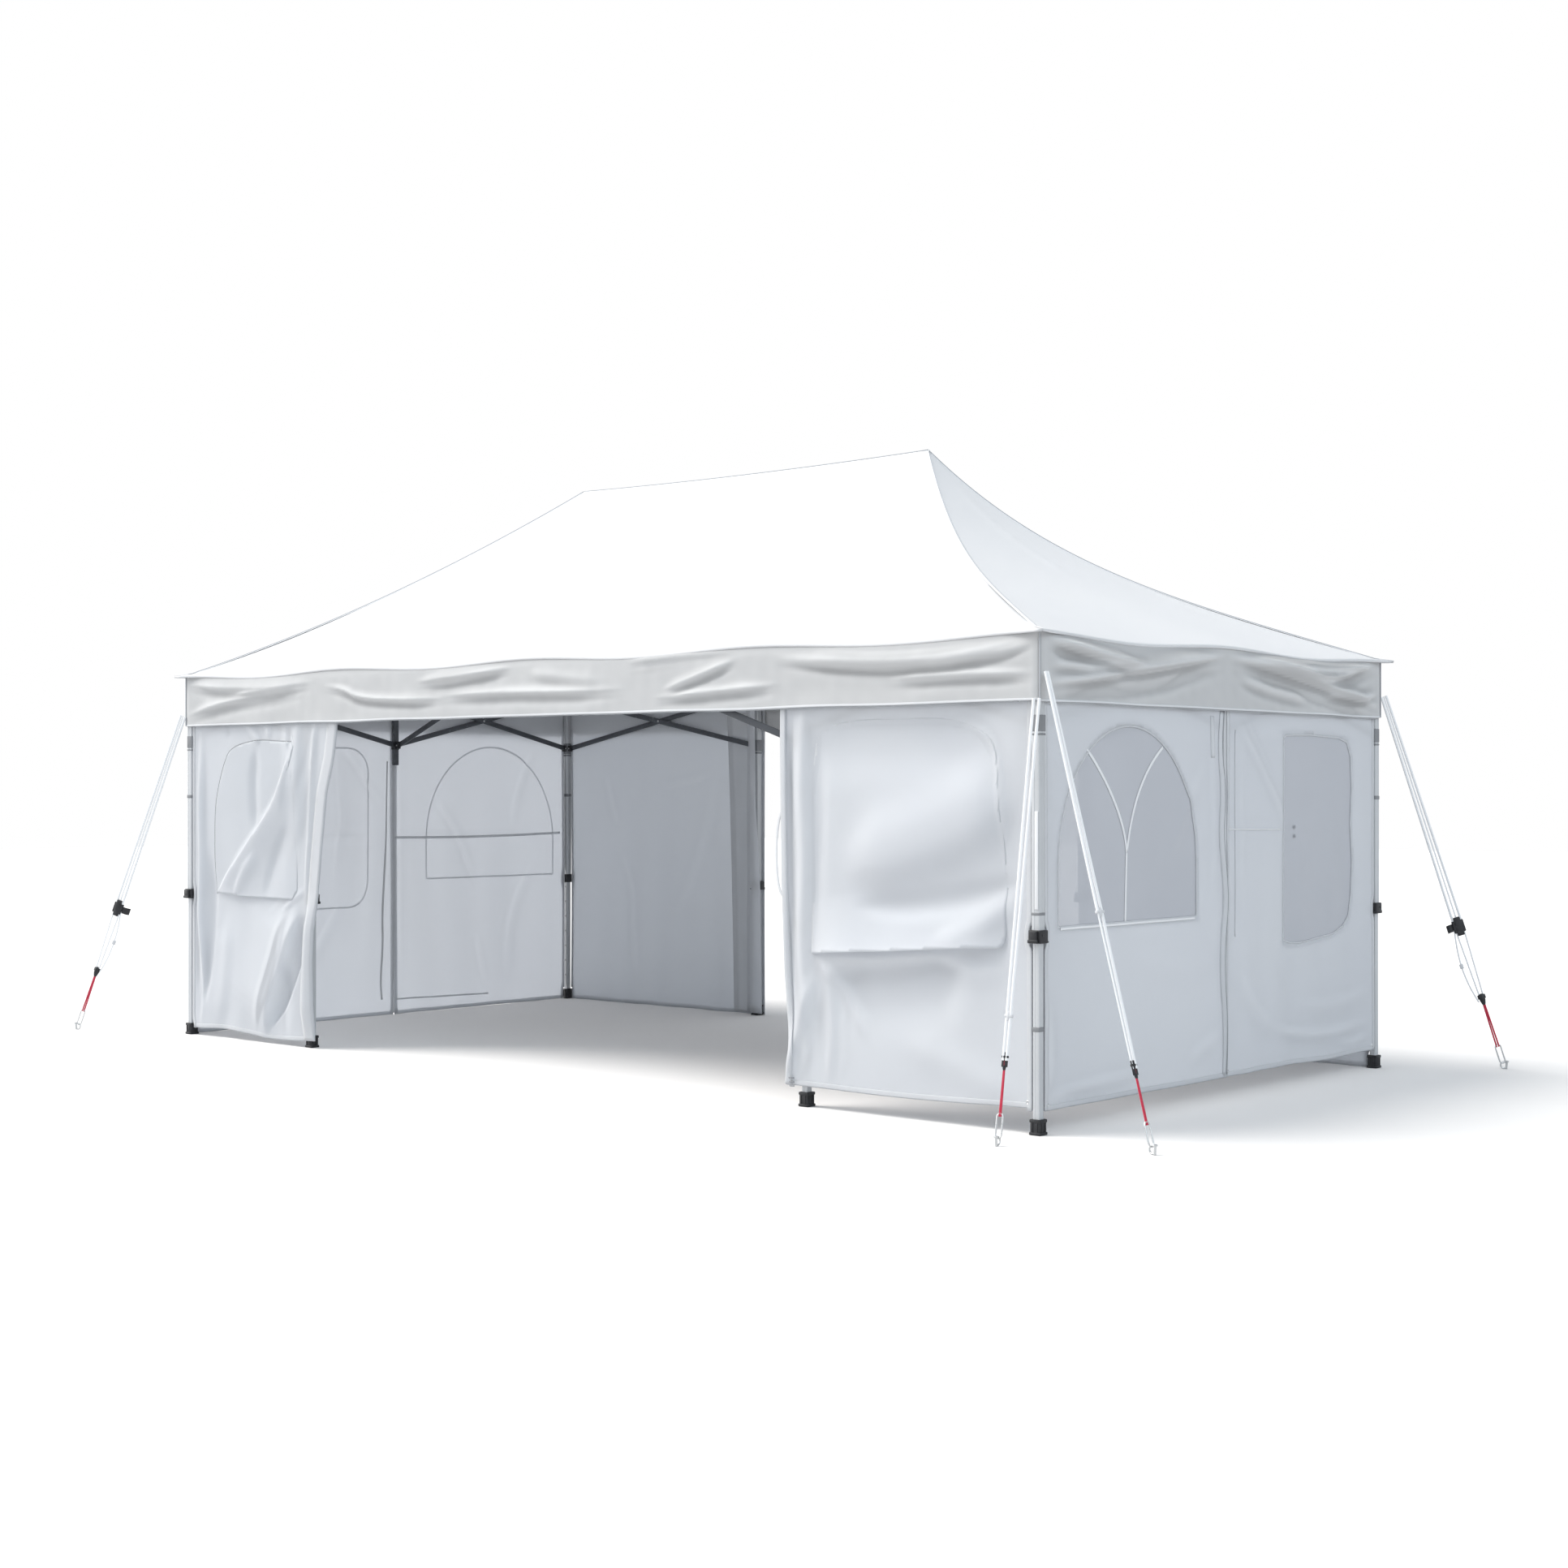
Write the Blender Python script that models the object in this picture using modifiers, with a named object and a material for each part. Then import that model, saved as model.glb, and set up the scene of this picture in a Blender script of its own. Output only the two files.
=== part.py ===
"""A 3 x 6 m pop-up marquee tent: telescoping legs, scissor trusses, hip roof
cover with valance, side walls with windows, and pegged guy lines.

Metres, +Z up, +X along the long side, the wide doorway faces -Y.
The origin is on the ground at the centre of the tent.
"""

import math

import bmesh
import bpy
from mathutils import Matrix, Vector

# Driving dimensions of the tent
HALF_X = 3.0                # outer face of the valance on the short sides
HALF_Y = 1.53               # outer face of the valance on the long sides
EAVE = 2.08                 # top of the valance
VALANCE_DROP = 0.29
PEAK = 3.16
PEAK_X = 1.26               # the two peaks stand at -PEAK_X and +PEAK_X
RIDGE_SAG = 0.015
GAP = 0.0003                # between touching pieces
CLOTH = 0.003

# Legs: a hollow upper tube with a locking collar, and a lower tube with a foot
LEG = 0.040
LEG_BORE = 0.035
LEG_INNER = 0.033
LEG_TOP = 2.07
COLLAR = 0.060
COLLAR_LOW = 0.79
COLLAR_HIGH = 0.845
LEVER = 0.016
BORE_TOP = 1.30
INNER_TOP = 1.20
FOOT = 0.056
FOOT_HIGH = 0.065
CORNER_INSET = 0.025        # leg centre behind the valance's outer face
DOOR_INSET = 0.052          # legs beside the doorways stand behind the walls
FRONT_DOOR_LEFT = -1.885
FRONT_DOOR_RIGHT = 1.70
BACK_DOOR = 1.22

# Scissor trusses
TRUSS_INSET = 0.034         # truss plane behind the valance's outer face
NODE_TOP = 2.04
NODE_LOW = 1.70
BAR_DEEP = 0.032
BAR_THICK = 0.008
BAR_OFFSET = 0.005
BLOCK_LONG = 0.030
BLOCK_THICK = 0.021
BLOCK_HIGH = 0.042
BOLT_RADIUS = 0.009
BOLT_LONG = 0.022
SIDE_POST = 0.040
SIDE_POST_LOW = 1.575
POST = 0.040
POST_LOW = 1.90
POST_TOP = 3.09
POST_NODE_LOW = 1.96
POST_NODE_TOP = 2.40
BRACE_LOW_Z = 1.64
BRACE_TOP_X = 0.47

# Cover and walls
EAVE_DIP = 0.025            # the eave hangs down between its supports
SEAM_DROP = 0.003           # valance top below the cover's edge
LONG_SUPPORTS = (-3.0, -1.60, -0.09, 1.41, 3.0)
SHORT_SUPPORTS = (-1.53, 0.0, 1.53)
BAND_LOW = 1.99             # hook-and-loop band inside the valance
BAND_HIGH = 2.045
WALL_OUT = 0.013            # wall's outer face behind the valance's outer face
WALL_TOP = 2.04
LEG_MARGIN = 0.034          # wall edge to leg centre
HEM_HIGH = 0.095
HEM_LOW = 0.040
PANE_LAP = 0.025
EAR = 0.045                 # how far the cover's corners stick out
EAR_REACH = 0.19

# Guy lines
ANCHOR_Z = 1.85
ROPE_RADIUS = 0.004
RING_RADIUS = 0.016
RING_WIRE = 0.004

COLOURS = {
    "cover_white": ((0.90, 0.90, 0.91), 0.62, 0.0),
    "wall_white": ((0.80, 0.81, 0.83), 0.66, 0.0),
    "window_film": ((0.60, 0.61, 0.65), 0.30, 0.0),
    "leg_aluminium": ((0.70, 0.71, 0.72), 0.38, 1.0),
    "truss_grey": ((0.13, 0.14, 0.16), 0.45, 0.6),
    "rope_white": ((0.86, 0.86, 0.85), 0.80, 0.0),
}

LEGS = {
    "front_left": (-HALF_X + CORNER_INSET, -HALF_Y + CORNER_INSET),
    "front_door_left": (FRONT_DOOR_LEFT, -HALF_Y + DOOR_INSET),
    "front_door_right": (FRONT_DOOR_RIGHT, -HALF_Y + DOOR_INSET),
    "front_right": (HALF_X - CORNER_INSET, -HALF_Y + CORNER_INSET),
    "back_right": (HALF_X - CORNER_INSET, HALF_Y - CORNER_INSET),
    "back_door_right": (BACK_DOOR, HALF_Y - DOOR_INSET),
    "back_door_left": (-BACK_DOOR, HALF_Y - DOOR_INSET),
    "back_left": (-HALF_X + CORNER_INSET, HALF_Y - CORNER_INSET),
}


# Scene and helpers

def clear_scene():
    for obj in list(bpy.data.objects):
        bpy.data.objects.remove(obj, do_unlink=True)


def make_collection(name):
    collection = bpy.data.collections.new(name)
    bpy.context.scene.collection.children.link(collection)
    return collection


clear_scene()
PARTS = make_collection("marquee_tent")
GUIDES = make_collection("guides")


def make_material(name):
    colour, roughness, metallic = COLOURS[name]
    material = bpy.data.materials.new(name)
    material.use_nodes = True
    shader = material.node_tree.nodes["Principled BSDF"]
    shader.inputs["Base Color"].default_value = (*colour, 1.0)
    shader.inputs["Roughness"].default_value = roughness
    shader.inputs["Metallic"].default_value = metallic
    material.diffuse_color = (*colour, 1.0)
    return material


MATERIALS = {name: make_material(name) for name in COLOURS}


def add_part(name, mesh, material):
    mesh.materials.clear()
    mesh.materials.append(MATERIALS[material])
    obj = bpy.data.objects.new(name, mesh)
    PARTS.objects.link(obj)
    return obj


def mesh_from(bm, name):
    mesh = bpy.data.meshes.new(name)
    bm.normal_update()
    bm.to_mesh(mesh)
    bm.free()
    return mesh


def box_mesh(low, high):
    """A box between two corners."""
    low, high = Vector(low), Vector(high)
    size = high - low
    place = Matrix.Translation((low + high) / 2) @ Matrix.Diagonal((*size, 1.0))
    bm = bmesh.new()
    bmesh.ops.create_cube(bm, size=1.0, matrix=place)
    return mesh_from(bm, "box")


def along(start, end):
    """Rotation whose X axis runs from start to end and whose Y axis is level."""
    x_axis = (Vector(end) - Vector(start)).normalized()
    y_axis = Vector((0, 0, 1)).cross(x_axis).normalized()
    z_axis = x_axis.cross(y_axis)
    return Matrix((x_axis, y_axis, z_axis)).transposed().to_4x4()


def bar_mesh(start, end, thick, deep):
    """A straight bar of rectangular section between two points."""
    start, end = Vector(start), Vector(end)
    size = Matrix.Diagonal(((end - start).length, thick, deep, 1.0))
    place = Matrix.Translation((start + end) / 2) @ along(start, end) @ size
    bm = bmesh.new()
    bmesh.ops.create_cube(bm, size=1.0, matrix=place)
    return mesh_from(bm, "bar")


def rod_mesh(start, end, radius, sides=6):
    """A round rod between two points."""
    start, end = Vector(start), Vector(end)
    turn = (end - start).to_track_quat("Z", "Y").to_matrix().to_4x4()
    place = Matrix.Translation((start + end) / 2) @ turn
    bm = bmesh.new()
    bmesh.ops.create_cone(bm, cap_ends=True, segments=sides, radius1=radius, radius2=radius,
                          depth=(end - start).length, matrix=place)
    return mesh_from(bm, "rod")


def fuse(name, meshes, material):
    """One closed body from several meshes that overlap each other."""
    obj = add_part(name, meshes[0], material)
    joined = bpy.data.collections.new(name + "_joined")
    GUIDES.children.link(joined)
    for index, mesh in enumerate(meshes[1:]):
        guide = bpy.data.objects.new(f"{name}_guide_{index}", mesh)
        guide.hide_render = True
        guide.display_type = "WIRE"
        joined.objects.link(guide)
    union = obj.modifiers.new("union", "BOOLEAN")
    union.operation = "UNION"
    union.operand_type = "COLLECTION"
    union.collection = joined
    return obj


# Legs

def face_towards(bm, direction):
    direction = Vector(direction)
    return max(bm.faces, key=lambda face: face.calc_center_median().dot(direction))


def inset_and_push(bm, face, margin, shift):
    """Inset a face, then extrude the inner face by shift."""
    bmesh.ops.inset_region(bm, faces=[face], thickness=margin, use_even_offset=True)
    out = bmesh.ops.extrude_discrete_faces(bm, faces=[face])
    pushed = out["faces"][0]
    bmesh.ops.translate(bm, verts=pushed.verts[:], vec=shift)
    return pushed


def upper_leg(name, x, y):
    """Collar block with the tube above it, its bore from below and a lock lever."""
    outward = -1.0 if y < 0 else 1.0
    low = Vector((-COLLAR / 2, -COLLAR / 2, COLLAR_LOW))
    high = Vector((COLLAR / 2, COLLAR / 2, COLLAR_HIGH))
    bm = bmesh.new()
    place = Matrix.Translation((low + high) / 2) @ Matrix.Diagonal((*(high - low), 1.0))
    bmesh.ops.create_cube(bm, size=1.0, matrix=place)
    bm.normal_update()
    side = min(bm.faces, key=lambda face: (face.normal - Vector((-math.copysign(1, x), 0, 0))).length)
    top = min(bm.faces, key=lambda face: (face.normal - Vector((0, 0, 1))).length)
    bottom = min(bm.faces, key=lambda face: (face.normal - Vector((0, 0, -1))).length)
    front = min(bm.faces, key=lambda face: (face.normal - Vector((0, outward, 0))).length)
    inset_and_push(bm, top, (COLLAR - LEG) / 2, (0, 0, LEG_TOP - COLLAR_HIGH))
    inset_and_push(bm, bottom, (COLLAR - LEG_BORE) / 2, (0, 0, BORE_TOP - COLLAR_LOW))
    if abs(y) > HALF_Y - DOOR_INSET + GAP:
        inset_and_push(bm, front, COLLAR / 4, (0, outward * LEVER, 0))
    else:
        inset_and_push(bm, side, COLLAR / 4, (-math.copysign(LEVER, x), 0, 0))
    obj = add_part(name, mesh_from(bm, name), "leg_aluminium")
    obj.location = (x, y, 0)
    return obj


def lower_leg(name, x, y):
    """Foot block with the inner tube standing on it."""
    bm = bmesh.new()
    place = Matrix.Translation((0, 0, FOOT_HIGH / 2)) @ Matrix.Diagonal((FOOT, FOOT, FOOT_HIGH, 1.0))
    bmesh.ops.create_cube(bm, size=1.0, matrix=place)
    top = face_towards(bm, (0, 0, 1))
    inset_and_push(bm, top, (FOOT - LEG_INNER) / 2, (0, 0, INNER_TOP - FOOT_HIGH))
    obj = add_part(name, mesh_from(bm, name), "leg_aluminium")
    obj.location = (x, y, 0)
    return obj


def make_legs():
    for name, (x, y) in LEGS.items():
        upper_leg("leg_upper_" + name, x, y)
        lower_leg("leg_lower_" + name, x, y)


# Trusses

class Line:
    """A level line between two plan points; at() gives points along it."""

    def __init__(self, start, end):
        self.start = Vector((*start, 0))
        self.end = Vector((*end, 0))
        self.length = (self.end - self.start).length
        self.forward = (self.end - self.start).normalized()
        self.side = Vector((0, 0, 1)).cross(self.forward)

    def at(self, distance, height, offset=0.0):
        return self.start + self.forward * distance + self.side * offset + Vector((0, 0, height))

    def block(self, distance, low, high, long, thick):
        """An upright block centred on the line."""
        middle = self.at(distance, (low + high) / 2)
        bm = bmesh.new()
        size = Matrix.Diagonal((long, thick, high - low, 1.0))
        place = Matrix.Translation(middle) @ along(self.start, self.end) @ size
        bmesh.ops.create_cube(bm, size=1.0, matrix=place)
        return mesh_from(bm, "block")


def scissor_unit(line, start, end, start_nodes, end_nodes):
    """Two crossing bars and their bolt; the nodes are (low, top) heights."""
    rising = [line.at(start, start_nodes[0], BAR_OFFSET), line.at(end, end_nodes[1], BAR_OFFSET)]
    falling = [line.at(start, start_nodes[1], -BAR_OFFSET), line.at(end, end_nodes[0], -BAR_OFFSET)]
    meshes = [bar_mesh(*rising, BAR_THICK, BAR_DEEP), bar_mesh(*falling, BAR_THICK, BAR_DEEP)]
    start_gap = start_nodes[1] - start_nodes[0]
    end_gap = end_nodes[1] - end_nodes[0]
    share = start_gap / (start_gap + end_gap)
    distance = start + share * (end - start)
    height = start_nodes[0] + share * (end_nodes[1] - start_nodes[0])
    bolt_ends = [line.at(distance, height, side * BOLT_LONG / 2) for side in (-1, 1)]
    meshes.append(rod_mesh(*bolt_ends, BOLT_RADIUS, 8))
    return meshes


def end_blocks(line, nodes, distance, long=BLOCK_LONG):
    """Bracket blocks that hold the bar ends at one end of a truss."""
    return [line.block(distance, z - BLOCK_HIGH / 2, z + BLOCK_HIGH / 2, long, BLOCK_THICK)
            for z in nodes]


def bay_truss(name, start, end):
    """One scissor unit between two legs."""
    line = Line(start, end)
    first = GAP + BLOCK_LONG / 2
    last = line.length - first
    nodes = (NODE_LOW, NODE_TOP)
    meshes = scissor_unit(line, first, last, nodes, nodes)
    meshes += end_blocks(line, nodes, first)
    meshes += end_blocks(line, nodes, last)
    return fuse(name, meshes, "truss_grey")


def side_truss(name, start, end):
    """Two scissor units that meet at a short post in the middle."""
    line = Line(start, end)
    first = GAP + BLOCK_LONG / 2
    last = line.length - first
    middle = line.length / 2
    nodes = (NODE_LOW, NODE_TOP)
    post_top = NODE_TOP + BLOCK_HIGH / 2
    meshes = [line.block(middle, SIDE_POST_LOW, post_top, SIDE_POST, BLOCK_THICK)]
    meshes += scissor_unit(line, first, middle, nodes, nodes)
    meshes += scissor_unit(line, middle, last, nodes, nodes)
    meshes += end_blocks(line, nodes, first)
    meshes += end_blocks(line, nodes, last)
    return fuse(name, meshes, "truss_grey")


def make_trusses():
    truss_y = HALF_Y - TRUSS_INSET
    truss_x = HALF_X - TRUSS_INSET
    corner_x = HALF_X - CORNER_INSET - LEG / 2
    corner_y = HALF_Y - CORNER_INSET - LEG / 2
    half = LEG / 2
    side_truss("truss_left", (-truss_x, -corner_y), (-truss_x, corner_y))
    side_truss("truss_right", (truss_x, -corner_y), (truss_x, corner_y))
    bay_truss("truss_front_left", (-corner_x, -truss_y), (FRONT_DOOR_LEFT - half, -truss_y))
    bay_truss("truss_front_right", (FRONT_DOOR_RIGHT + half, -truss_y), (corner_x, -truss_y))
    bay_truss("truss_back_left", (-corner_x, truss_y), (-BACK_DOOR - half, truss_y))
    bay_truss("truss_back_right", (BACK_DOOR + half, truss_y), (corner_x, truss_y))


def eave_beam(name, y, left, right, brace=None):
    """A level beam between the two legs of a doorway, with one brace if asked."""
    line = Line((left, y), (right, y))
    low = NODE_TOP - BAR_DEEP / 2
    high = NODE_TOP + BAR_DEEP / 2
    middle = line.length / 2
    meshes = [line.block(middle, low, high, line.length - 2 * GAP, BLOCK_THICK)]
    if brace:
        low_end = line.at(line.length - GAP - BLOCK_LONG / 2, brace[1])
        meshes.append(bar_mesh((brace[0], y, NODE_TOP), low_end, BAR_THICK, BAR_DEEP))
        meshes += end_blocks(line, (brace[1],), line.length - GAP - BLOCK_LONG / 2)
    return fuse(name, meshes, "truss_grey")


def make_beams():
    truss_y = HALF_Y - TRUSS_INSET
    half = LEG / 2
    eave_beam("eave_beam_front", -truss_y, FRONT_DOOR_LEFT + half, FRONT_DOOR_RIGHT - half,
              brace=(BRACE_TOP_X, BRACE_LOW_Z))
    eave_beam("eave_beam_back", truss_y, -BACK_DOOR + half, BACK_DOOR - half)


def peak_frame(name, x):
    """A peak post with a rafter and a tie to the front and to the back eave."""
    half = POST / 2
    post = box_mesh((x - half, -half, POST_LOW), (x + half, half, POST_TOP))
    tip = bmesh.new()
    bmesh.ops.create_cone(tip, cap_ends=True, segments=4, radius1=half, radius2=half / 3, depth=0.04,
                          matrix=Matrix.Translation((x, 0, POST_TOP + 0.01)))
    meshes = [post, mesh_from(tip, "tip")]
    back_x = math.copysign(BACK_DOOR, x)
    front_reach = HALF_Y - TRUSS_INSET - BLOCK_THICK / 2 - GAP
    back_reach = HALF_Y - DOOR_INSET - LEG / 2 - GAP
    for end_x, reach, sign in ((x, front_reach, -1), (back_x, back_reach, 1)):
        line = Line((x, 0), (end_x, sign * reach))
        seat = line.length - BLOCK_LONG / 2
        meshes.append(bar_mesh(line.at(0, POST_NODE_TOP), line.at(seat, NODE_TOP), BAR_THICK, BAR_DEEP))
        meshes.append(bar_mesh(line.at(0, POST_NODE_LOW), line.at(seat, NODE_TOP), BAR_THICK, BAR_DEEP))
        meshes += end_blocks(line, (NODE_TOP,), seat)
    return fuse(name, meshes, "truss_grey")


def roof_truss(name, start, end, start_nodes, end_nodes):
    """A scissor unit between a peak post and a side truss or the other post."""
    line = Line(start, end)
    first = GAP + BLOCK_LONG / 2
    last = line.length - first
    meshes = scissor_unit(line, first, last, start_nodes, end_nodes)
    meshes += end_blocks(line, start_nodes, first)
    meshes += end_blocks(line, end_nodes, last)
    return fuse(name, meshes, "truss_grey")


def make_roof_frame():
    eave_x = HALF_X - TRUSS_INSET - BLOCK_THICK / 2
    post_out = PEAK_X + POST / 2
    post_in = PEAK_X - POST / 2
    eave_nodes = (NODE_LOW, NODE_TOP)
    post_nodes = (POST_NODE_LOW, POST_NODE_TOP)
    peak_frame("peak_frame_left", -PEAK_X)
    peak_frame("peak_frame_right", PEAK_X)
    roof_truss("roof_truss_left", (-eave_x, 0), (-post_out, 0), eave_nodes, post_nodes)
    roof_truss("roof_truss_right", (post_out, 0), (eave_x, 0), post_nodes, eave_nodes)
    roof_truss("roof_truss_middle", (-post_in, 0), (post_in, 0), post_nodes, post_nodes)


# Roof cover and valance

def slope_height(rise, x):
    """Height of the cover at a rise from 0 at the eave to 1 at the ridge.

    The cloth hangs in a hollow curve: the right end climbs steeply at its peak
    and the left end more evenly, as tension differs from end to end.
    """
    share = min(max((x + PEAK_X) / (2 * PEAK_X), 0.0), 1.0)
    straight = 0.72 + share * (0.62 - 0.72)
    power = 2.0 + share * (4.0 - 2.0)
    hollow = straight * rise + (1 - straight) * rise ** power
    along_ridge = min(abs(x) / PEAK_X, 1.0)
    sag = RIDGE_SAG * rise * (1 - along_ridge ** 2)
    return EAVE + (PEAK - CLOTH - EAVE) * hollow - sag


def eave_dip(distance, supports):
    """How far the eave hangs down between the points that hold it up."""
    for left, right in zip(supports, supports[1:]):
        if left <= distance <= right:
            return EAVE_DIP * math.sin(math.pi * (distance - left) / (right - left)) ** 2
    return 0.0


def roof_slope(name, corners, tops, supports, columns, rows):
    """One slope of the cover, mapped from a flat grid."""
    bm = bmesh.new()
    grid = bmesh.ops.create_grid(bm, x_segments=columns, y_segments=rows, size=0.5)
    first, last = Vector((*corners[0], 0)), Vector((*corners[1], 0))
    top_first, top_last = Vector((*tops[0], 0)), Vector((*tops[1], 0))
    width = (last - first).length
    along_x = abs(last.x - first.x) > abs(last.y - first.y)
    for vert in grid["verts"]:
        share = vert.co.x + 0.5
        rise = vert.co.y + 0.5
        point = first.lerp(last, share).lerp(top_first.lerp(top_last, share), rise)
        dip = eave_dip(point.x if along_x else point.y, supports) * (1 - rise) ** 4
        height = slope_height(rise, point.x) - dip
        from_corner = min(share, 1 - share) * width
        if rise < 1e-6:
            ear = EAR * max(0.0, 1 - from_corner / EAR_REACH) ** 2
            point.x += math.copysign(ear, point.x)
            point.y += math.copysign(ear, point.y)
        vert.co = Vector((point.x, point.y, height))
    bmesh.ops.remove_doubles(bm, verts=bm.verts[:], dist=GAP)
    bmesh.ops.recalc_face_normals(bm, faces=bm.faces[:])
    if sum(face.normal.z for face in bm.faces) < 0:
        bmesh.ops.reverse_faces(bm, faces=bm.faces[:])
    slope = add_part(name, mesh_from(bm, name), "cover_white")
    shell = slope.modifiers.new("thickness", "SOLIDIFY")
    shell.thickness = CLOTH
    shell.offset = 1.0
    return slope


def make_roof():
    """Four slopes, sewn together along the ridge and the hips."""
    right, back = HALF_X + 0.004, HALF_Y + 0.004
    long_right, short_back = right - 2 * GAP, back - 2 * GAP
    ridge = PEAK_X - 2 * GAP
    roof_slope("roof_front", [(-long_right, -back), (long_right, -back)],
               [(-ridge, -GAP), (ridge, -GAP)], LONG_SUPPORTS, 30, 8)
    roof_slope("roof_back", [(long_right, back), (-long_right, back)],
               [(ridge, GAP), (-ridge, GAP)], LONG_SUPPORTS, 30, 8)
    peak = PEAK_X + 2 * GAP
    roof_slope("roof_right", [(right, -short_back), (right, short_back)],
               [(peak, 0), (peak, 0)], SHORT_SUPPORTS, 16, 8)
    roof_slope("roof_left", [(-right, short_back), (-right, -short_back)],
               [(-peak, 0), (-peak, 0)], SHORT_SUPPORTS, 16, 8)


def upright_matrix(axis, middle):
    """Stands a flat drawing up: its X runs along the wall and its Y upwards."""
    if axis == "y":
        return Matrix(((1, 0, 0, 0), (0, 0, -1, middle), (0, 1, 0, 0), (0, 0, 0, 1)))
    return Matrix(((0, 0, 1, middle), (1, 0, 0, 0), (0, 1, 0, 0), (0, 0, 0, 1)))


def outline_mesh(points, thickness):
    """A flat closed solid from an outline, lying in the XY plane."""
    bm = bmesh.new()
    verts = [bm.verts.new((x, y, -thickness / 2)) for x, y in points]
    face = bm.faces.new(verts)
    pushed = bmesh.ops.extrude_face_region(bm, geom=[face])
    moved = [item for item in pushed["geom"] if isinstance(item, bmesh.types.BMVert)]
    bmesh.ops.translate(bm, verts=moved, vec=(0, 0, thickness))
    bmesh.ops.recalc_face_normals(bm, faces=bm.faces[:])
    return mesh_from(bm, "outline")


def valance(name, side, axis):
    """A hanging panel with the hook-and-loop band behind its top."""
    half = HALF_Y if axis == "y" else HALF_X
    reach = HALF_X if axis == "y" else HALF_Y - CLOTH - GAP
    supports = LONG_SUPPORTS if axis == "y" else SHORT_SUPPORTS
    steps = 30 if axis == "y" else 16
    points = [(-reach, EAVE - VALANCE_DROP), (reach, EAVE - VALANCE_DROP)]
    for step in range(steps + 1):
        distance = reach - 2 * reach * step / steps
        points.append((distance, EAVE - SEAM_DROP - eave_dip(distance, supports)))
    panel = outline_mesh(points, CLOTH)
    panel.transform(upright_matrix(axis, side * (half - CLOTH / 2)))
    reach = (HALF_X if axis == "y" else HALF_Y) - CORNER_INSET - LEG
    near, far = sorted((side * (half - WALL_OUT + GAP), side * (half - CLOTH / 2)))
    if axis == "y":
        strip = box_mesh((-reach, near, BAND_LOW), (reach, far, BAND_HIGH))
    else:
        strip = box_mesh((near, -reach, BAND_LOW), (far, reach, BAND_HIGH))
    return fuse(name, [panel, strip], "cover_white")


def make_valances():
    valance("valance_front", -1, "y")
    valance("valance_back", 1, "y")
    valance("valance_left", -1, "x")
    valance("valance_right", 1, "x")


# Walls and windows

def rounded_outline(left, right, low, high, radius, steps=4):
    """A rectangle with round corners, as points in order."""
    points = []
    centres = [(right - radius, low + radius, -90), (right - radius, high - radius, 0),
               (left + radius, high - radius, 90), (left + radius, low + radius, 180)]
    for cx, cy, start in centres:
        for step in range(steps + 1):
            angle = math.radians(start + 90 * step / steps)
            points.append((cx + radius * math.cos(angle), cy + radius * math.sin(angle)))
    return points


def arch_outline(left, right, low, spring, high, steps=12):
    """Straight sides up to the spring line, then a half ellipse."""
    middle, half = (left + right) / 2, (right - left) / 2
    points = [(left, low), (right, low)]
    for step in range(steps + 1):
        angle = math.pi * step / steps
        points.append((middle + half * math.cos(angle), spring + (high - spring) * math.sin(angle)))
    return points


def grow(points, distance):
    """The same outline pushed outwards, about its centre."""
    cx = (min(p[0] for p in points) + max(p[0] for p in points)) / 2
    cy = (min(p[1] for p in points) + max(p[1] for p in points)) / 2
    half_x = max(p[0] for p in points) - cx
    half_y = max(p[1] for p in points) - cy
    return [(cx + (x - cx) * (1 + distance / half_x), cy + (y - cy) * (1 + distance / half_y))
            for x, y in points]


def sheet_curve(name, outlines, axis, side, outer, material):
    """A flat sheet: outlines in (along, z), its outer face at a distance from the centre."""
    curve = bpy.data.curves.new(name, "CURVE")
    curve.dimensions = "2D"
    curve.fill_mode = "BOTH"
    curve.extrude = CLOTH / 2
    for outline in outlines:
        spline = curve.splines.new("POLY")
        spline.points.add(len(outline) - 1)
        spline.use_cyclic_u = True
        for point, (x, y) in zip(spline.points, outline):
            point.co = (x, y, 0, 1)
    curve.materials.append(MATERIALS[material])
    obj = bpy.data.objects.new(name, curve)
    obj.matrix_world = upright_matrix(axis, side * (outer - CLOTH / 2))
    PARTS.objects.link(obj)
    return obj


def wall(name, edge, axis, side, window=None, cover="window_film"):
    """A wall sheet hung behind the valance, with its window cut out and filled."""
    outer = (HALF_Y if axis == "y" else HALF_X) - WALL_OUT
    outlines = [edge]
    if window:
        outlines.append(window)
        pane_name = name.replace("wall", "window")
        sheet_curve(pane_name, [grow(window, PANE_LAP)], axis, side, outer - CLOTH - 2 * GAP, cover)
    return sheet_curve(name, outlines, axis, side, outer, "wall_white")


def plain_edge(left, right, hem):
    return [(left, hem), (right, hem), (right, WALL_TOP), (left, WALL_TOP)]


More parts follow.
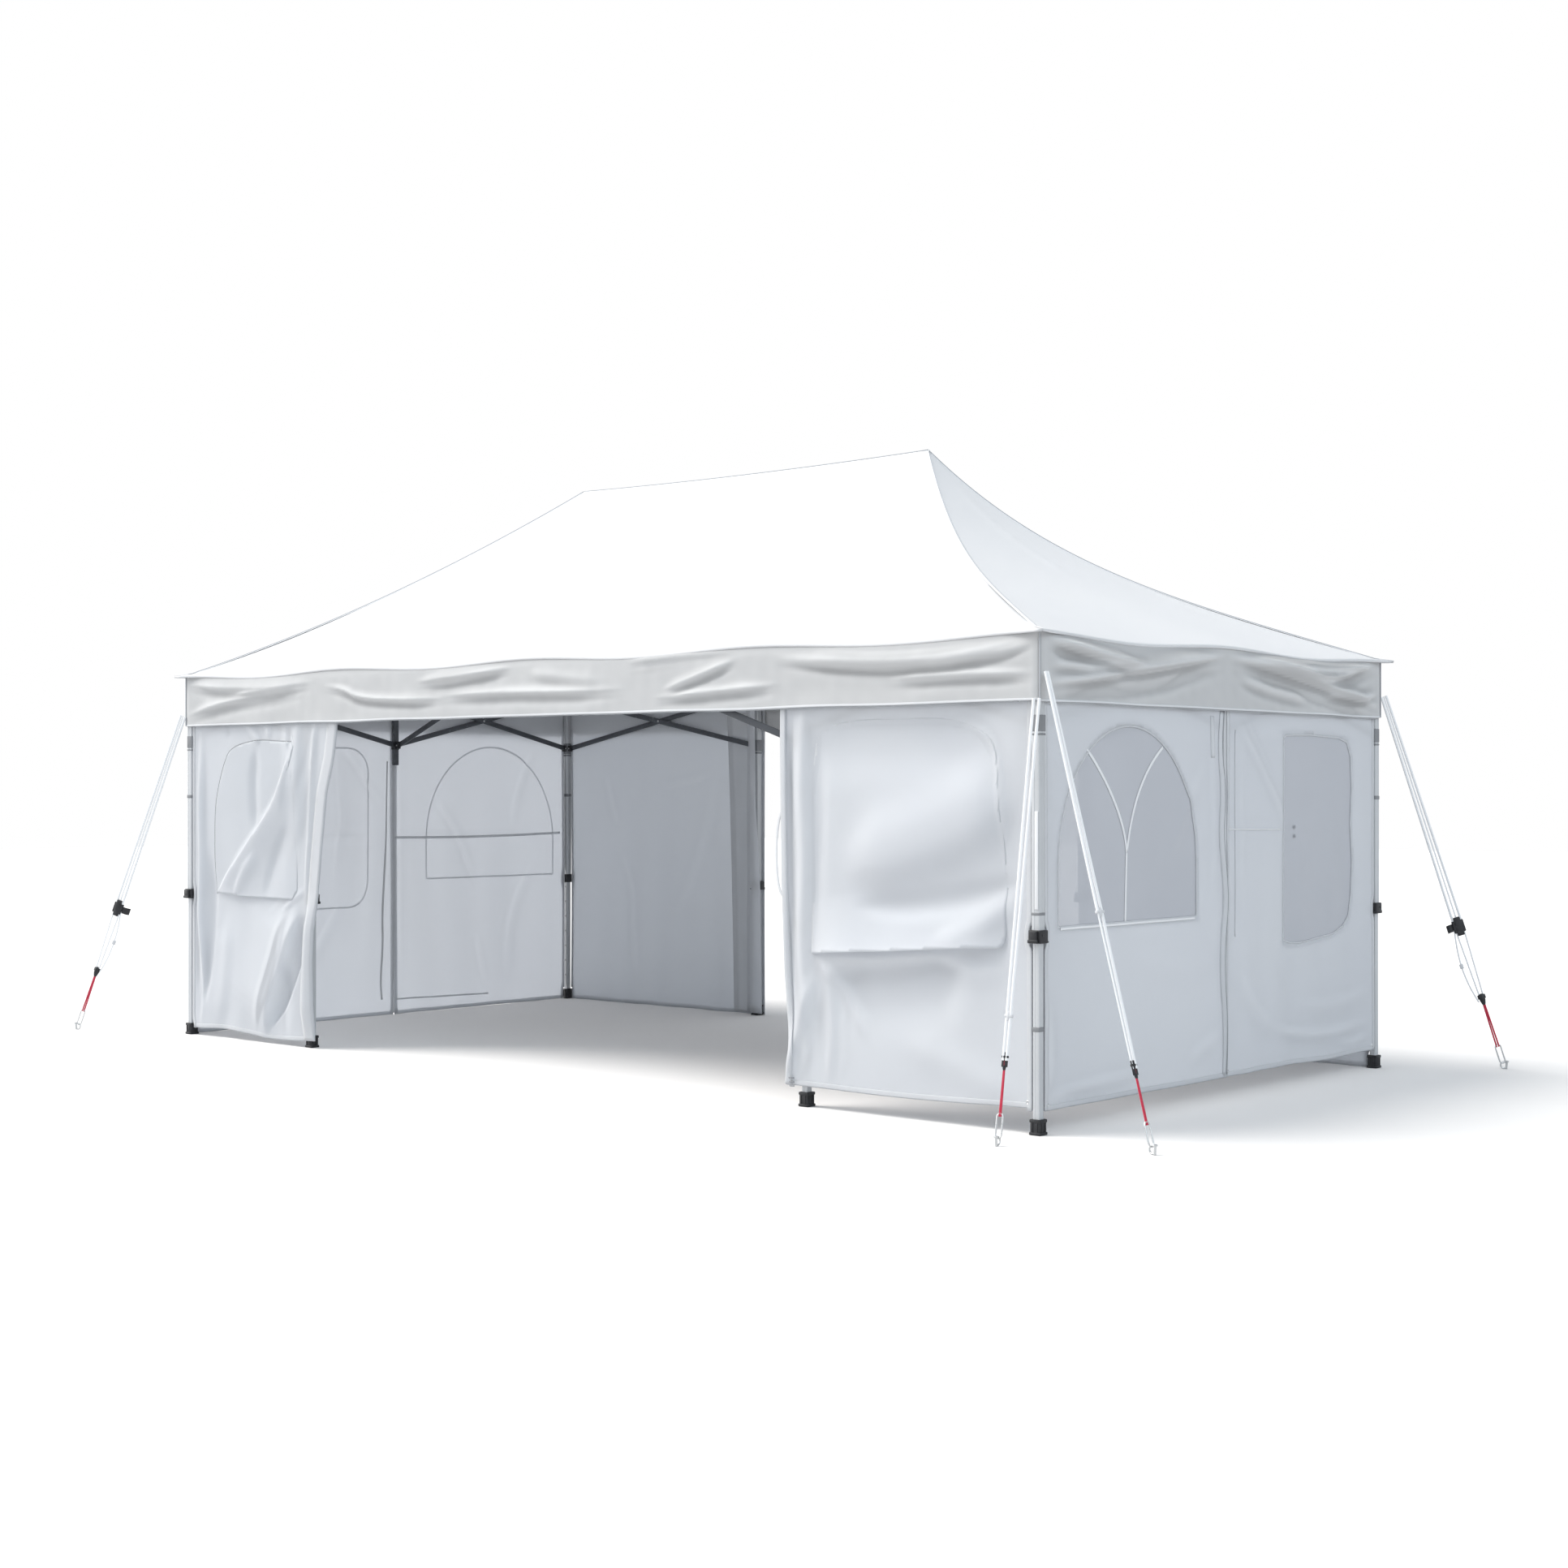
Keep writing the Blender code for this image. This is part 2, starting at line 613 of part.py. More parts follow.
def make_walls():
    end_x = HALF_X - CORNER_INSET - LEG_MARGIN
    end_y = HALF_Y - CORNER_INSET - LEG_MARGIN
    seam = 0.002
    arch = arch_outline(-1.375, -0.265, 0.85, 1.10, 1.70)
    panel_window = rounded_outline(0.20, 1.18, 0.69, 1.68, 0.16)
    mirrored = [(-x, y) for x, y in reversed(arch)]
    mirrored_panel = [(-x, y) for x, y in reversed(panel_window)]

    wall("wall_front_left",
         [(-end_x, HEM_LOW), (-1.80, HEM_LOW), (-1.72, 1.0), (-1.60, 1.75), (-1.60, WALL_TOP),
          (-end_x, WALL_TOP)],
         "y", -1, rounded_outline(-2.70, -1.97, 0.83, 1.70, 0.14), "wall_white")
    wall("wall_front_right",
         [(1.62, HEM_HIGH), (end_x, HEM_HIGH), (end_x, WALL_TOP), (1.58, WALL_TOP)],
         "y", -1, rounded_outline(1.80, 2.80, 0.74, 1.72, 0.16), "wall_white")
    wall("wall_right_front", plain_edge(-end_y, -seam, HEM_HIGH), "x", 1, arch)
    wall("wall_right_back", plain_edge(seam, end_y, HEM_HIGH), "x", 1, panel_window)
    wall("wall_left_front", plain_edge(-end_y, -seam, HEM_LOW), "x", -1, mirrored_panel)
    wall("wall_left_back", plain_edge(seam, end_y, HEM_LOW), "x", -1, mirrored)
    wall("wall_back_left", plain_edge(-end_x, -1.19, HEM_LOW), "y", 1)
    wall("wall_back_right", plain_edge(1.19, end_x, HEM_LOW), "y", 1)


# Guy lines

def guy_line(name, anchor, peg, tensioner_share, clip_share):
    """A doubled rope from the corner, its tensioner, the lower cord and the peg ring."""
    anchor = Vector(anchor)
    ring_centre = Vector((*peg, RING_RADIUS + RING_WIRE))
    foot = ring_centre + (anchor - ring_centre).normalized() * RING_RADIUS
    side = Vector((0, 0, 1)).cross(anchor - foot).normalized()
    tensioner = anchor.lerp(foot, tensioner_share)
    clip = anchor.lerp(foot, clip_share)
    spread = side * 0.016
    meshes = [rod_mesh(anchor - spread / 4, tensioner - spread, ROPE_RADIUS),
              rod_mesh(anchor + spread / 4, tensioner + spread, ROPE_RADIUS),
              rod_mesh(tensioner, foot, ROPE_RADIUS)]
    forward = (foot - anchor).normalized()
    meshes.append(bar_mesh(tensioner - forward * 0.03, tensioner + forward * 0.03, 0.046, 0.018))
    meshes.append(bar_mesh(clip - forward * 0.025, clip + forward * 0.025, 0.024, 0.016))
    meshes.append(bar_mesh(anchor - forward * 0.012, anchor + forward * 0.012, 0.022, 0.010))
    turn = Matrix.Rotation(math.atan2(forward.y, forward.x), 4, "Z") @ Matrix.Rotation(math.pi / 2, 4, "X")
    bpy.ops.mesh.primitive_torus_add(major_segments=12, minor_segments=6, major_radius=RING_RADIUS,
                                     minor_radius=RING_WIRE)
    ring = bpy.context.active_object
    mesh = ring.data.copy()
    mesh.transform(Matrix.Translation(ring_centre) @ turn)
    bpy.data.objects.remove(ring, do_unlink=True)
    meshes.append(mesh)
    return fuse(name, meshes, "rope_white")


def make_guys():
    x, y = HALF_X + 0.012, HALF_Y + 0.012
    guy_line("guy_front_left", (-x, -y, ANCHOR_Z), (-3.685, -1.81), 0.61, 0.83)
    guy_line("guy_front_right_a", (x - 0.02, -y, ANCHOR_Z - 0.05), (3.02, -1.853), 0.60, 0.82)
    guy_line("guy_front_right_b", (x, -y + 0.02, ANCHOR_Z), (3.605, -1.639), 0.60, 0.82)
    guy_line("guy_back_right", (x, y, ANCHOR_Z), (3.50, 1.889), 0.61, 0.83)
    guy_line("guy_back_left", (-x, y, ANCHOR_Z), (-3.50, 1.889), 0.61, 0.83)


make_legs()
make_trusses()
make_beams()
make_roof_frame()
make_roof()
make_valances()
make_walls()
make_guys()
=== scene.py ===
# %% [markdown]
# # A 3 x 6 m pop-up marquee tent
#
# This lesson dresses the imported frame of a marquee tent: a folding aluminium
# frame, a white coated-polyester cover with two peaks, a valance all round,
# side walls with windows, and pegged guy lines. The frame gives every size and
# place. Each step below makes one piece or one finish, says what it is on the
# real tent, how it could be made, and why this way was chosen.

# %% Load the frame
import math

import bmesh
import bpy
import numpy as np
from mathutils import Matrix, Vector


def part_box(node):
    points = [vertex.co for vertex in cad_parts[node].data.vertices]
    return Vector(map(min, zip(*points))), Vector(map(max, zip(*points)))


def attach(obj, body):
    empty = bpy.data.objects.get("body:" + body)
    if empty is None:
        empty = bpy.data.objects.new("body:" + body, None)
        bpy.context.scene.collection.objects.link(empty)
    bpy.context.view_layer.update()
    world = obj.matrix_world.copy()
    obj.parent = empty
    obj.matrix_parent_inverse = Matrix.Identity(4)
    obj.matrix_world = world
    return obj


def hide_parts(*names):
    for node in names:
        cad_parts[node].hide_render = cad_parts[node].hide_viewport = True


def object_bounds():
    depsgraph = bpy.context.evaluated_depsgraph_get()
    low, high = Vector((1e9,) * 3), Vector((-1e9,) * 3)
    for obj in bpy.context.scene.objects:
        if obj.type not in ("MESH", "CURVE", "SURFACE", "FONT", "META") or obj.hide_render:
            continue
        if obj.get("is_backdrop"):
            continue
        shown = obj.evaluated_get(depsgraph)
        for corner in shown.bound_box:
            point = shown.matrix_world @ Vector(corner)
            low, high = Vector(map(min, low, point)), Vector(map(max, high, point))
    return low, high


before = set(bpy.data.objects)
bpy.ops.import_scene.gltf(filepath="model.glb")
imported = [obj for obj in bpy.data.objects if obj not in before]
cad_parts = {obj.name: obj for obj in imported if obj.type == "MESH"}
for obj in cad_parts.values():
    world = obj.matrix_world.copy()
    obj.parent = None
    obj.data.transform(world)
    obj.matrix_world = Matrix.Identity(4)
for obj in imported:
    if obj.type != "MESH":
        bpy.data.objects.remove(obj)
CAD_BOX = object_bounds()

print("nodes in the frame:", len(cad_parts))

# %% [markdown]
# ## Sizes
#
# The tent stands on the ground at z = 0, with X along its long side and the
# wide doorway towards -Y. The main sizes are read from the frame, so the
# dressed pieces fit what carries them. Only sizes that a box can't show, such
# as the sag of the cloth, are written here as numbers.

# %% Read the sizes
valance_low, valance_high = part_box("valance_front")
SEAM_DROP = 0.003                   # the valance's top edge lies just under the cover
HALF_X = valance_high.x
HALF_Y = -valance_low.y
EAVE = valance_high.z + SEAM_DROP
VALANCE_LOW = valance_low.z
CLOTH = 0.003                       # thickness of the frame's cloth solids
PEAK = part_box("roof_front")[1].z
PEAK_X = 1.26
WALL_OUT = HALF_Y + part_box("wall_front_right")[0].y
WALL_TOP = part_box("wall_front_right")[1].z
HEM_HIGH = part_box("wall_front_right")[0].z
HEM_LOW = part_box("wall_back_left")[0].z
print(f"half length {HALF_X:.3f}, half depth {HALF_Y:.3f}, eave {EAVE:.3f}, peak {PEAK:.3f}")
print(f"walls {WALL_OUT * 1000:.1f} mm behind the valance, hems {HEM_HIGH:.3f} and {HEM_LOW:.3f}")

# %% [markdown]
# ## Camera
#
# The photograph is taken from the front right, at the eye height of someone
# sitting, with an ordinary lens: the upright edges stay upright, so the camera
# is almost level. The place and the lens were found by fitting the tent's
# corners, feet and peaks to the picture. Nothing is shifted.

# %% Make the camera
camera_data = bpy.data.cameras.new("camera")
camera_data.lens = 52.6
camera_data.sensor_width = 36.0
camera_data.clip_end = 200.0
camera = bpy.data.objects.new("camera", camera_data)
camera.location = (8.3724, -9.3387, 1.4305)
camera.rotation_euler = (math.pi / 2 + 0.0018, 0.0, 0.7138)
bpy.context.scene.collection.objects.link(camera)
bpy.context.scene.camera = camera
print("camera at", tuple(camera.location))

# %% [markdown]
# ## Floor, sky and light
#
# A studio shot on white needs a pale floor that burns out to white away from
# the object and keeps a soft shadow under it. One large flat square is enough.
# It lies a hair under the feet, because two surfaces in one plane would flicker
# through each other.

# %% Floor
def object_from(bm, name, smooth=False):
    """An object at the origin that holds a finished bmesh."""
    mesh = bpy.data.meshes.new(name)
    bm.to_mesh(mesh)
    bm.free()
    if smooth:
        mesh.shade_smooth()
    obj = bpy.data.objects.new(name, mesh)
    bpy.context.scene.collection.objects.link(obj)
    return obj


FLOOR_SIZE = 80.0
FLOOR_DROP = 0.001                  # the floor lies just under the feet
floor_bm = bmesh.new()
bmesh.ops.create_grid(floor_bm, x_segments=1, y_segments=1, size=FLOOR_SIZE / 2,
                      matrix=Matrix.Translation((0, 0, -FLOOR_DROP)))
floor = object_from(floor_bm, "floor")
floor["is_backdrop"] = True
print("floor", FLOOR_SIZE, "m square")

# %% [markdown]
# A wide soft light from above and to the left of the camera stands for the big
# light bank, a low one from the left draws the upright folds, and a weak cool
# one from the right keeps the end wall from going dull. Area lamps would fade
# across a tent this long, so all three are sun lamps with a wide angle: they
# light it evenly and still give soft shadows.

# %% Lights
def far_light(name, direction, energy, spread_angle, colour):
    """A soft light from far away; direction points to where it comes from."""
    data = bpy.data.lights.new(name, "SUN")
    data.energy = energy
    data.angle = math.radians(spread_angle)
    data.color = colour
    light = bpy.data.objects.new(name, data)
    light.rotation_euler = Vector(direction).to_track_quat("Z", "Y").to_euler()
    bpy.context.scene.collection.objects.link(light)


far_light("light_bank", (-0.50, -0.31, 0.90), 2.50, 34, (1.0, 0.985, 0.96))
far_light("left_fill", (-0.90, -0.40, 0.30), 1.34, 40, (1.0, 0.985, 0.965))
far_light("right_fill", (0.72, -0.26, 0.50), 0.86, 40, (0.80, 0.91, 1.0))

# %% [markdown]
# The light that comes from all round is a pale, slightly blue world. The camera
# has to see clean white behind the tent, though, so a light path node gives
# its rays a white background of their own, and every other ray the blue one.

# %% Surroundings
world = bpy.data.worlds.new("studio")
world.use_nodes = True
world_tree = world.node_tree
surroundings = world_tree.nodes["Background"]
surroundings.inputs["Color"].default_value = (0.86, 0.92, 0.985, 1.0)
surroundings.inputs["Strength"].default_value = 0.66
backdrop = world_tree.nodes.new("ShaderNodeBackground")
backdrop.inputs["Color"].default_value = (1.0, 1.0, 1.0, 1.0)
seen_directly = world_tree.nodes.new("ShaderNodeLightPath")
choose = world_tree.nodes.new("ShaderNodeMixShader")
world_tree.links.new(seen_directly.outputs["Is Camera Ray"], choose.inputs["Fac"])
world_tree.links.new(surroundings.outputs["Background"], choose.inputs[1])
world_tree.links.new(backdrop.outputs["Background"], choose.inputs[2])
world_tree.links.new(choose.outputs["Shader"], world_tree.nodes["World Output"].inputs["Surface"])
bpy.context.scene.world = world
bpy.context.scene.view_settings.view_transform = "Standard"
print("surroundings:", world.name)

# %% [markdown]
# ## A helper for finishes
#
# Every finish is one Principled shader with a few textures in front of it. A
# colour or roughness that is the same all over is set on the shader itself.
# Patterns that follow the cloth read its UV map, which is laid out in metres;
# patterns that belong to a lump of metal or plastic read Object coordinates.

# %% Finish helpers
def finish(name, colour, roughness, metallic=0.0, **sockets):
    """A material with one Principled shader; gives the material, its tree and its shader."""
    material = bpy.data.materials.new(name)
    material.use_nodes = True
    tree = material.node_tree
    shader = tree.nodes["Principled BSDF"]
    shader.inputs["Base Color"].default_value = (*colour, 1.0)
    shader.inputs["Roughness"].default_value = roughness
    shader.inputs["Metallic"].default_value = metallic
    for socket, value in sockets.items():
        shader.inputs[socket.replace("_", " ")].default_value = value
    return material, tree, shader


def add_node(tree, kind, settings=None, **inputs):
    """A node with its settings, its input values and its incoming links."""
    made = tree.nodes.new(kind)
    for key, value in (settings or {}).items():
        setattr(made, key, value)
    for key, value in inputs.items():
        socket = made.inputs[key.replace("_", " ")]
        if isinstance(value, bpy.types.NodeSocket):
            tree.links.new(value, socket)
        else:
            socket.default_value = value
    return made


def coordinates(tree, source="Object"):
    return add_node(tree, "ShaderNodeTexCoord").outputs[source]


def noise_at(tree, vector, scale, detail=2.0, roughness=0.5):
    return add_node(tree, "ShaderNodeTexNoise", Vector=vector, Scale=scale, Detail=detail,
                    Roughness=roughness).outputs["Fac"]


def mix_colours(tree, factor, first, second):
    """A colour between two, by a factor from a texture."""
    mix = add_node(tree, "ShaderNodeMix", {"data_type": "RGBA"})
    tree.links.new(factor, mix.inputs["Factor"])
    for index, colour in ((6, first), (7, second)):
        if isinstance(colour, bpy.types.NodeSocket):
            tree.links.new(colour, mix.inputs[index])
        else:
            mix.inputs[index].default_value = (*colour, 1.0)
    return mix.outputs[2]


def spread(tree, factor, low, high, new_low=0.0, new_high=1.0):
    """Stretches a texture's values from low..high to new_low..new_high."""
    return add_node(tree, "ShaderNodeMapRange", Value=factor, From_Min=low, From_Max=high,
                    To_Min=new_low, To_Max=new_high).outputs["Result"]


def stack_bumps(tree, shader, layers):
    """Bumps one on another, each a (height, strength, depth in metres)."""
    below = None
    for height, strength, depth in layers:
        bump = add_node(tree, "ShaderNodeBump", Height=height, Strength=strength, Distance=depth)
        if below is not None:
            tree.links.new(below, bump.inputs["Normal"])
        below = bump.outputs["Normal"]
    tree.links.new(below, shader.inputs["Normal"])


def paint(tree, shader, factor, first, second):
    """Gives the shader a colour between two, by a texture."""
    tree.links.new(mix_colours(tree, factor, first, second), shader.inputs["Base Color"])


def roughen(tree, shader, factor, low, high, smooth, rough):
    """Gives the shader a roughness between two, by a texture's values from low to high."""
    tree.links.new(spread(tree, factor, low, high, smooth, rough), shader.inputs["Roughness"])


def maths(tree, operation, *values):
    """The result of one sum, from numbers and other nodes' results."""
    made = add_node(tree, "ShaderNodeMath", {"operation": operation})
    for socket, value in zip(made.inputs, values):
        if isinstance(value, bpy.types.NodeSocket):
            tree.links.new(value, socket)
        else:
            socket.default_value = value
    return made.outputs["Value"]


print("finish helpers ready")

# %% [markdown]
# The floor is seen as pale as the backdrop. A floor that pale would throw so
# much light back up that the walls' folds wash out. Photographers lay dark
# cloth, a flag, just out of view; here the floor's finish asks whether the
# camera sees it, and gives the tent a duller colour than it shows.

# %% Floor finish
FLAGGED = (0.60, 0.60, 0.605)       # what the floor gives back to the tent
floor_finish, tree, shader = finish("pale_floor", (0.93, 0.915, 0.90), 0.9)
grain = noise_at(tree, coordinates(tree), 2.5, 3.0)
seen_floor = mix_colours(tree, grain, (0.905, 0.873, 0.847), (0.925, 0.898, 0.872))
floor_path = add_node(tree, "ShaderNodeLightPath")
paint(tree, shader, floor_path.outputs["Is Camera Ray"], FLAGGED, seen_floor)
floor.data.materials.append(floor_finish)
print("finish made:", floor_finish.name)

# %% [markdown]
# ## The cloth's finish
#
# The cover and walls are a plain-weave polyester with a matt waterproof coat.
# Close up it shows a fine weave, and further off the creases it keeps from
# its carrying bag and a slightly uneven whiteness. The weave is two sets of
# bands across each other on the UV map, which is in metres, so a thread is the
# same size on every panel. The creases are ridged noise. Each panel also keeps
# on its points how far they stand above or below the cloth around them, and
# the finish paints a highlight on the crests and shade in the hollows, which
# deepens the folds' own shading. The valance is the same cloth as the cover,
# but its colour is darker: painted shade. The walls are thin enough for
# daylight to show through, so a translucent shader is mixed in; the coated roof
# lets less through.

# %% Cloth finishes
THREAD_PITCH = 0.0014
BAND_PERIOD = math.pi / 10          # a wave texture of scale 1 repeats at this distance
DAYLIGHT = (0.90, 0.915, 0.94)      # the colour of light that comes through cloth


def bands(tree, vector, pitch, direction="X", distortion=0.0):
    """Even bands, one each pitch."""
    return add_node(tree, "ShaderNodeTexWave", {"bands_direction": direction}, Vector=vector,
                    Scale=BAND_PERIOD / pitch, Distortion=distortion).outputs["Fac"]


def weave_height(tree, uv):
    """Warp and weft threads from two band patterns."""
    return maths(tree, "MULTIPLY", *(bands(tree, uv, THREAD_PITCH, way) for way in ("X", "Y")))


def let_light_through(tree, shader, share, colour=DAYLIGHT):
    """Mixes in a translucent shader, so that light on one side shows on the other."""
    glow = add_node(tree, "ShaderNodeBsdfTranslucent", Color=(*colour, 1.0))
    mix = add_node(tree, "ShaderNodeMixShader")
    mix.inputs[0].default_value = share
    tree.links.new(shader.outputs["BSDF"], mix.inputs[1])
    tree.links.new(glow.outputs["BSDF"], mix.inputs[2])
    tree.links.new(mix.outputs["Shader"], tree.nodes["Material Output"].inputs["Surface"])


def cloth_finish(name, bright, dull, roughness, sheen, through, crease=0.35):
    """Coated polyester; through is the share of light it lets through."""
    material, tree, shader = finish(name, bright, roughness, Sheen_Weight=sheen, Sheen_Roughness=0.6,
                                    Specular_IOR_Level=0.35)
    let_light_through(tree, shader, through)
    place = coordinates(tree)
    clouds = noise_at(tree, place, 0.9, 4.0, 0.55)
    even = mix_colours(tree, spread(tree, clouds, 0.35, 0.65), dull, bright)
    # The fold relief kept on the points: painted shade in the hollows, painted highlight on the crests.
    fold_shade = add_node(tree, "ShaderNodeAttribute", {"attribute_name": "crease"}).outputs["Fac"]
    painted_highlight = tuple(min(0.93, c * 1.16) for c in bright)
    painted_shade = tuple(c * 0.70 for c in dull)
    highlit = mix_colours(tree, spread(tree, fold_shade, 0.0, 1.0), even, painted_highlight)
    paint(tree, shader, spread(tree, fold_shade, -1.0, 0.0, 0.75, 0.0), highlit, painted_shade)
    creases = add_node(tree, "ShaderNodeTexNoise", {"noise_type": "RIDGED_MULTIFRACTAL"}, Vector=place,
                       Scale=2.2, Detail=2.0, Roughness=0.4).outputs["Fac"]
    rumple = noise_at(tree, place, 14.0, 3.0)
    patches = noise_at(tree, place, 6.0, 2.0)
    roughen(tree, shader, patches, 0.3, 0.7, roughness - 0.06, roughness + 0.08)
    stack_bumps(tree, shader, [(creases, crease, 0.0012), (rumple, 0.30, 0.0016),
                               (weave_height(tree, coordinates(tree, "UV")), 0.25, 0.0002)])
    return material


COVER = cloth_finish("cover_cloth", (0.87, 0.86, 0.855), (0.85, 0.843, 0.843), 0.62, 0.12, 0.26, 0.20)
# Same white cloth as the cover; the valance's darker colour is painted shade.
SHADED_VALANCE = cloth_finish("valance_cloth", (0.575, 0.571, 0.566), (0.546, 0.543, 0.541), 0.60, 0.12, 0.08)
WALL = cloth_finish("wall_cloth", (0.85, 0.853, 0.86), (0.82, 0.825, 0.84), 0.60, 0.10, 0.49)
print("cloths:", COVER.name, SHADED_VALANCE.name, WALL.name)

# %% [markdown]
# ## Making cloth from a flat grid
#
# A cloth panel starts flat, the way it was cut: a grid whose X runs along the
# panel and whose Y is the height, with its UV map in the same metres. The grid
# is then bent into place by a rule that gives each point its height above the
# panel's plane. So one rule shapes the panel, its hem, its tapes and its
# window, and they can't come apart. The rule is worked out for all points at
# once with numpy, which is far quicker than a loop.

# %% Grid helpers
def flat_grid(left, right, low, high, pitch, pitch_up=None):
    """A flat grid in the panel's own metres, with its UV map."""
    columns = max(1, round((right - left) / pitch))
    rows = max(1, round((high - low) / (pitch_up or pitch)))
    bm = bmesh.new()
    uv = bm.loops.layers.uv.new("UVMap")
    place = Matrix.Translation(((left + right) / 2, (low + high) / 2, 0))
    size = Matrix.Diagonal((right - left, high - low, 1, 1))
    bmesh.ops.create_grid(bm, x_segments=columns, y_segments=rows, size=0.5, matrix=place @ size)
    for face in bm.faces:
        for loop in face.loops:
            loop[uv].uv = loop.vert.co.xy
    return bm


def bend(bm, rule):
    """Moves every point of a flat grid to the place that the rule gives it."""
    flat = np.array([vert.co[:] for vert in bm.verts])
    for vert, spot in zip(bm.verts, rule(flat[:, 0], flat[:, 1], flat[:, 2])):
        vert.co = spot


def flat_area(bm):
    """Area of a grid as it is cut, before it is bent."""
    return sum(face.calc_area() for face in bm.faces)


def face_out(bm, outward):
    """Turns an open sheet over if its faces look the wrong way."""
    bm.normal_update()
    total = sum((face.normal * face.calc_area() for face in bm.faces), Vector())
    if total.dot(Vector(outward)) < 0:
        bmesh.ops.reverse_faces(bm, faces=bm.faces[:])


def add_piece(name, bm, material, slot, replaces=(), body="marquee", sharp=None, thickness=None,
              outward=False):
    """A finished piece: its object, finish, the nodes it stands for, its body and thickness; slot is not
    used.
    """
    obj = object_from(bm, name, smooth=True)
    if sharp is not None:
        obj.data.set_sharp_from_angle(angle=math.radians(sharp))
    obj.data.materials.append(material)
    if thickness:
        shell = obj.modifiers.new("thickness", "SOLIDIFY")
        shell.thickness = thickness
        shell.offset = 1.0 if outward else -1.0
    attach(obj, body)
    if replaces:
        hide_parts(*replaces)
    return obj


print("grid helpers ready")

# %% [markdown]
# Ropes, pipings and wire rings are tubes swept along a path. Each is a flat
# grid, as long as the path and as wide as the tube's girth, rolled up round
# the path, so its UV map runs in metres along it and around it.

# %% Tubes along a path
def tube(points, radius, sides=12, pitch=None, closed=False):
    """A tube swept along points, with its UV map in metres along and around."""
    path = np.array([tuple(p) for p in points], float)
    if closed:
        path = np.vstack((path, path[:1]))
    runs = np.linalg.norm(np.diff(path, axis=0), axis=1)
    distance = np.concatenate(([0.0], np.cumsum(runs)))
    length = distance[-1]
    girth = math.tau * radius
    bm = flat_grid(0, length, 0, girth, pitch or max(length / max(len(path) - 1, 1), 0.002), girth / sides)

    def rule(run, around, lift):
        here = np.stack([np.interp(run, distance, path[:, k]) for k in range(3)], 1)
        step = min(0.004, length / 8)
        far, near = run + step, run - step
        if closed:
            far, near = far % length, near % length
        else:
            far, near = np.minimum(far, length), np.maximum(near, 0)
        ahead = np.stack([np.interp(far, distance, path[:, k]) - np.interp(near, distance, path[:, k])
                          for k in range(3)], 1)
        ahead /= np.maximum(np.linalg.norm(ahead, axis=1), 1e-9)[:, None]
        chord = path[-1] - path[0]
        steep = closed or abs(chord[2]) >= 0.9 * np.linalg.norm(chord)
        guide = np.array((1.0, 0.0, 0.0) if steep else (0.0, 0.0, 1.0))
        side = np.cross(ahead, guide)
        side /= np.maximum(np.linalg.norm(side, axis=1), 1e-9)[:, None]
        up = np.cross(side, ahead)
        angle = around / radius
        return here + radius * (np.cos(angle)[:, None] * side + np.sin(angle)[:, None] * up)
    bend(bm, rule)
    bmesh.ops.remove_doubles(bm, verts=bm.verts[:], dist=radius * 0.05)
    if not closed:
        rims = [edge for edge in bm.edges if edge.is_boundary]
        bmesh.ops.holes_fill(bm, edges=rims, sides=0)
    bmesh.ops.recalc_face_normals(bm, faces=bm.faces[:])
    return bm


print("tube helper ready")

# %% [markdown]
# ## The folds' shapes
#
# A fold in pulled cloth is a rounded ridge along a line, straight or slightly
# bowed, that fades out at its ends. A lip is the same ridge with one steep
# side, where the cloth laps over. Most folds wander, so they follow a path of a
# few points, whose corners are cut off until it bends softly. A fold's height
# at a point depends only on how far the point is from the path, and on which
# side. Sums of a few sines with seeded phases give small unevenness, the same
# on every run.

# %% Fold helpers
def ease(values):
    values = np.clip(values, 0.0, 1.0)
    return values * values * (3 - 2 * values)


def fold(along, height, start, end, width, depth, bow=0.0, lean=1.0, crisp=2.0):
    """A ridge along a line; lean narrows its lower or right side, crisp below 2 sharpens it."""
    run = (end[0] - start[0], end[1] - start[1])
    length = math.hypot(*run)
    share = ((along - start[0]) * run[0] + (height - start[1]) * run[1]) / length ** 2
    across = ((height - start[1]) * run[0] - (along - start[0]) * run[1]) / length
    across = across - 4 * bow * share * (1 - share)
    across = np.where(across < 0, across / (width * lean), across / width)
    fade = ease(np.minimum(share + 0.08, 1.08 - share) * 4)
    return depth * fade * np.exp(-np.abs(across) ** crisp)


def rounded(points, rounds=2):
    """A path with its corners cut twice, so it bends softly."""
    for _ in range(rounds):
        first, second = points[:-1], points[1:]
        cut = [points[0]]
        for a, b in zip(first, second):
            cut += [tuple(a[k] * (1 - s) + b[k] * s for k in (0, 1)) for s in (0.25, 0.75)]
        points = cut + [points[-1]]
    return points


def path_fold(along, height, path, width, depth, lean=1.0, crisp=2.0):
    """A ridge along a wandering path; lean widens or narrows its lower or right side."""
    path = rounded(path)
    runs = [math.dist(a, b) for a, b in zip(path, path[1:])]
    total = sum(runs)
    nearest = np.full_like(along, 1e9)
    across = np.zeros_like(along)
    share = np.zeros_like(along)
    done = 0.0
    for (x0, y0), (x1, y1), run in zip(path, path[1:], runs):
        step = ((along - x0) * (x1 - x0) + (height - y0) * (y1 - y0)) / run ** 2
        held = np.clip(step, 0.0, 1.0)
        gap = np.hypot(along - x0 - held * (x1 - x0), height - y0 - held * (y1 - y0))
        left = ((height - y0) * (x1 - x0) - (along - x0) * (y1 - y0)) / run
        closer = gap < nearest
        nearest = np.where(closer, gap, nearest)
        across = np.where(closer, np.copysign(gap, left), across)
        share = np.where(closer, (done + step * run) / total, share)
        done += run
    fade = ease(np.minimum(share + 0.03, 1.03 - share) * 3.2)
    width = width * (0.6 + 0.4 * fade)
    across = np.where(across < 0, across / (width * lean), across / width)
    return depth * fade * np.exp(-np.abs(across) ** crisp)


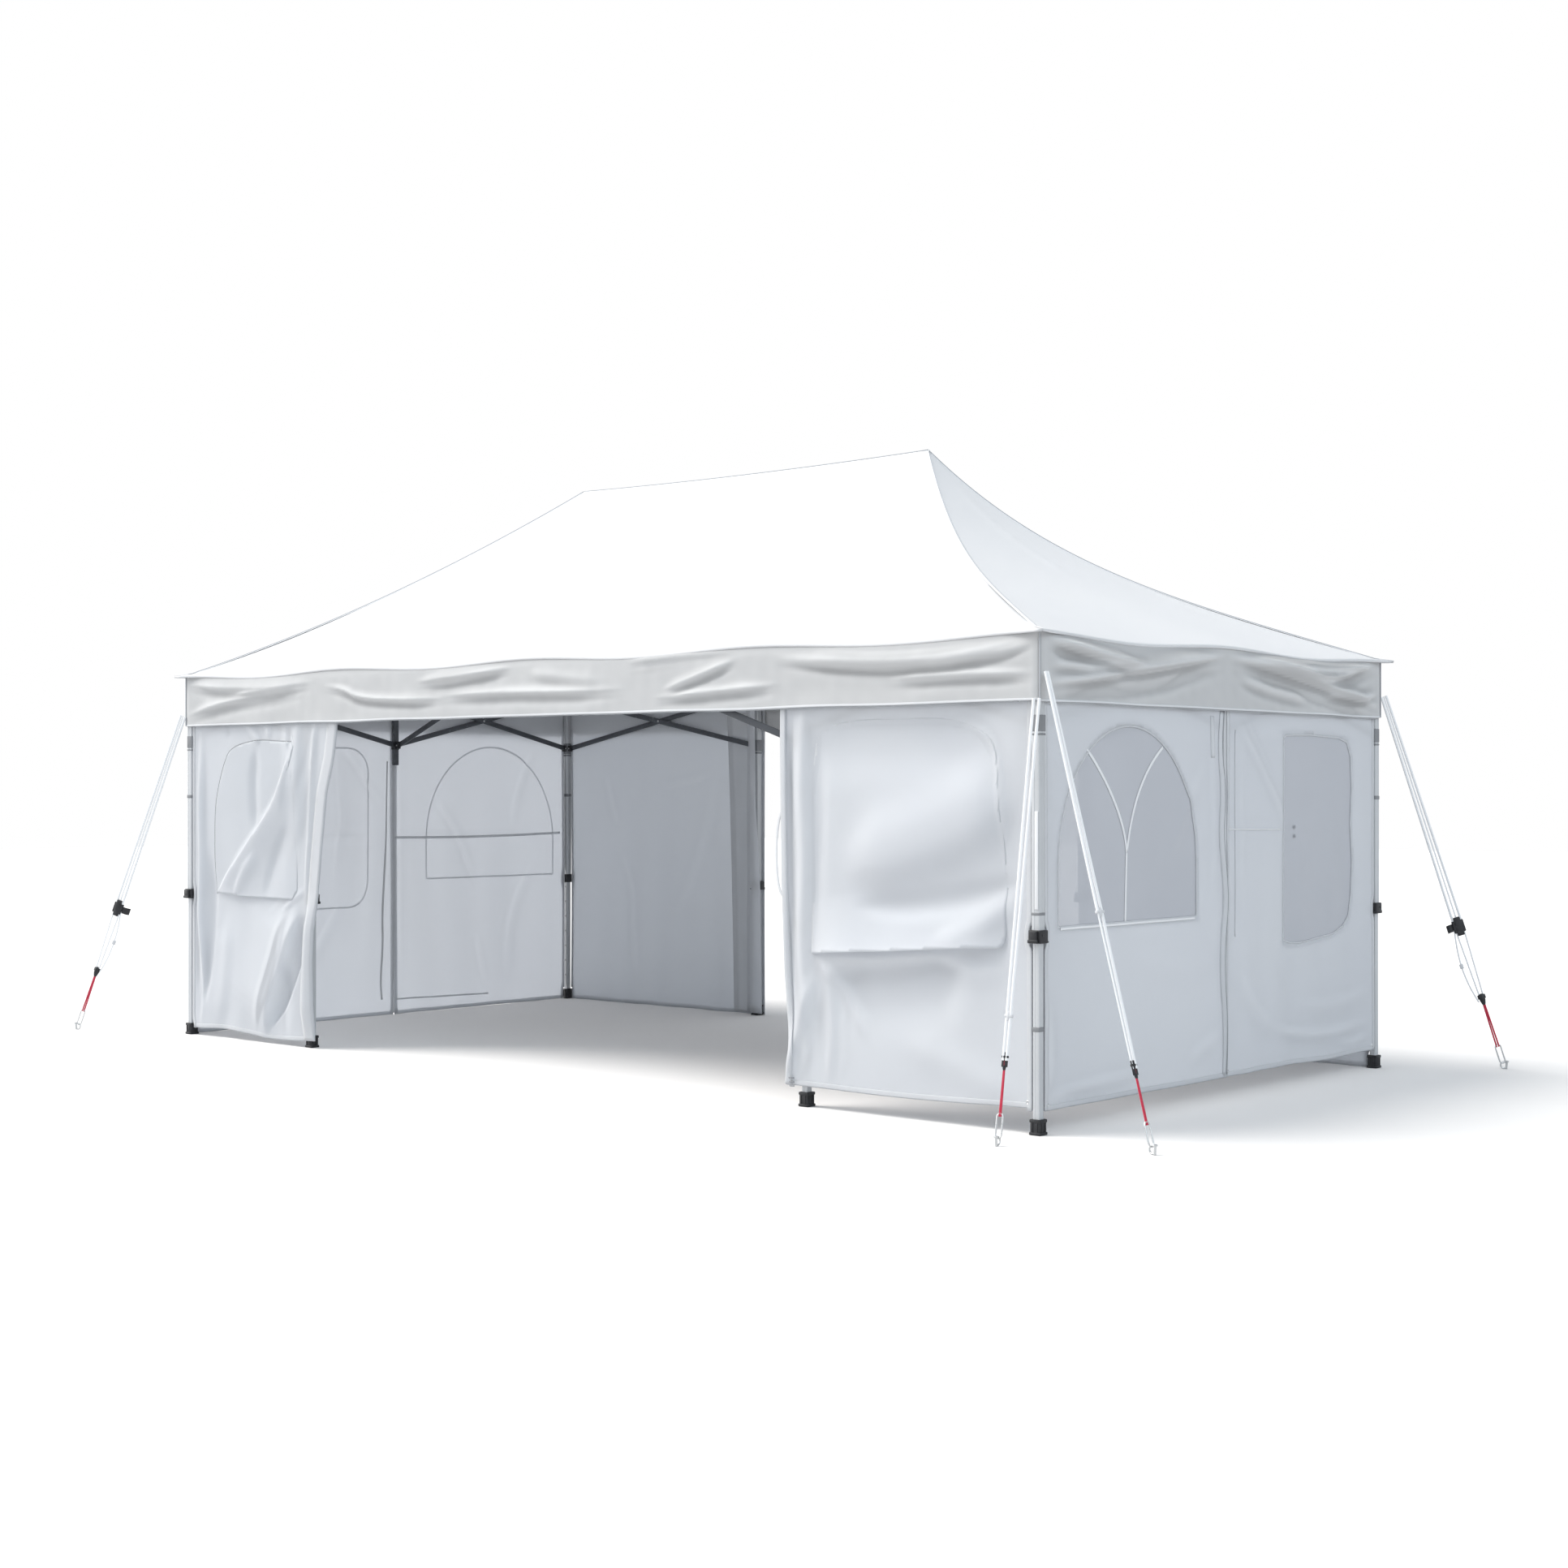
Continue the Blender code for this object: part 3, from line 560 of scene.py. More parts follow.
def mark_fold_shade(bm, relief, reach, scale):
    """Keeps on each point how far it is below or above the cloth just over and under it, for the painted
    shade and highlight of the cloth finish.
    """
    layer = bm.verts.layers.float.new("crease")
    flat = np.array([vert.co[:] for vert in bm.verts])
    x, z = flat[:, 0], flat[:, 1]
    around = 0.25 * (relief(x, z + reach) + relief(x, z - reach) + relief(x + reach, z)
                     + relief(x - reach, z))
    for vert, value in zip(bm.verts, np.clip((relief(x, z) - around) / scale, -1, 1)):
        vert[layer] = float(value)


def folds(along, height, rows):
    """The sum of several folds, straight ones and ones along a path."""
    total = np.zeros_like(along)
    for row in rows:
        shape = path_fold if isinstance(row[0][0], tuple) else fold
        total = total + shape(along, height, *row)
    return total


def ripple(along, height, size, seed, upright=1.0):
    """Gentle unevenness about 1 high, with humps about size long."""
    chance = np.random.default_rng(seed)
    total = np.zeros_like(along)
    for _ in range(7):
        angle = chance.uniform(0, math.tau)
        wave = math.tau / (size * chance.uniform(0.7, 1.6))
        phase = chance.uniform(0, math.tau)
        total = total + np.sin(wave * (along * math.cos(angle) + height * math.sin(angle) / upright)
                               + phase)
    return total / 4


print("one fold at its crest:", fold(np.array([0.5]), np.array([0.0]), (0, 0), (1, 0), 0.02, 0.01))

# %% [markdown]
# ## The roof cover
#
# The cover is one sewn sheet with four slopes that meet along the ridge and
# the hips. Stretched from the two peaks to the eaves it hangs in a hollow
# curve, the way cloth does between a high point and an edge. Four flat panels
# would look like cardboard, so each slope is a grid bent to that curve. The
# eave dips a little between the legs and trusses that hold it up.

# %% Roof cover shape
RIDGE_SAG = 0.015
EAVE_DIP = 0.025
LONG_SUPPORTS = (-HALF_X, -1.60, -0.09, 1.41, HALF_X)
SHORT_SUPPORTS = (-HALF_Y, 0.0, HALF_Y)
EAVE_OUT = 0.004                    # the cover reaches just past the valance
EAR = 0.045
EAR_REACH = 0.19
LEFT_STRAIGHT, RIGHT_STRAIGHT = 0.72, 0.62
LEFT_POWER, RIGHT_POWER = 2.0, 4.0


def eave_dip(distance, supports):
    """How far the eave hangs down between the points that hold it up."""
    dip = np.zeros_like(distance)
    for left, right in zip(supports, supports[1:]):
        between = (distance >= left) & (distance <= right)
        wave = np.sin(math.pi * (distance - left) / (right - left)) ** 2
        dip = np.where(between, EAVE_DIP * wave, dip)
    return dip


def slope_height(rise, x):
    """Height of the cover's underside, from 0 at the eave to 1 at the ridge."""
    share = np.clip((x + PEAK_X) / (2 * PEAK_X), 0.0, 1.0)
    straight = LEFT_STRAIGHT + share * (RIGHT_STRAIGHT - LEFT_STRAIGHT)
    power = LEFT_POWER + share * (RIGHT_POWER - LEFT_POWER)
    hollow = straight * rise + (1 - straight) * rise ** power
    sag = RIDGE_SAG * rise * (1 - np.minimum(np.abs(x) / PEAK_X, 1.0) ** 2)
    return EAVE + (PEAK - CLOTH - EAVE) * hollow - sag


def slope_rule(corners, tops, supports, creases, seed):
    """The rule that bends one slope; its flat X and Y run from 0 to 1."""
    (x0, y0), (x1, y1) = corners
    (top_x0, top_y0), (top_x1, top_y1) = tops
    lengthwise = abs(x1 - x0) > abs(y1 - y0)
    width = math.hypot(x1 - x0, y1 - y0)

    def rule(share, rise, lift):
        x = (x0 + (x1 - x0) * share) * (1 - rise) + (top_x0 + (top_x1 - top_x0) * share) * rise
        y = (y0 + (y1 - y0) * share) * (1 - rise) + (top_y0 + (top_y1 - top_y0) * share) * rise
        along = x if lengthwise else y
        z = slope_height(rise, x) - eave_dip(along, supports) * (1 - rise) ** 4
        edge = np.minimum(share, 1 - share)
        loose = ease(edge * (1 - rise) * 4) * ease(rise * 5) * ease((1 - rise) * 5)
        z = z + loose * 0.003 * ripple(along, rise * 2, 0.9, seed)
        z = z + ease(edge * 25) * ease((1 - rise) * 40) * folds(along, rise, creases)
        corner = np.minimum(share, 1 - share) * width
        ear = np.where(rise < 1e-6, EAR * np.clip(1 - corner / EAR_REACH, 0, 1) ** 2, 0.0)
        return np.stack((x + np.copysign(ear, x), y + np.copysign(ear, y), z + lift), 1)
    return rule


EAVE_X, EAVE_Y = HALF_X + EAVE_OUT, HALF_Y + EAVE_OUT
FRONT_CREASES = [((1.300, 0.690), (1.262, 1.000), 0.024, 0.016, 0.012, 0.6, 1.6),
                 ((1.190, 0.740), (1.215, 0.960), 0.030, -0.006),
                 ((1.70, 0.50), (1.45, 0.80), 0.07, 0.006)]
SLOPES = {
    "front": ([(-EAVE_X, -EAVE_Y), (EAVE_X, -EAVE_Y)], [(-PEAK_X, 0), (PEAK_X, 0)],
              LONG_SUPPORTS, FRONT_CREASES, 3, 160),
    "back": ([(EAVE_X, EAVE_Y), (-EAVE_X, EAVE_Y)], [(PEAK_X, 0), (-PEAK_X, 0)],
             LONG_SUPPORTS, [((0.9, 0.55), (1.2, 0.95), 0.05, 0.008)], 5, 160),
    "right": ([(EAVE_X, -EAVE_Y), (EAVE_X, EAVE_Y)], [(PEAK_X, 0), (PEAK_X, 0)],
              SHORT_SUPPORTS, [((0.10, 0.55), (0.02, 0.92), 0.05, 0.006)], 7, 90),
    "left": ([(-EAVE_X, EAVE_Y), (-EAVE_X, -EAVE_Y)], [(-PEAK_X, 0), (-PEAK_X, 0)],
             SHORT_SUPPORTS, [((-0.12, 0.5), (-0.02, 0.9), 0.05, 0.006)], 11, 90),
}
SLOPE_ROWS = 60
SLOPE_LONG = 1.9                    # from eave to ridge, up the slope
COVER_CLEAR = 0.0008                # between the cover and what it lies on
COVER_THICK = 0.0018
SKIRT = 0.009                       # the eave's edge is turned down over the valance
TUCK = (0.9991, 0.9982, 1.0)        # and lies a little closer to it at its lower end

# %% [markdown]
# The four grids are welded along the hips into a single sheet, so light runs
# over the hips without a crack. Its open edge is extruded down over the
# valance's top, where the two are sewn together. Each slope keeps its own UV
# map in metres, and the weave in the finish follows it.

# %% Roof cover mesh
cover_bm = bmesh.new()
for corners, tops, supports, creases, seed, columns in SLOPES.values():
    slope_bm = flat_grid(0, 1, 0, 1, 1 / columns, 1 / SLOPE_ROWS)
    uv_layer = slope_bm.loops.layers.uv.active
    reach = math.dist(corners[0], corners[1])
    for face in slope_bm.faces:
        for loop in face.loops:
            loop[uv_layer].uv = (loop.vert.co.x * reach, loop.vert.co.y * SLOPE_LONG)
    bend(slope_bm, slope_rule(corners, tops, supports, creases, seed))
    part = bpy.data.meshes.new("slope")
    slope_bm.to_mesh(part)
    slope_bm.free()
    cover_bm.from_mesh(part)
    bpy.data.meshes.remove(part)
bmesh.ops.remove_doubles(cover_bm, verts=cover_bm.verts[:], dist=0.0002)
eave_edges = [edge for edge in cover_bm.edges if edge.is_boundary]
turned_down = bmesh.ops.extrude_edge_only(cover_bm, edges=eave_edges)["geom"]
skirt = [item for item in turned_down if isinstance(item, bmesh.types.BMVert)]
bmesh.ops.scale(cover_bm, verts=skirt, vec=TUCK)
bmesh.ops.translate(cover_bm, verts=skirt, vec=(0, 0, -SKIRT))
bmesh.ops.recalc_face_normals(cover_bm, faces=cover_bm.faces[:])
bmesh.ops.translate(cover_bm, verts=cover_bm.verts[:], vec=(0, 0, COVER_CLEAR))
face_out(cover_bm, (0, 0, 1))
print("roof cover:", len(cover_bm.faces), "faces")
cover = add_piece("roof_cover", cover_bm, COVER, "cover_white",
                  ["roof_front", "roof_back", "roof_left", "roof_right"], thickness=COVER_THICK, outward=True)

# %% [markdown]
# ## Tapes and stitching
#
# Every seam and edge of the tent is bound with a folded tape, sewn down with
# two rows of stitches. A tape is a narrow grid laid along a path: its X runs
# along the path and its Y across. The stitches are too small and too many to
# model, so they are dashes in the tape's finish, drawn on its UV map, whose
# second number runs from -1 to 1 across the tape.

# %% Tape finish
STITCH_LONG = 0.0045
STITCH_SHARE = 0.72                 # of each stitch length is thread
STITCH_AT = 0.72                    # of the tape's half width


def tape_finish(name, colour, through=0.0):
    """Binding tape with a row of stitches near each edge."""
    material, tree, shader = finish(name, colour, 0.58, Sheen_Weight=0.15, Specular_IOR_Level=0.35)
    if through:
        let_light_through(tree, shader, through)
    uv = coordinates(tree, "UV")
    split = add_node(tree, "ShaderNodeSeparateXYZ", Vector=uv)
    dash = maths(tree, "FRACT", maths(tree, "MULTIPLY", split.outputs["X"], 1 / STITCH_LONG))
    row = maths(tree, "COMPARE", maths(tree, "ABSOLUTE", split.outputs["Y"]), STITCH_AT, 0.06)
    stitch = maths(tree, "MULTIPLY", maths(tree, "LESS_THAN", dash, STITCH_SHARE), row)
    place = coordinates(tree)
    dull = tuple(c * 0.96 for c in colour)
    thread = tuple(c * 0.93 for c in colour)
    base = mix_colours(tree, noise_at(tree, place, 5.0, 3.0), dull, colour)
    paint(tree, shader, stitch, base, thread)
    stack_bumps(tree, shader, [(noise_at(tree, place, 40.0), 0.25, 0.001),
                               (bands(tree, uv, 0.0025, distortion=0.3), 0.2, 0.0003),
                               (stitch, 0.8, 0.0005)])
    return material


TAPE = tape_finish("edge_tape", (0.70, 0.705, 0.715))
HEM_TAPE = tape_finish("hem_tape", (0.80, 0.803, 0.812), through=0.36)
BRIGHT_TAPE = tape_finish("bright_tape", (0.82, 0.82, 0.825))
COVER_TAPE = tape_finish("seam_tape", (0.90, 0.90, 0.905))
print("tapes:", TAPE.name, HEM_TAPE.name, BRIGHT_TAPE.name, COVER_TAPE.name)

# %% [markdown]
# The cover's seam tapes run up each hip and along the ridge. Across a hip the
# tape is bent: its middle lies on the seam, one edge on each slope. Both edges
# are at the same rise as the middle, so they are found by stepping in from
# the seam along X on the long slope and along Y on the end slope.

# %% Seam tapes on the cover
SEAM_HALF = 0.013
SEAM_LIFT = 0.0032                  # above the cover's underside
SEAM_CROWN = 0.001                  # the tape's middle stands this much higher
PATH_STEP = 0.03


def hip_tape(sign_x, sign_y):
    """The seam tape up one hip, from the eave's corner to the peak."""
    bm = flat_grid(0, 1, -1, 1, 1 / 64, 1)

    def rule(rise, side, lift):
        ear = EAR * np.clip(1 - rise * 40, 0, 1)
        x = sign_x * (EAVE_X + (PEAK_X - EAVE_X) * rise + ear)
        y = sign_y * (EAVE_Y * (1 - rise) + ear)
        z = slope_height(rise, x) + SEAM_LIFT + SEAM_CROWN * (1 - np.abs(side))
        step = SEAM_HALF * ease(rise * 12 + 0.2)
        x = np.where(side < -0.5, x - sign_x * step, x)
        y = np.where(side > 0.5, y - sign_y * np.minimum(step, EAVE_Y * (1 - rise)), y)
        return np.stack((x, y, z), 1)
    bend(bm, rule)
    return bm


def join(parts):
    """One bmesh from several."""
    joined = bmesh.new()
    for part_bm in parts:
        mesh = bpy.data.meshes.new("part")
        part_bm.to_mesh(mesh)
        part_bm.free()
        joined.from_mesh(mesh)
        bpy.data.meshes.remove(mesh)
    return joined


ridge_bm = flat_grid(-PEAK_X - 0.01, PEAK_X + 0.01, -1, 1, PATH_STEP, 1)


def ridge_rule(along, side, lift):
    across = side * SEAM_HALF
    z = slope_height(1 - np.abs(across) / EAVE_Y, along) + SEAM_LIFT + SEAM_CROWN * (1 - np.abs(side))
    return np.stack((along, across, z), 1)


bend(ridge_bm, ridge_rule)
seam_bm = join([hip_tape(x, y) for x in (-1, 1) for y in (-1, 1)] + [ridge_bm])
for face in seam_bm.faces:
    face.normal_update()
    if face.normal.z < 0:
        face.normal_flip()
cover_seams = add_piece("roof_seam_tapes", seam_bm, COVER_TAPE, "cover_white", thickness=0.0012)

# %% [markdown]
# A thin cord is sewn into the seams on the ridge and hips. Its grey is painted
# shade: against a pale sky it draws the roof's outline as the fine grey line
# that the seams' shaded edges show.

# %% Piping on the ridge and hips
# A grey cord and tape finish: painted shade for the lines along the ridge, hips and valance corners, and a
# painted shadow under the valance hems.
SHADE_GREY, tree, shader = finish("painted_shade_grey", (0.42, 0.43, 0.45), 0.7, Sheen_Weight=0.2)
twist = bands(tree, coordinates(tree, "UV"), 0.003, "DIAGONAL")
paint(tree, shader, twist, (0.40, 0.41, 0.43), (0.46, 0.47, 0.49))
stack_bumps(tree, shader, [(twist, 0.3, 0.0003)])
PIPING_RADIUS = 0.0024


def seam_spot(x, rise, y=0.0):
    height = float(slope_height(np.array([rise]), np.array([x]))[0])
    return (x, y, height + SEAM_LIFT + 0.002)


ridge_path = [seam_spot(x, 1.0) for x in np.linspace(-PEAK_X, PEAK_X, 40)]
piping = [tube(ridge_path, PIPING_RADIUS, 8, pitch=0.05)]
for sign_x in (-1, 1):
    for sign_y in (-1, 1):
        hip_path = []
        for rise in np.linspace(0.004, 0.999, 44):
            x = sign_x * (EAVE_X + (PEAK_X - EAVE_X) * rise)
            hip_path.append(seam_spot(x, rise, sign_y * EAVE_Y * (1 - rise)))
        piping.append(tube(hip_path, PIPING_RADIUS, 8, pitch=0.05))
add_piece("roof_piping", join(piping), SHADE_GREY, "cover_white")
print("piping on", len(piping), "seams")

# %% [markdown]
# ## The sides of the tent
#
# A valance or a wall is described in its own metres: how far along, how high,
# and how far out from its plane. This class turns that into the tent's frame
# for whichever side it is on, and carries the panel's relief, so anything sewn
# to the panel is laid on it with the same rule plus a small lift.

# %% One side's own metres
class Side:
    """A cloth plane on one side of the tent, with the relief of its folds."""

    def __init__(self, axis, sign, plane, relief):
        self.axis = axis
        self.sign = sign
        self.plane = plane
        self.relief = relief
        self.outward = (0, sign, 0) if axis == "y" else (sign, 0, 0)

    def rule(self, along, height, lift):
        out = self.sign * (self.plane + self.relief(along, height) + lift)
        if self.axis == "y":
            return np.stack((along, out, height), 1)
        return np.stack((out, along, height), 1)

    def spot(self, along, height, lift=0.0):
        """One point on the panel."""
        return Vector(self.rule(np.array([along]), np.array([height]), np.array([lift]))[0])


def tape(side, path, half_width, lift, closed=False, crown=0.0008):
    """A tape along a path of (along, height) points, laid on a panel."""
    points = np.array(path, float)
    if closed:
        points = np.vstack((points, points[:1]))
    runs = np.hypot(*np.diff(points, axis=0).T)
    distance = np.concatenate(([0.0], np.cumsum(runs)))
    bm = flat_grid(0, distance[-1], -1, 1, 0.018, 0.5)

    def rule(run, across, _):
        here = [np.interp(run, distance, points[:, k]) for k in (0, 1)]
        near, far = run - 0.006, run + 0.006
        if closed:
            near, far = near % distance[-1], far % distance[-1]
        ahead = [np.interp(far, distance, points[:, k]) - np.interp(near, distance, points[:, k])
                 for k in (0, 1)]
        length = np.maximum(np.hypot(*ahead), 1e-9)
        along = here[0] - ahead[1] / length * across * half_width
        height = here[1] + ahead[0] / length * across * half_width
        return side.rule(along, height, lift + crown * (1 - across ** 2))
    bend(bm, rule)
    if closed:
        bmesh.ops.remove_doubles(bm, verts=bm.verts[:], dist=0.0005)
    face_out(bm, side.outward)
    return bm


print("sides ready")

# %% [markdown]
# ## The valance
#
# The valance is the strip that hangs all round from the eave. It is pulled at
# the legs and trusses and hangs loose between them, so long soft folds run
# slanting from the supports and die out in the middle, most of them in the
# lower half. They are placed one by one from the photograph for the front and
# the right side; the two hidden sides get folds of the same kind. Folds stand
# outwards, because the wall's band is just behind. A row gives a fold's path
# of (along, height) points, its width and its depth, and then, where they
# aren't the usual ones, how its lower side widens and how sharp its crest is.

# %% Valance folds
VALANCE_FOLDS = {}
VALANCE_FOLDS["front"] = [
    ([(-2.97, 2.03), (-2.62, 2.0), (-2.25, 1.995), (-1.8, 2.01)], 0.03, 0.02, 0.45),
    ([(-2.98, 1.85), (-2.7, 1.905), (-2.35, 1.95), (-1.88, 1.975)], 0.034, 0.022, 0.4),
    ([(-2.55, 1.96), (-2.25, 1.975), (-1.95, 1.99)], 0.018, 0.012, 0.5),
    ([(-1.7, 1.985), (-1.52, 1.965), (-1.4, 1.915), (-1.05, 1.895), (-0.7, 1.893)], 0.024, 0.022, 0.45),
    ([(-0.93, 1.985), (-0.62, 2.003), (-0.2, 2.035)], 0.026, 0.024, 0.5),
    ([(-0.75, 1.905), (-0.3, 1.915), (0.1, 1.905), (0.6, 1.905)], 0.028, 0.02, 0.45),
    ([(-0.1, 2.01), (0.15, 1.985), (0.5, 1.945)], 0.03, 0.01),
    ([(0.6, 2.03), (1.0, 2.06), (1.34, 2.075)], 0.022, 0.01, 0.8),
    ([(0.85, 1.89), (1.06, 1.945), (1.32, 2.02)], 0.024, 0.019, 0.55),
    ([(0.8, 1.856), (1.15, 1.876), (1.58, 1.897)], 0.026, 0.019, 0.45),
    ([(1.58, 2.018), (1.9, 1.997), (2.25, 1.978), (2.6, 1.99), (2.95, 2.04)], 0.028, 0.034, 1.15, 2.4),
    ([(2.36, 1.952), (2.6, 1.958), (2.8, 1.985), (2.97, 2.035)], 0.018, 0.012, 1.2),
    ([(2.2, 1.905), (2.6, 1.915), (2.98, 1.905)], 0.026, 0.02, 0.6)]
VALANCE_FOLDS["right"] = [
    ([(-1.49, 2.06), (-1.2, 2.008), (-0.8, 1.975)], 0.032, 0.047, 0.5),
    ([(-1.5, 1.862), (-1.1, 1.905), (-0.66, 1.97), (-0.05, 2.035)], 0.046, 0.052, 0.34),
    ([(-1.47, 1.945), (-1.15, 1.95), (-0.72, 1.985)], 0.026, 0.026, 0.6),
    ([(-1.05, 1.862), (-0.62, 1.905), (-0.36, 1.96)], 0.03, 0.021),
    ([(0.0, 2.035), (0.5, 1.992), (0.95, 1.93), (1.51, 1.838)], 0.046, 0.052, 0.34),
    ([(0.18, 2.055), (0.6, 1.998), (1.0, 1.976), (1.48, 2.065)], 0.036, 0.044, 0.5),
    ([(0.55, 2.04), (0.95, 2.022), (1.42, 2.056)], 0.02, 0.023, 0.6),
    ([(0.9, 1.892), (1.2, 1.882), (1.49, 1.908)], 0.022, 0.023, 0.7),
    ([(0.05, 1.965), (0.35, 1.905), (0.8, 1.872)], 0.03, 0.021)]
VALANCE_FOLDS["back"] = [
    ([(-2.93, 2.035), (-2.4, 1.99), (-1.7, 1.96)], 0.032, 0.022, 0.45),
    ([(-2.8, 1.86), (-2.4, 1.9), (-2.0, 1.92)], 0.026, 0.014, 0.5),
    ([(-1.55, 2.03), (-1.15, 1.955), (-0.7, 1.915)], 0.03, 0.022, 0.45),
    ([(-0.9, 1.88), (-0.4, 1.895), (0.1, 1.88)], 0.028, 0.018, 0.5),
    ([(-0.2, 2.02), (0.3, 1.975), (0.8, 1.935)], 0.028, 0.018, 0.5),
    ([(0.6, 1.865), (1.05, 1.915), (1.5, 1.975)], 0.028, 0.02, 0.45),
    ([(1.45, 2.03), (1.85, 1.96), (2.3, 1.92)], 0.03, 0.022, 0.45),
    ([(2.0, 1.87), (2.45, 1.945), (2.95, 2.035)], 0.032, 0.023, 0.45)]
VALANCE_FOLDS["left"] = [
    ([(-1.47, 2.035), (-1.0, 1.965), (-0.5, 1.915)], 0.03, 0.022, 0.45),
    ([(-1.3, 1.855), (-0.7, 1.935), (-0.1, 2.01)], 0.03, 0.02, 0.45),
    ([(0.08, 2.025), (0.45, 1.96), (0.9, 1.915)], 0.03, 0.022, 0.45),
    ([(0.6, 1.865), (1.05, 1.935), (1.48, 2.03)], 0.03, 0.022, 0.45)]
print("valance folds:", sum(len(rows) for rows in VALANCE_FOLDS.values()))

# %% [markdown]
# A fold is stronger when the cloth is drawn in just under it, so each fold
# gets a shallower hollow along its lower side. Besides the folds, the whole
# strip swings out a few millimetres towards its hem. Each valance is a grid
# between the eave's dipping line and a hem that waves a little, and its hem
# tape is laid with the same rule.

# %% Valance relief
SIDES = {"front": ("y", -1, HALF_X, LONG_SUPPORTS), "back": ("y", 1, HALF_X, LONG_SUPPORTS),
         "left": ("x", -1, HALF_Y, SHORT_SUPPORTS), "right": ("x", 1, HALF_Y, SHORT_SUPPORTS)}
CORNER_EASE = 0.03                  # folds fade out this near a corner
UNDERCUT = 0.45                     # a fold has a hollow below it, this share as deep


def valance_relief(rows, reach, seed):
    """How far a valance stands out: its folds, their hollows, its swing and small unevenness."""
    hollows = [([(x, z - 1.5 * width) for x, z in path], 0.7 * width, -UNDERCUT * depth)
               for path, width, depth, *rest in rows]

    def relief(along, height):
        down = np.clip((EAVE - height) / (EAVE - VALANCE_LOW), 0, 1)
        held = ease((reach - np.abs(along)) / CORNER_EASE)
        shape = folds(along, height, rows) + folds(along, height, hollows)
        swing = 0.004 + (0.006 + 0.003 * ripple(along, height * 2, 0.50, seed)) * down
        small = 0.0010 * ripple(along, height, 0.10, seed + 1) * ease(down * 4)
        return np.maximum(held * (shape + swing + small), -0.004) * ease(down * 6)
    return relief


def hem_wave(along):
    """Height of a valance's lower edge, which waves a little."""
    return VALANCE_LOW + 0.003 * ripple(along, along * 0, 0.8, 31)


print("sides with a valance:", ", ".join(SIDES))

# %% [markdown]
# A valance is a grid that is bent to its side. Each of its points also notes
# whether it lies in a hollow or on a crest, and the finish reads that to paint
# shade into the hollows and a highlight on the crests. The hem is a tape on top
# of it, and a thin dark tape just below it is a painted shadow of the hem. The
# four corner seams are thin grey tubes, painted shade for the dark line at each
# corner.

# %% Make the valances
HEM_HALF = 0.0052
SHADOW_LINE_HALF, SHADOW_LINE_BEHIND = 0.0028, -0.0042        # a thin dark tape below the hem: painted shadow of the hem
END_GAP = {"y": 0.0015, "x": 0.0045}            # the short valances end a little sooner
VALANCE_IN, VALANCE_DROP = 0.0008, 0.0006       # it lies this far inside the outline, below the cover
CORNER_OUT, CORNER_RADIUS = 0.0005, 0.0032      # the corner seams and how far they stand out


def make_valance(name):
    """One valance: its panel, the hem tape along its lower edge and a thin dark tape below it, a painted
    shadow.
    """
    axis, sign, full_reach, supports = SIDES[name]
    reach = full_reach - END_GAP[axis]
    half = HALF_Y if axis == "y" else HALF_X
    side = Side(axis, sign, half - VALANCE_IN, valance_relief(VALANCE_FOLDS[name], reach, 20 + len(name)))
    bm = flat_grid(-reach, reach, VALANCE_LOW, EAVE, 0.013, 0.009)
    # The fold relief on each point, for the finish's painted shade in the hollows and painted highlight on
    # the crests; stronger on the right side.
    mark_fold_shade(bm, side.relief, 0.028, 0.009 if name != "right" else 0.006)

    def rule(along, height, lift):
        share = (height - VALANCE_LOW) / (EAVE - VALANCE_LOW)
        top = EAVE - VALANCE_DROP - eave_dip(along, supports)
        low = hem_wave(along)
        return side.rule(along, low + (top - low) * share, lift)
    bend(bm, rule)
    face_out(bm, side.outward)
    panel = add_piece("valance_cloth_" + name, bm, SHADED_VALANCE, "cover_white", ["valance_" + name],
                      thickness=0.0015)
    steps = np.linspace(-reach, reach, 120)
    low = hem_wave(steps) + HEM_HALF
    hem = add_piece("valance_hem_" + name, tape(side, np.stack((steps, low), 1), HEM_HALF, 0.0005),
                    TAPE, "cover_white", thickness=0.0009)
    # A thin dark tape just below the hem: a painted shadow of the hem on the wall.
    hem_shadow_path = np.stack((steps[2:-2], low[2:-2] - HEM_HALF - 0.0015), 1)
    add_piece("valance_band_" + name, tape(side, hem_shadow_path, SHADOW_LINE_HALF, SHADOW_LINE_BEHIND), SHADE_GREY, "cover_white",
              thickness=0.0012)


for name in SIDES:
    make_valance(name)
# The corner seams are grey tubes: painted shade for the dark line at each valance corner.
corners = []
for x_sign, y_sign in ((-1, -1), (-1, 1), (1, -1), (1, 1)):
    x, y = x_sign * (HALF_X + CORNER_OUT), y_sign * (HALF_Y + CORNER_OUT)
    corners.append(tube([(x, y, VALANCE_LOW + 0.002), (x, y, EAVE - 0.006)], CORNER_RADIUS, 8, pitch=0.03))
add_piece("valance_corner_shade_seams", join(corners), SHADE_GREY, "cover_white", sharp=60)
print("valances made:", len(SIDES))

# %% [markdown]
# ## Window outlines
#
# The walls have two kinds of window: a church-window arch with two curved
# glazing bars, and a tall panel with rounded corners. Both are outlines in the
# wall's own metres, made of straight runs and arcs. Only the tall window of
# the right side is drawn point by point, because its cloth is pulled out of
# shape in the photograph.

# %% Outlines
def rounded_outline(left, right, low, high, radius, steps=8):
    """A rectangle with round corners, as points in order."""
    points = []
    for cx, cy, start in ((right - radius, low + radius, -90), (right - radius, high - radius, 0),
                          (left + radius, high - radius, 90), (left + radius, low + radius, 180)):
        for step in range(steps + 1):
            angle = math.radians(start + 90 * step / steps)
            points.append((cx + radius * math.cos(angle), cy + radius * math.sin(angle)))
    return points


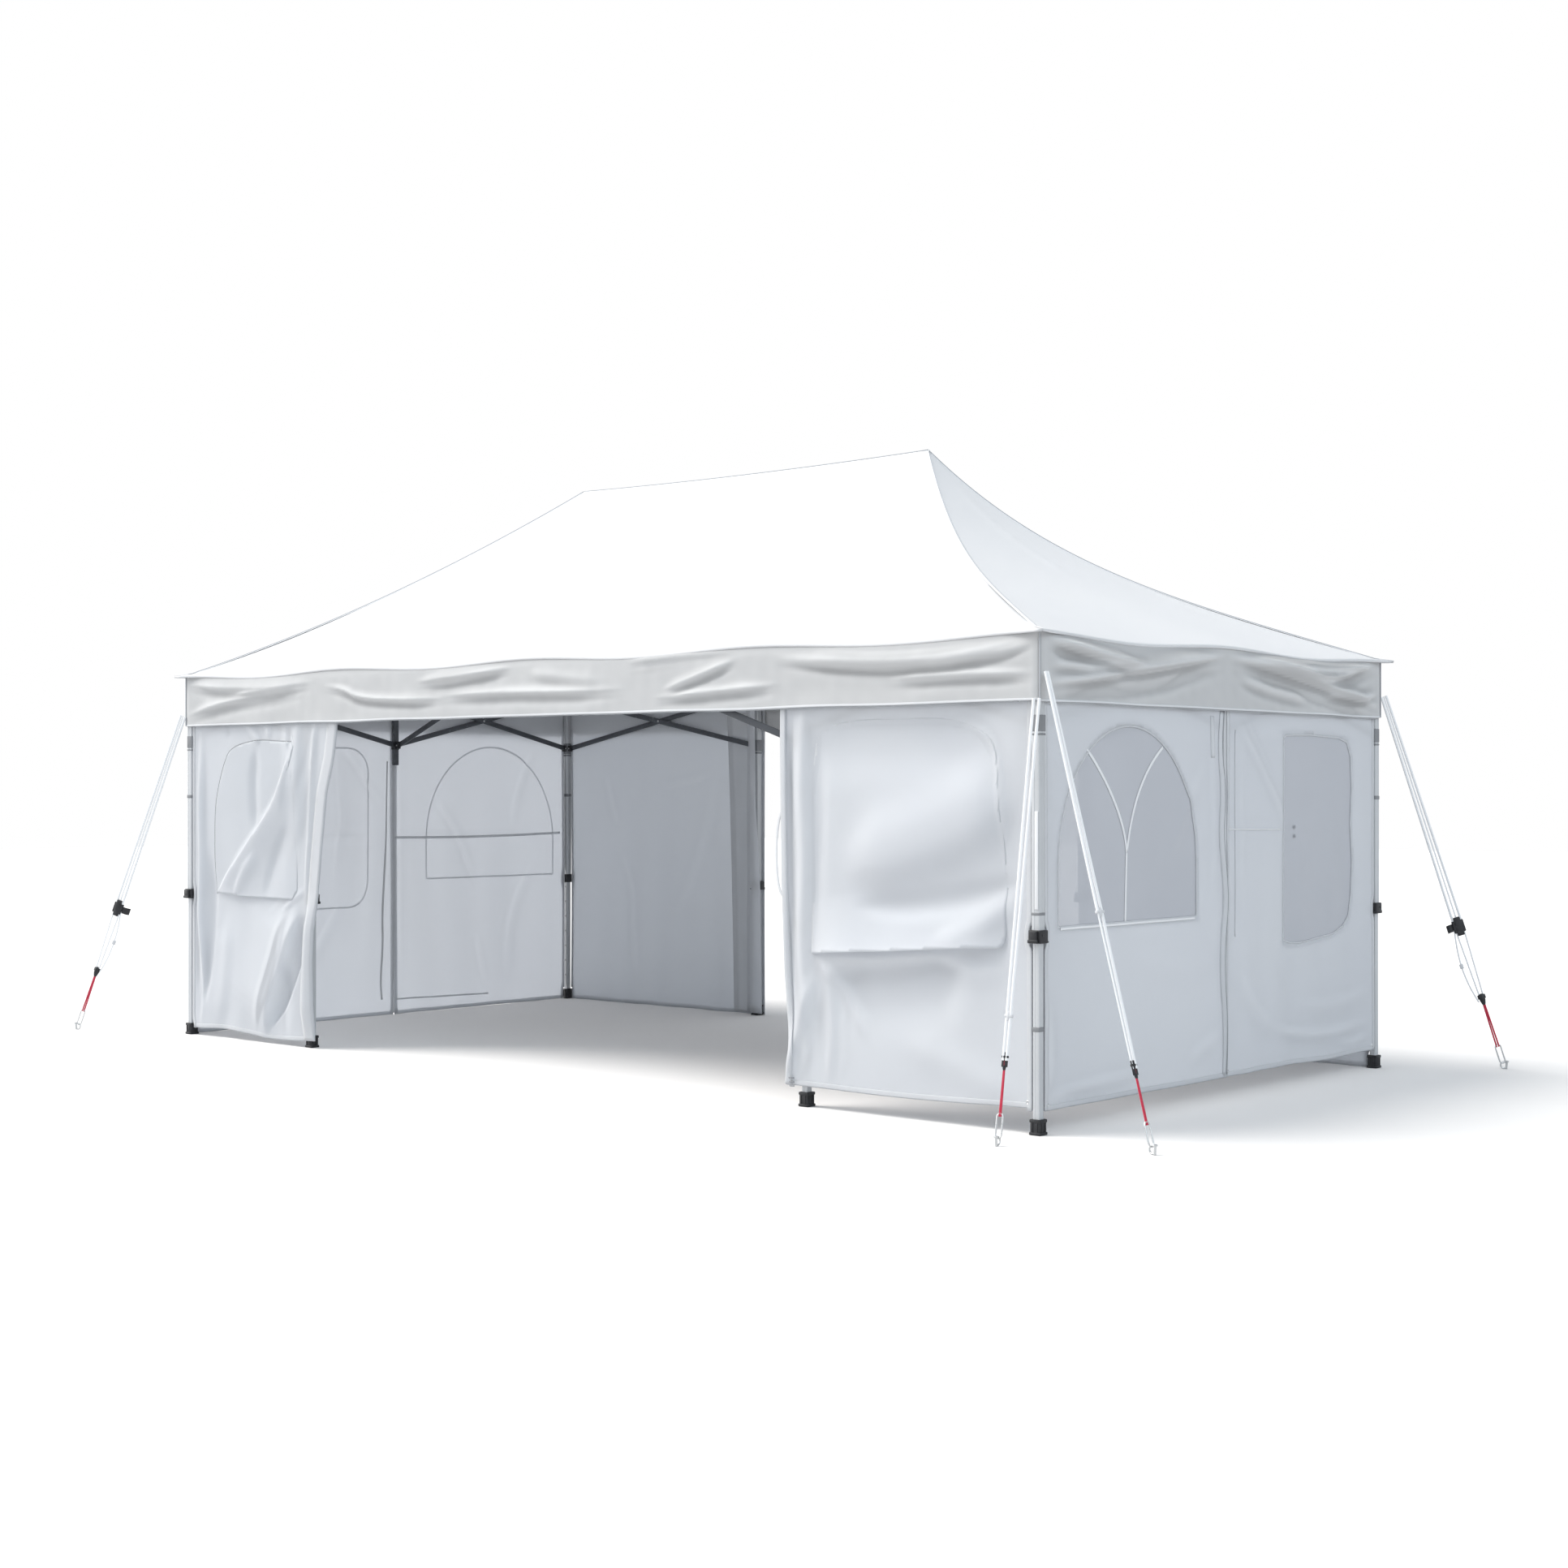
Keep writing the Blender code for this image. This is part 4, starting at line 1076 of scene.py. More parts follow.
def arch_outline(left, right, low, spring, high, steps=32):
    """Straight sides up to the spring line, then a half ellipse."""
    middle, half = (left + right) / 2, (right - left) / 2
    points = [(left, low), (right, low)]
    for step in range(steps + 1):
        angle = math.pi * step / steps
        points.append((middle + half * math.cos(angle), spring + (high - spring) * math.sin(angle)))
    return points


def mirror_outline(points):
    return [(-along, height) for along, height in reversed(points)]


ARCH = arch_outline(-1.375, -0.265, 0.85, 1.10, 1.70)
TALL = rounded_outline(0.20, 1.18, 0.69, 1.68, 0.16)
FREE_FILM = [(0.544, 0.700), (0.62, 0.684), (0.70, 0.680), (1.02, 0.708), (1.15, 0.742), (1.208, 0.79),
             (1.232, 0.90), (1.244, 1.07), (1.226, 1.25), (1.240, 1.43), (1.228, 1.59), (1.19, 1.660),
             (1.10, 1.680), (0.80, 1.690), (0.56, 1.684), (0.544, 1.670)]
print("arch has", len(ARCH), "points, tall window", len(TALL))

# %% [markdown]
# A window is opened in the cloth's flat grid: the faces inside the outline are
# removed and the points left round the hole are pulled onto the outline. A
# flap or a pane is cut the other way, by removing what is outside. A Boolean
# would cut as well, but it leaves long thin faces that don't bend nicely.

# %% Cutting cloth along an outline
def span_of(points):
    """The lowest and highest of an outline's points, along and up."""
    return [(min(p[k] for p in points), max(p[k] for p in points)) for k in (0, 1)]


def grown(points, distance):
    """The same outline pushed outwards about its centre."""
    spans = span_of(points)
    centre = [(low + high) / 2 for low, high in spans]
    scale = [1 + distance / ((high - low) / 2) for low, high in spans]
    return [tuple(centre[k] + (p[k] - centre[k]) * scale[k] for k in (0, 1)) for p in points]


def is_inside(point, outline):
    """Whether a point is inside a closed outline, by counting crossings."""
    inside = False
    for (x0, y0), (x1, y1) in zip(outline, outline[1:] + outline[:1]):
        if (y0 > point.y) != (y1 > point.y):
            if point.x < x0 + (point.y - y0) / (y1 - y0) * (x1 - x0):
                inside = not inside
    return inside


def nearest_on(point, line):
    """The nearest point of a line of several straight runs."""
    spots = []
    for start, end in zip(line, line[1:]):
        a, b = Vector(start), Vector(end)
        run = b - a
        share = min(max((point.xy - a).dot(run) / max(run.length_squared, 1e-12), 0.0), 1.0)
        spots.append(a + run * share)
    return min(spots, key=lambda spot: (spot - point.xy).length)


def trim(bm, outline, keep_inside):
    """Cuts a flat grid along an outline, and lays its new edge on the outline."""
    before = {vert for vert in bm.verts if vert.is_boundary}
    gone = [face for face in bm.faces
            if is_inside(face.calc_center_median(), outline) != keep_inside]
    bmesh.ops.delete(bm, geom=gone, context="FACES")
    for vert in bm.verts:
        if vert.is_boundary and (keep_inside or vert not in before):
            vert.co.xy = nearest_on(vert.co, outline + outline[:1])


def cut_out(outline, pitch):
    """A flat piece of cloth or film cut along an outline, with its size and its area."""
    (left, right), (low, high) = span_of(outline)
    bm = flat_grid(left, right, low, high, pitch)
    trim(bm, outline, keep_inside=True)
    return bm, (right - left, high - low), flat_area(bm)


def lay_on(side, bm, lift=None):
    """Bends a flat piece onto a panel, all of it at one lift, or each point at its own."""
    for vert in bm.verts if lift is not None else []:
        vert.co.z = lift
    bend(bm, side.rule)
    face_out(bm, side.outward)


print("cutting helpers ready")

# %% [markdown]
# ## Window film
#
# The panes are a smoky clear vinyl film, slightly rippled and a little shiny.
# It lets most of the light through, so a real pane shows the inside of the
# tent dimly. Alpha on the shader gives that without the cost of refraction,
# which a sheet half a millimetre thick hardly shows. The front left window has
# a misty pane instead, like frosted film, which is translucent: it glows with
# the light behind it and shows nothing through. The zips are a dark coil, which
# is drawn as fine bands along the tape's UV map.

# %% Film finish
FILM, tree, shader = finish("smoky_film", (0.58, 0.585, 0.62), 0.22, Alpha=0.72,
                            Specular_IOR_Level=0.45)
film_place = coordinates(tree)
haze = noise_at(tree, film_place, 1.4, 3.0)
paint(tree, shader, haze, (0.54, 0.55, 0.585), (0.615, 0.62, 0.65))
roughen(tree, shader, noise_at(tree, film_place, 3.0), 0.3, 0.7, 0.30, 0.42)
stack_bumps(tree, shader, [(noise_at(tree, film_place, 3.5, 2.0), 0.5, 0.003)])

MISTY, tree, shader = finish("misty_pane", (0.70, 0.715, 0.74), 0.34, Specular_IOR_Level=0.45)
let_light_through(tree, shader, 0.42, (0.84, 0.86, 0.89))
misty_place = coordinates(tree)
paint(tree, shader, noise_at(tree, misty_place, 1.8, 3.0), (0.74, 0.755, 0.775), (0.82, 0.825, 0.84))
stack_bumps(tree, shader, [(noise_at(tree, misty_place, 5.0, 2.0), 0.4, 0.004)])

ZIP, tree, shader = finish("zip_coil", (0.30, 0.305, 0.32), 0.5)
coil = bands(tree, coordinates(tree, "UV"), 0.002)
paint(tree, shader, coil, (0.24, 0.245, 0.26), (0.42, 0.425, 0.44))
stack_bumps(tree, shader, [(coil, 0.6, 0.0004)])
print("pane and zip finishes:", FILM.name, MISTY.name, ZIP.name)

# %% [markdown]
# ## The walls
#
# Eight wall panels hang from the hook-and-loop band inside the valance and
# are tied to the legs. Hanging cloth has long upright waves that are pinned at
# the top and free at the hem. Cloth that is pulled sideways, as in the front
# left panel, gets slanting folds as well. A simulation would hang the panels
# well but put the folds where it likes, so each panel has a relief rule of its
# own: upright waves, a few folds placed from the photograph, and the bulge of
# its window flap.

# %% Loose cloth
TRUSS_ZONE = (1.62, 1.72)           # above this the trusses are close behind the wall
SHALLOW = 0.005                     # how far cloth may stand in or out there
DEEP_IN, FREE_IN, DEEP_OUT = 0.011, 0.045, 0.065


def hanging(along, height, seed, deep, width=0.35):
    """Long upright waves, pinned at the top and deepest at the hem."""
    chance = np.random.default_rng(seed)
    down = np.clip((WALL_TOP - height) / WALL_TOP, 0, 1)
    total = np.zeros_like(along)
    for k in range(4):
        wave = width * chance.uniform(0.6, 1.5)
        phase = chance.uniform(0, math.tau)
        lean = chance.uniform(-0.12, 0.12)
        wander = 0.25 * np.sin(height * chance.uniform(2, 4) + phase)
        total = total + np.sin(math.tau * (along + lean * height) / wave + phase + wander)
    return deep * total / 2.2 * ease(down * 1.3)


def limited(relief, legs):
    """Keeps a relief clear of the valance and trusses above, and the legs behind."""
    def rule(along, height):
        room = ease((TRUSS_ZONE[1] + 0.06 - height) / (TRUSS_ZONE[1] - TRUSS_ZONE[0]))
        from_leg = np.min([np.abs(along - leg) for leg in legs], axis=0)
        deepest = DEEP_IN + (FREE_IN - DEEP_IN) * ease((from_leg - 0.045) / 0.05)
        most_in = SHALLOW + room * (deepest - SHALLOW)
        most_out = SHALLOW + room * (DEEP_OUT - SHALLOW)
        value = relief(along, height)
        soft_in = -most_in * np.tanh(-np.minimum(value, 0) / most_in)
        soft_out = most_out * np.tanh(np.maximum(value, 0) / most_out)
        return soft_in + soft_out
    return rule


WALL_FOLDS = {}
print("loose cloth stands out up to", DEEP_OUT, "m")

# %% [markdown]
# The front left panel is pulled over to the left at its hem, and its window
# flap is drawn aside, so strong folds run from the flap's edge down to the
# corner. The front right panel is smooth and taut: its window flap is shut and
# bulges over the sill, and a soft roll of cloth lies under it.

# %% Folds of the front walls
DRAWN_FLAP = [(-2.70, 0.835), (-2.57, 0.935), (-2.44, 1.055), (-2.313, 1.175), (-2.165, 1.312),
              (-2.06, 1.463), (-2.01, 1.614), (-1.985, 1.74)]
WALL_FOLDS["front_left"] = [
    (DRAWN_FLAP, 0.024, 0.052, 5.5, 1.6),
    ([(-2.25, 0.8), (-2.17, 1.02), (-2.02, 1.25)], 0.03, -0.012, 2.0),
    ([(-2.52, 0.8), (-2.42, 0.95), (-2.3, 1.08)], 0.02, 0.014, 2.5),
    ([(-2.345, 1.66), (-2.36, 1.41), (-2.34, 1.16)], 0.026, -0.014, 1.6),
    ([(-2.43, 1.8), (-2.37, 1.74), (-2.3, 1.68)], 0.02, 0.01),
    ([(-2.25, 1.82), (-2.22, 1.7)], 0.02, 0.008),
    ([(-2.62, 1.82), (-2.6, 1.7)], 0.026, -0.006),
    ([(-2.08, 1.82), (-2.03, 1.55), (-2.1, 1.28)], 0.022, 0.012, 1.8),
    ([(-1.98, 1.86), (-1.93, 1.4), (-1.99, 1.05)], 0.04, 0.018, 1.3),
    ([(-2.26, 0.02), (-2.22, 0.18), (-2.15, 0.34), (-2.06, 0.5), (-1.95, 0.76)], 0.26, 0.05, 0.1, 1.8),
    ([(-2.21, 0.1), (-2.115, 0.24), (-2.035, 0.37), (-1.965, 0.52), (-1.9, 0.72)], 0.044, -0.085, 0.9, 2.6),
    ([(-1.885, 0.02), (-1.885, 0.3), (-1.87, 0.55), (-1.84, 0.85)], 0.024, 0.04, 3.0),
    ([(-2.86, 1.8), (-2.87, 1.35), (-2.85, 1.0), (-2.87, 0.7), (-2.83, 0.4),
      (-2.86, 0.03)], 0.03, 0.028, 0.7, 1.8),
    ([(-2.915, 0.95), (-2.9, 0.6), (-2.895, 0.2)], 0.012, -0.01),
    ([(-2.77, 1.1), (-2.74, 0.75), (-2.79, 0.35), (-2.88, 0.1)], 0.03, -0.02, 2.2),
    ([(-2.6, 0.7), (-2.62, 0.4), (-2.7, 0.05)], 0.06, 0.016, 1.4),
    ([(-2.1, 0.74), (-1.98, 0.82), (-1.88, 0.88)], 0.016, 0.007),
    ([(-1.8, 1.95), (-1.83, 1.45), (-1.86, 1.1), (-1.9, 0.72)], 0.024, 0.02, 0.6, 1.6)]
WALL_FOLDS["front_right"] = [
    ([(1.86, 1.665), (1.91, 1.7), (2.03, 1.722), (2.26, 1.728), (2.52, 1.722), (2.64, 1.692),
      (2.755, 1.628), (2.785, 1.5), (2.815, 1.26), (2.824, 1.05)], 0.018, 0.01, 0.6),
    ([(1.95, 1.08), (2.28, 1.17), (2.58, 1.26), (2.88, 1.44)], 0.17, 0.062, 0.8, 2.2),
    ([(2.0, 0.91), (2.36, 0.91), (2.7, 0.97), (2.92, 1.06)], 0.055, -0.026, 0.8),
    ([(2.46, 0.77), (2.68, 0.84), (2.9, 0.97)], 0.05, 0.014, 1.2),
    ([(1.8, 0.68), (2.02, 0.675), (2.3, 0.7), (2.6, 0.725)], 0.024, 0.016, 1.2, 1.8),
    ([(1.84, 0.6), (2.02, 0.56), (2.3, 0.59), (2.62, 0.67)], 0.06, -0.07, 2.4, 1.8),
    ([(1.66, 1.6), (2.25, 1.64), (2.86, 1.62)], 0.17, -0.036, 0.8),
    ([(1.78, 0.68), (1.88, 0.6), (1.99, 0.46), (2.08, 0.32)], 0.06, 0.014, 0.5, 1.8),
    ([(2.44, 0.71), (2.66, 0.665), (2.82, 0.67)], 0.024, 0.01, 2.4),
    ([(1.715, 1.92), (1.7, 1.5), (1.725, 1.1), (1.705, 0.8), (1.73, 0.45),
      (1.73, 0.1)], 0.04, 0.024, 0.9, 1.8),
    ([(1.64, 1.84), (1.632, 1.45), (1.645, 1.1), (1.64, 0.7), (1.655, 0.35)], 0.016, -0.026),
    ([(1.79, 1.7), (1.82, 1.3), (1.785, 1.0), (1.785, 0.75)], 0.035, -0.008, 1.8),
    ([(1.61, 0.08), (1.66, 0.25), (1.72, 0.42), (1.79, 0.62)], 0.034, 0.024, 0.9, 1.8),
    ([(1.85, 0.62), (1.89, 0.35), (1.86, 0.1)], 0.03, 0.011, 0.9),
    ([(2.92, 0.14), (2.62, 0.24), (2.25, 0.36)], 0.08, 0.014)]
print("front folds:", len(WALL_FOLDS["front_left"]), len(WALL_FOLDS["front_right"]))

# %% [markdown]
# The right side's two panels meet at a zip that wanders. Folds run along it,
# across the back window, and low along the hem.

# %% Folds of the right walls
ZIP_LINE = [(-0.040, 1.785), (-0.062, 1.60), (-0.034, 1.42), (-0.058, 1.22), (-0.028, 1.05),
            (-0.012, 0.90), (-0.040, 0.74), (-0.046, 0.56), (-0.018, 0.38), (-0.014, 0.22), (-0.020, 0.11)]
WALL_FOLDS["right_front"] = [
    (ZIP_LINE, 0.02, 0.012, 0.5, 1.8),
    ([(-0.115, 1.78), (-0.13, 1.45), (-0.105, 1.2), (-0.125, 0.9)], 0.02, 0.007, 0.8),
    ([(-1.47, 0.15), (-1.2, 0.165), (-0.95, 0.178), (-0.7, 0.18)], 0.022, 0.014, 0.6, 1.6),
    ([(-1.46, 0.6), (-1.42, 0.3), (-1.47, 0.13)], 0.024, 0.01),
    ([(-0.5, 1.1), (-0.35, 1.35), (-0.2, 1.55)], 0.04, 0.007),
    ([(-0.36, 0.2), (-0.2, 0.26), (-0.06, 0.3)], 0.035, 0.01),
    ([(-1.38, 1.82), (-1.2, 1.79), (-0.95, 1.8)], 0.022, 0.005),
    ([(-0.8, 0.7), (-0.4, 0.62), (-0.1, 0.66)], 0.06, 0.006)]
WALL_FOLDS["right_back"] = [
    ([(y + 0.035, z) for y, z in ZIP_LINE], 0.018, 0.01, 0.5, 1.8),
    ([(0.104, 1.756), (0.18, 1.68), (0.294, 1.569), (0.42, 1.43), (0.52, 1.318),
      (0.54, 1.2)], 0.014, 0.011, 1.6, 1.8),
    ([(0.16, 1.77), (0.26, 1.66), (0.38, 1.53), (0.47, 1.44)], 0.012, 0.008, 0.8, 1.8),
    ([(-0.037, 1.24), (0.25, 1.238), (0.504, 1.233)], 0.006, 0.004),
    ([(0.15, 1.72), (0.14, 1.4), (0.152, 1.05), (0.135, 0.7)], 0.016, 0.006),
    ([(0.26, 1.695), (0.4, 1.7), (0.54, 1.692)], 0.01, 0.004, 2.0),
    ([(0.36, 0.3), (0.62, 0.24), (0.9, 0.215), (1.2, 0.225), (1.43, 0.25)], 0.03, 0.016, 0.6, 1.6),
    ([(0.62, 0.4), (0.9, 0.36), (1.2, 0.375), (1.44, 0.42)], 0.03, 0.009, 1.4),
    ([(0.1, 0.6), (0.22, 0.42), (0.45, 0.27)], 0.04, 0.01, 1.2),
    ([(1.05, 0.16), (1.25, 0.15), (1.44, 0.17)], 0.016, 0.01, 0.7)]
print("right folds:", len(WALL_FOLDS["right_front"]), len(WALL_FOLDS["right_back"]))

# %% [markdown]
# The left and back panels are seen from inside, through the doorway, so their
# folds are placed as they show there. The back right panel is hidden and gets
# folds of the same kind. Each wall also has its own loose waves: a seed, how
# deep they are at the hem and how far apart.

# %% Folds of the left and back walls
WALL_FOLDS["left_front"] = [
    ([(-1.4, 1.13), (-0.02, 1.13)], 0.012, -0.005),
    ([(-0.447, 1.712), (-0.415, 1.335), (-0.403, 1.235), (-0.428, 1.135), (-0.447, 0.985),
      (-0.459, 0.81)], 0.02, 0.01, 0.8, 1.7),
    ([(-0.441, 1.712), (-0.321, 1.587), (-0.193, 1.436), (-0.097, 1.324)], 0.018, 0.01, 0.8, 1.7),
    ([(-0.95, 1.8), (-1.02, 1.1), (-1.1, 0.5)], 0.025, 0.012, 0.6, 1.5),
    ([(-0.4, 0.75), (-0.6, 0.45), (-0.75, 0.2)], 0.04, 0.01, 0.6),
    ([(-0.04, 1.8), (-0.05, 0.1)], 0.022, 0.01, 0.6, 1.5)]
WALL_FOLDS["left_back"] = [
    ([(0.02, 1.13), (1.4, 1.13)], 0.012, -0.005),
    ([(0.341, 1.373), (0.437, 1.252), (0.54, 1.114), (0.645, 0.879),
      (0.694, 0.798)], 0.024, 0.012, 0.8, 1.7),
    ([(0.68, 0.506), (0.715, 0.345), (0.772, 0.128)], 0.026, 0.01, 0.8),
    ([(0.05, 1.8), (0.06, 0.1)], 0.024, 0.01, 0.6, 1.5),
    ([(1.2, 1.7), (1.05, 1.4), (1.0, 1.15)], 0.03, 0.009),
    ([(1.2, 0.95), (0.98, 0.6), (0.95, 0.15)], 0.045, 0.01, 0.7)]
WALL_FOLDS["back_left"] = [
    ([(-2.47, 1.014), (-2.432, 0.922), (-2.363, 0.789), (-2.356, 0.465),
      (-2.326, 0.171)], 0.03, 0.012, 0.8, 1.7),
    ([(-2.624, 1.546), (-2.57, 1.355), (-2.508, 1.165)], 0.026, 0.01, 0.8),
    ([(-2.094, 1.436), (-1.838, 1.463), (-1.637, 1.515)], 0.024, 0.01, 0.6, 1.7),
    ([(-1.6, 1.5), (-1.72, 1.05), (-1.95, 0.6)], 0.045, 0.01),
    ([(-1.38, 1.8), (-1.4, 1.0), (-1.36, 0.1)], 0.03, 0.012, 0.6, 1.6)]
WALL_FOLDS["back_right"] = [
    ([(2.85, 1.6), (2.6, 1.15), (2.3, 0.8)], 0.05, 0.01),
    ([(2.4, 0.8), (2.52, 0.45), (2.7, 0.1)], 0.05, 0.012, 0.6),
    ([(1.6, 1.6), (1.85, 1.2), (1.95, 0.7)], 0.045, 0.01),
    ([(1.3, 1.8), (1.28, 0.1)], 0.03, 0.012, 0.6, 1.6)]
WAVES = {"front_left": (41, 0.004, 0.30), "front_right": (43, 0.003, 0.45),
         "right_front": (47, 0.004, 0.50), "right_back": (53, 0.005, 0.45),
         "left_front": (59, 0.008, 0.40), "left_back": (61, 0.008, 0.40),
         "back_left": (67, 0.008, 0.38), "back_right": (71, 0.008, 0.38)}


def wall_relief(name):
    """How far one wall stands out: its own folds and its loose waves."""
    def relief(along, height):
        return folds(along, height, WALL_FOLDS[name]) + hanging(along, height, *WAVES[name])
    return relief


print("walls with folds:", ", ".join(WALL_FOLDS))

# %% [markdown]
# Each wall is cut between its own left and right edges and from its hem to its
# top. The free edges beside the front doorway wander, so they are lines of a
# few points. The other edges are drawn up to the legs, except at a collar or a
# foot, where the leg is wider.

# %% Wall sizes and edges
LEGS = ["front_left", "front_door_left", "front_door_right", "front_right",
        "back_right", "back_door_right", "back_door_left", "back_left"]
WALL_LEFT_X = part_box("wall_front_left")[0].x
WALL_RIGHT_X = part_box("wall_front_right")[1].x
WALL_END_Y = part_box("wall_right_back")[1].y
ZIP_GAP = 0.002
EDGE_HALF = 0.012
FLOOR_HEM = 0.0                     # the left and back walls reach down to the ground
COLLAR_Z, COLLAR_CLEAR = 0.818, 0.038    # the collar's middle, and half its height with room
FOOT_CLEAR, CLEAR_FADE = 0.075, 0.015
LEG_REACH = 0.0125                  # the edges are drawn up this much closer to the legs
WALLS = {                           # axis, side, hem, left edge, right edge
    "front_left": ("y", -1, HEM_LOW, WALL_LEFT_X, None),
    "front_right": ("y", -1, HEM_HIGH, None, WALL_RIGHT_X),
    "right_front": ("x", 1, HEM_HIGH, -WALL_END_Y, -ZIP_GAP),
    "right_back": ("x", 1, HEM_HIGH, ZIP_GAP, WALL_END_Y),
    "left_front": ("x", -1, FLOOR_HEM, -WALL_END_Y, -ZIP_GAP),
    "left_back": ("x", -1, FLOOR_HEM, ZIP_GAP, WALL_END_Y),
    "back_left": ("y", 1, FLOOR_HEM, WALL_LEFT_X, -1.19),
    "back_right": ("y", 1, FLOOR_HEM, 1.19, WALL_RIGHT_X),
}
AT_A_LEG = (WALL_LEFT_X, WALL_RIGHT_X, -WALL_END_Y, WALL_END_Y)
WINDOWS = {"right_front": ARCH, "right_back": FREE_FILM}
SHUT = {"left_front": mirror_outline(TALL), "left_back": mirror_outline(ARCH)}
FREE_EDGES = {
    "front_left": ((0.04, -1.812), (0.475, -1.812), (0.755, -1.790), (1.09, -1.745), (1.41, -1.700),
                   (1.60, -1.640), (1.75, -1.615), (2.04, -1.600)),
    "front_right": ((0.095, 1.612), (0.25, 1.640), (0.60, 1.606), (1.00, 1.588), (1.60, 1.578),
                    (2.04, 1.580)),
}


def plain_edges(name, height):
    """The left and right edge of a wall at some height, as it is cut."""
    left, right = WALLS[name][3:]
    line = FREE_EDGES.get(name)
    if line:
        free = np.interp(height, [z for z, _ in line], [x for _, x in line])
        left = free if left is None else left
        right = free if right is None else right
    return left + height * 0, right + height * 0


def drawn_up(name, height):
    """How far each edge is drawn up to its leg: none at a doorway, a collar or a foot."""
    past_collar = ease((np.abs(height - COLLAR_Z) - COLLAR_CLEAR) / CLEAR_FADE)
    clear = past_collar * ease((height - FOOT_CLEAR) / CLEAR_FADE)
    return [LEG_REACH * clear if edge in AT_A_LEG else height * 0 for edge in WALLS[name][3:]]


def wall_edges(name, height):
    """The left and right edge of a wall at some height, as it hangs."""
    left, right = plain_edges(name, height)
    to_left, to_right = drawn_up(name, height)
    return left - to_left, right + to_right


print("walls:", ", ".join(WALLS))

# %% [markdown]
# A wall hangs just behind the valance's plane. Its relief is held back near
# the legs and trusses behind it and the valance above it. The hem waves a
# little, because loose cloth never hangs dead straight, and the lower half
# metre of cloth follows it.

# %% Wall panels
NEAR_A_LEG = 0.1
WALL_PITCH = (0.016, 0.018)
FINE_PITCH = (0.014, 0.014)         # for the panel with the strongest folds
DRAWN_WIDE, HEM_REACH = 0.08, 0.5   # how much of the cloth follows a drawn edge, and the hem


def wall_side(name):
    """The wall's own side, with its relief kept clear of what is near it."""
    axis, sign = WALLS[name][:2]
    plane = (HALF_Y if axis == "y" else HALF_X) - WALL_OUT
    boxes = [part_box("leg_upper_" + leg) for leg in LEGS]
    middles = [(low + high) / 2 for low, high in boxes]
    near = [middle for middle in middles
            if abs(sign * (middle.y if axis == "y" else middle.x) - plane) < NEAR_A_LEG]
    return Side(axis, sign, plane, limited(wall_relief(name), [m.x if axis == "y" else m.y for m in near]))


def hem_line(name, share):
    """Height of the hem along the wall, from its left edge at 0 to its right at 1."""
    hem = WALLS[name][2]
    if name == "front_left":
        return hem + 0.018 * np.sin(share * 5.0 + 0.8) * np.sin(share * math.pi)
    if name == "front_right":
        return hem - 0.012 * np.sin(share * math.pi * 1.5) * share
    seed = 80 + len(name) + ord(name[-1])
    height = 0.006 if hem > FLOOR_HEM else 0.001
    return hem + height * ripple(share * 1.4, share * 0, 0.8, seed) * np.sin(share * math.pi)


def wall_rule(name, side, left, right):
    """The rule that gives each point of a wall's flat grid its place as it hangs."""
    hem = WALLS[name][2]

    def rule(along, height, lift):
        share = (along - left) / (right - left)
        edge_left, edge_right = plain_edges(name, height)
        to_left, to_right = drawn_up(name, height)
        shifted = edge_left + (edge_right - edge_left) * share if name in FREE_EDGES else along
        from_left, from_right = shifted - edge_left, edge_right - shifted
        shifted = (shifted - to_left * ease(1 - from_left / DRAWN_WIDE)
                   + to_right * ease(1 - from_right / DRAWN_WIDE))
        near_hem = ease(1 - (height - hem) / HEM_REACH)
        lowered = height + (hem_line(name, share) - hem) * near_hem
        return side.rule(shifted, np.where(height < WALL_TOP, lowered, height), lift)
    return rule


WALL_SPAN = {name: plain_edges(name, np.array([0.1, 0.6, 1.0, 2.0])) for name in WALLS}
wall_sides = {name: wall_side(name) for name in WALLS}
wall_pieces, wall_areas = {}, {}
for name, side in wall_sides.items():
    left, right = float(WALL_SPAN[name][0].min()), float(WALL_SPAN[name][1].max())
    bm = flat_grid(left, right, WALLS[name][2], WALL_TOP,
                   *(FINE_PITCH if name == "front_left" else WALL_PITCH))
    if name in WINDOWS:
        trim(bm, WINDOWS[name], keep_inside=False)
    wall_areas[name] = flat_area(bm)
    # The fold relief on each point, for the finish's painted shade in the hollows and painted highlight on
    # the crests.
    mark_fold_shade(bm, side.relief, 0.045, 0.016)
    bend(bm, wall_rule(name, side, left, right))
    face_out(bm, side.outward)
    nodes = ["wall_" + name] + ["window_" + name] * (name in SHUT)
    wall_pieces[name] = add_piece("wall_cloth_" + name, bm, WALL, "wall_white", nodes, thickness=0.0015)
    print("wall_cloth_" + name, len(wall_pieces[name].data.polygons), "faces")

# %% [markdown]
# The hem and both edges get a tape, wider on a doorway's edge, where people
# take hold of it. An opened window is bound with a narrow one.

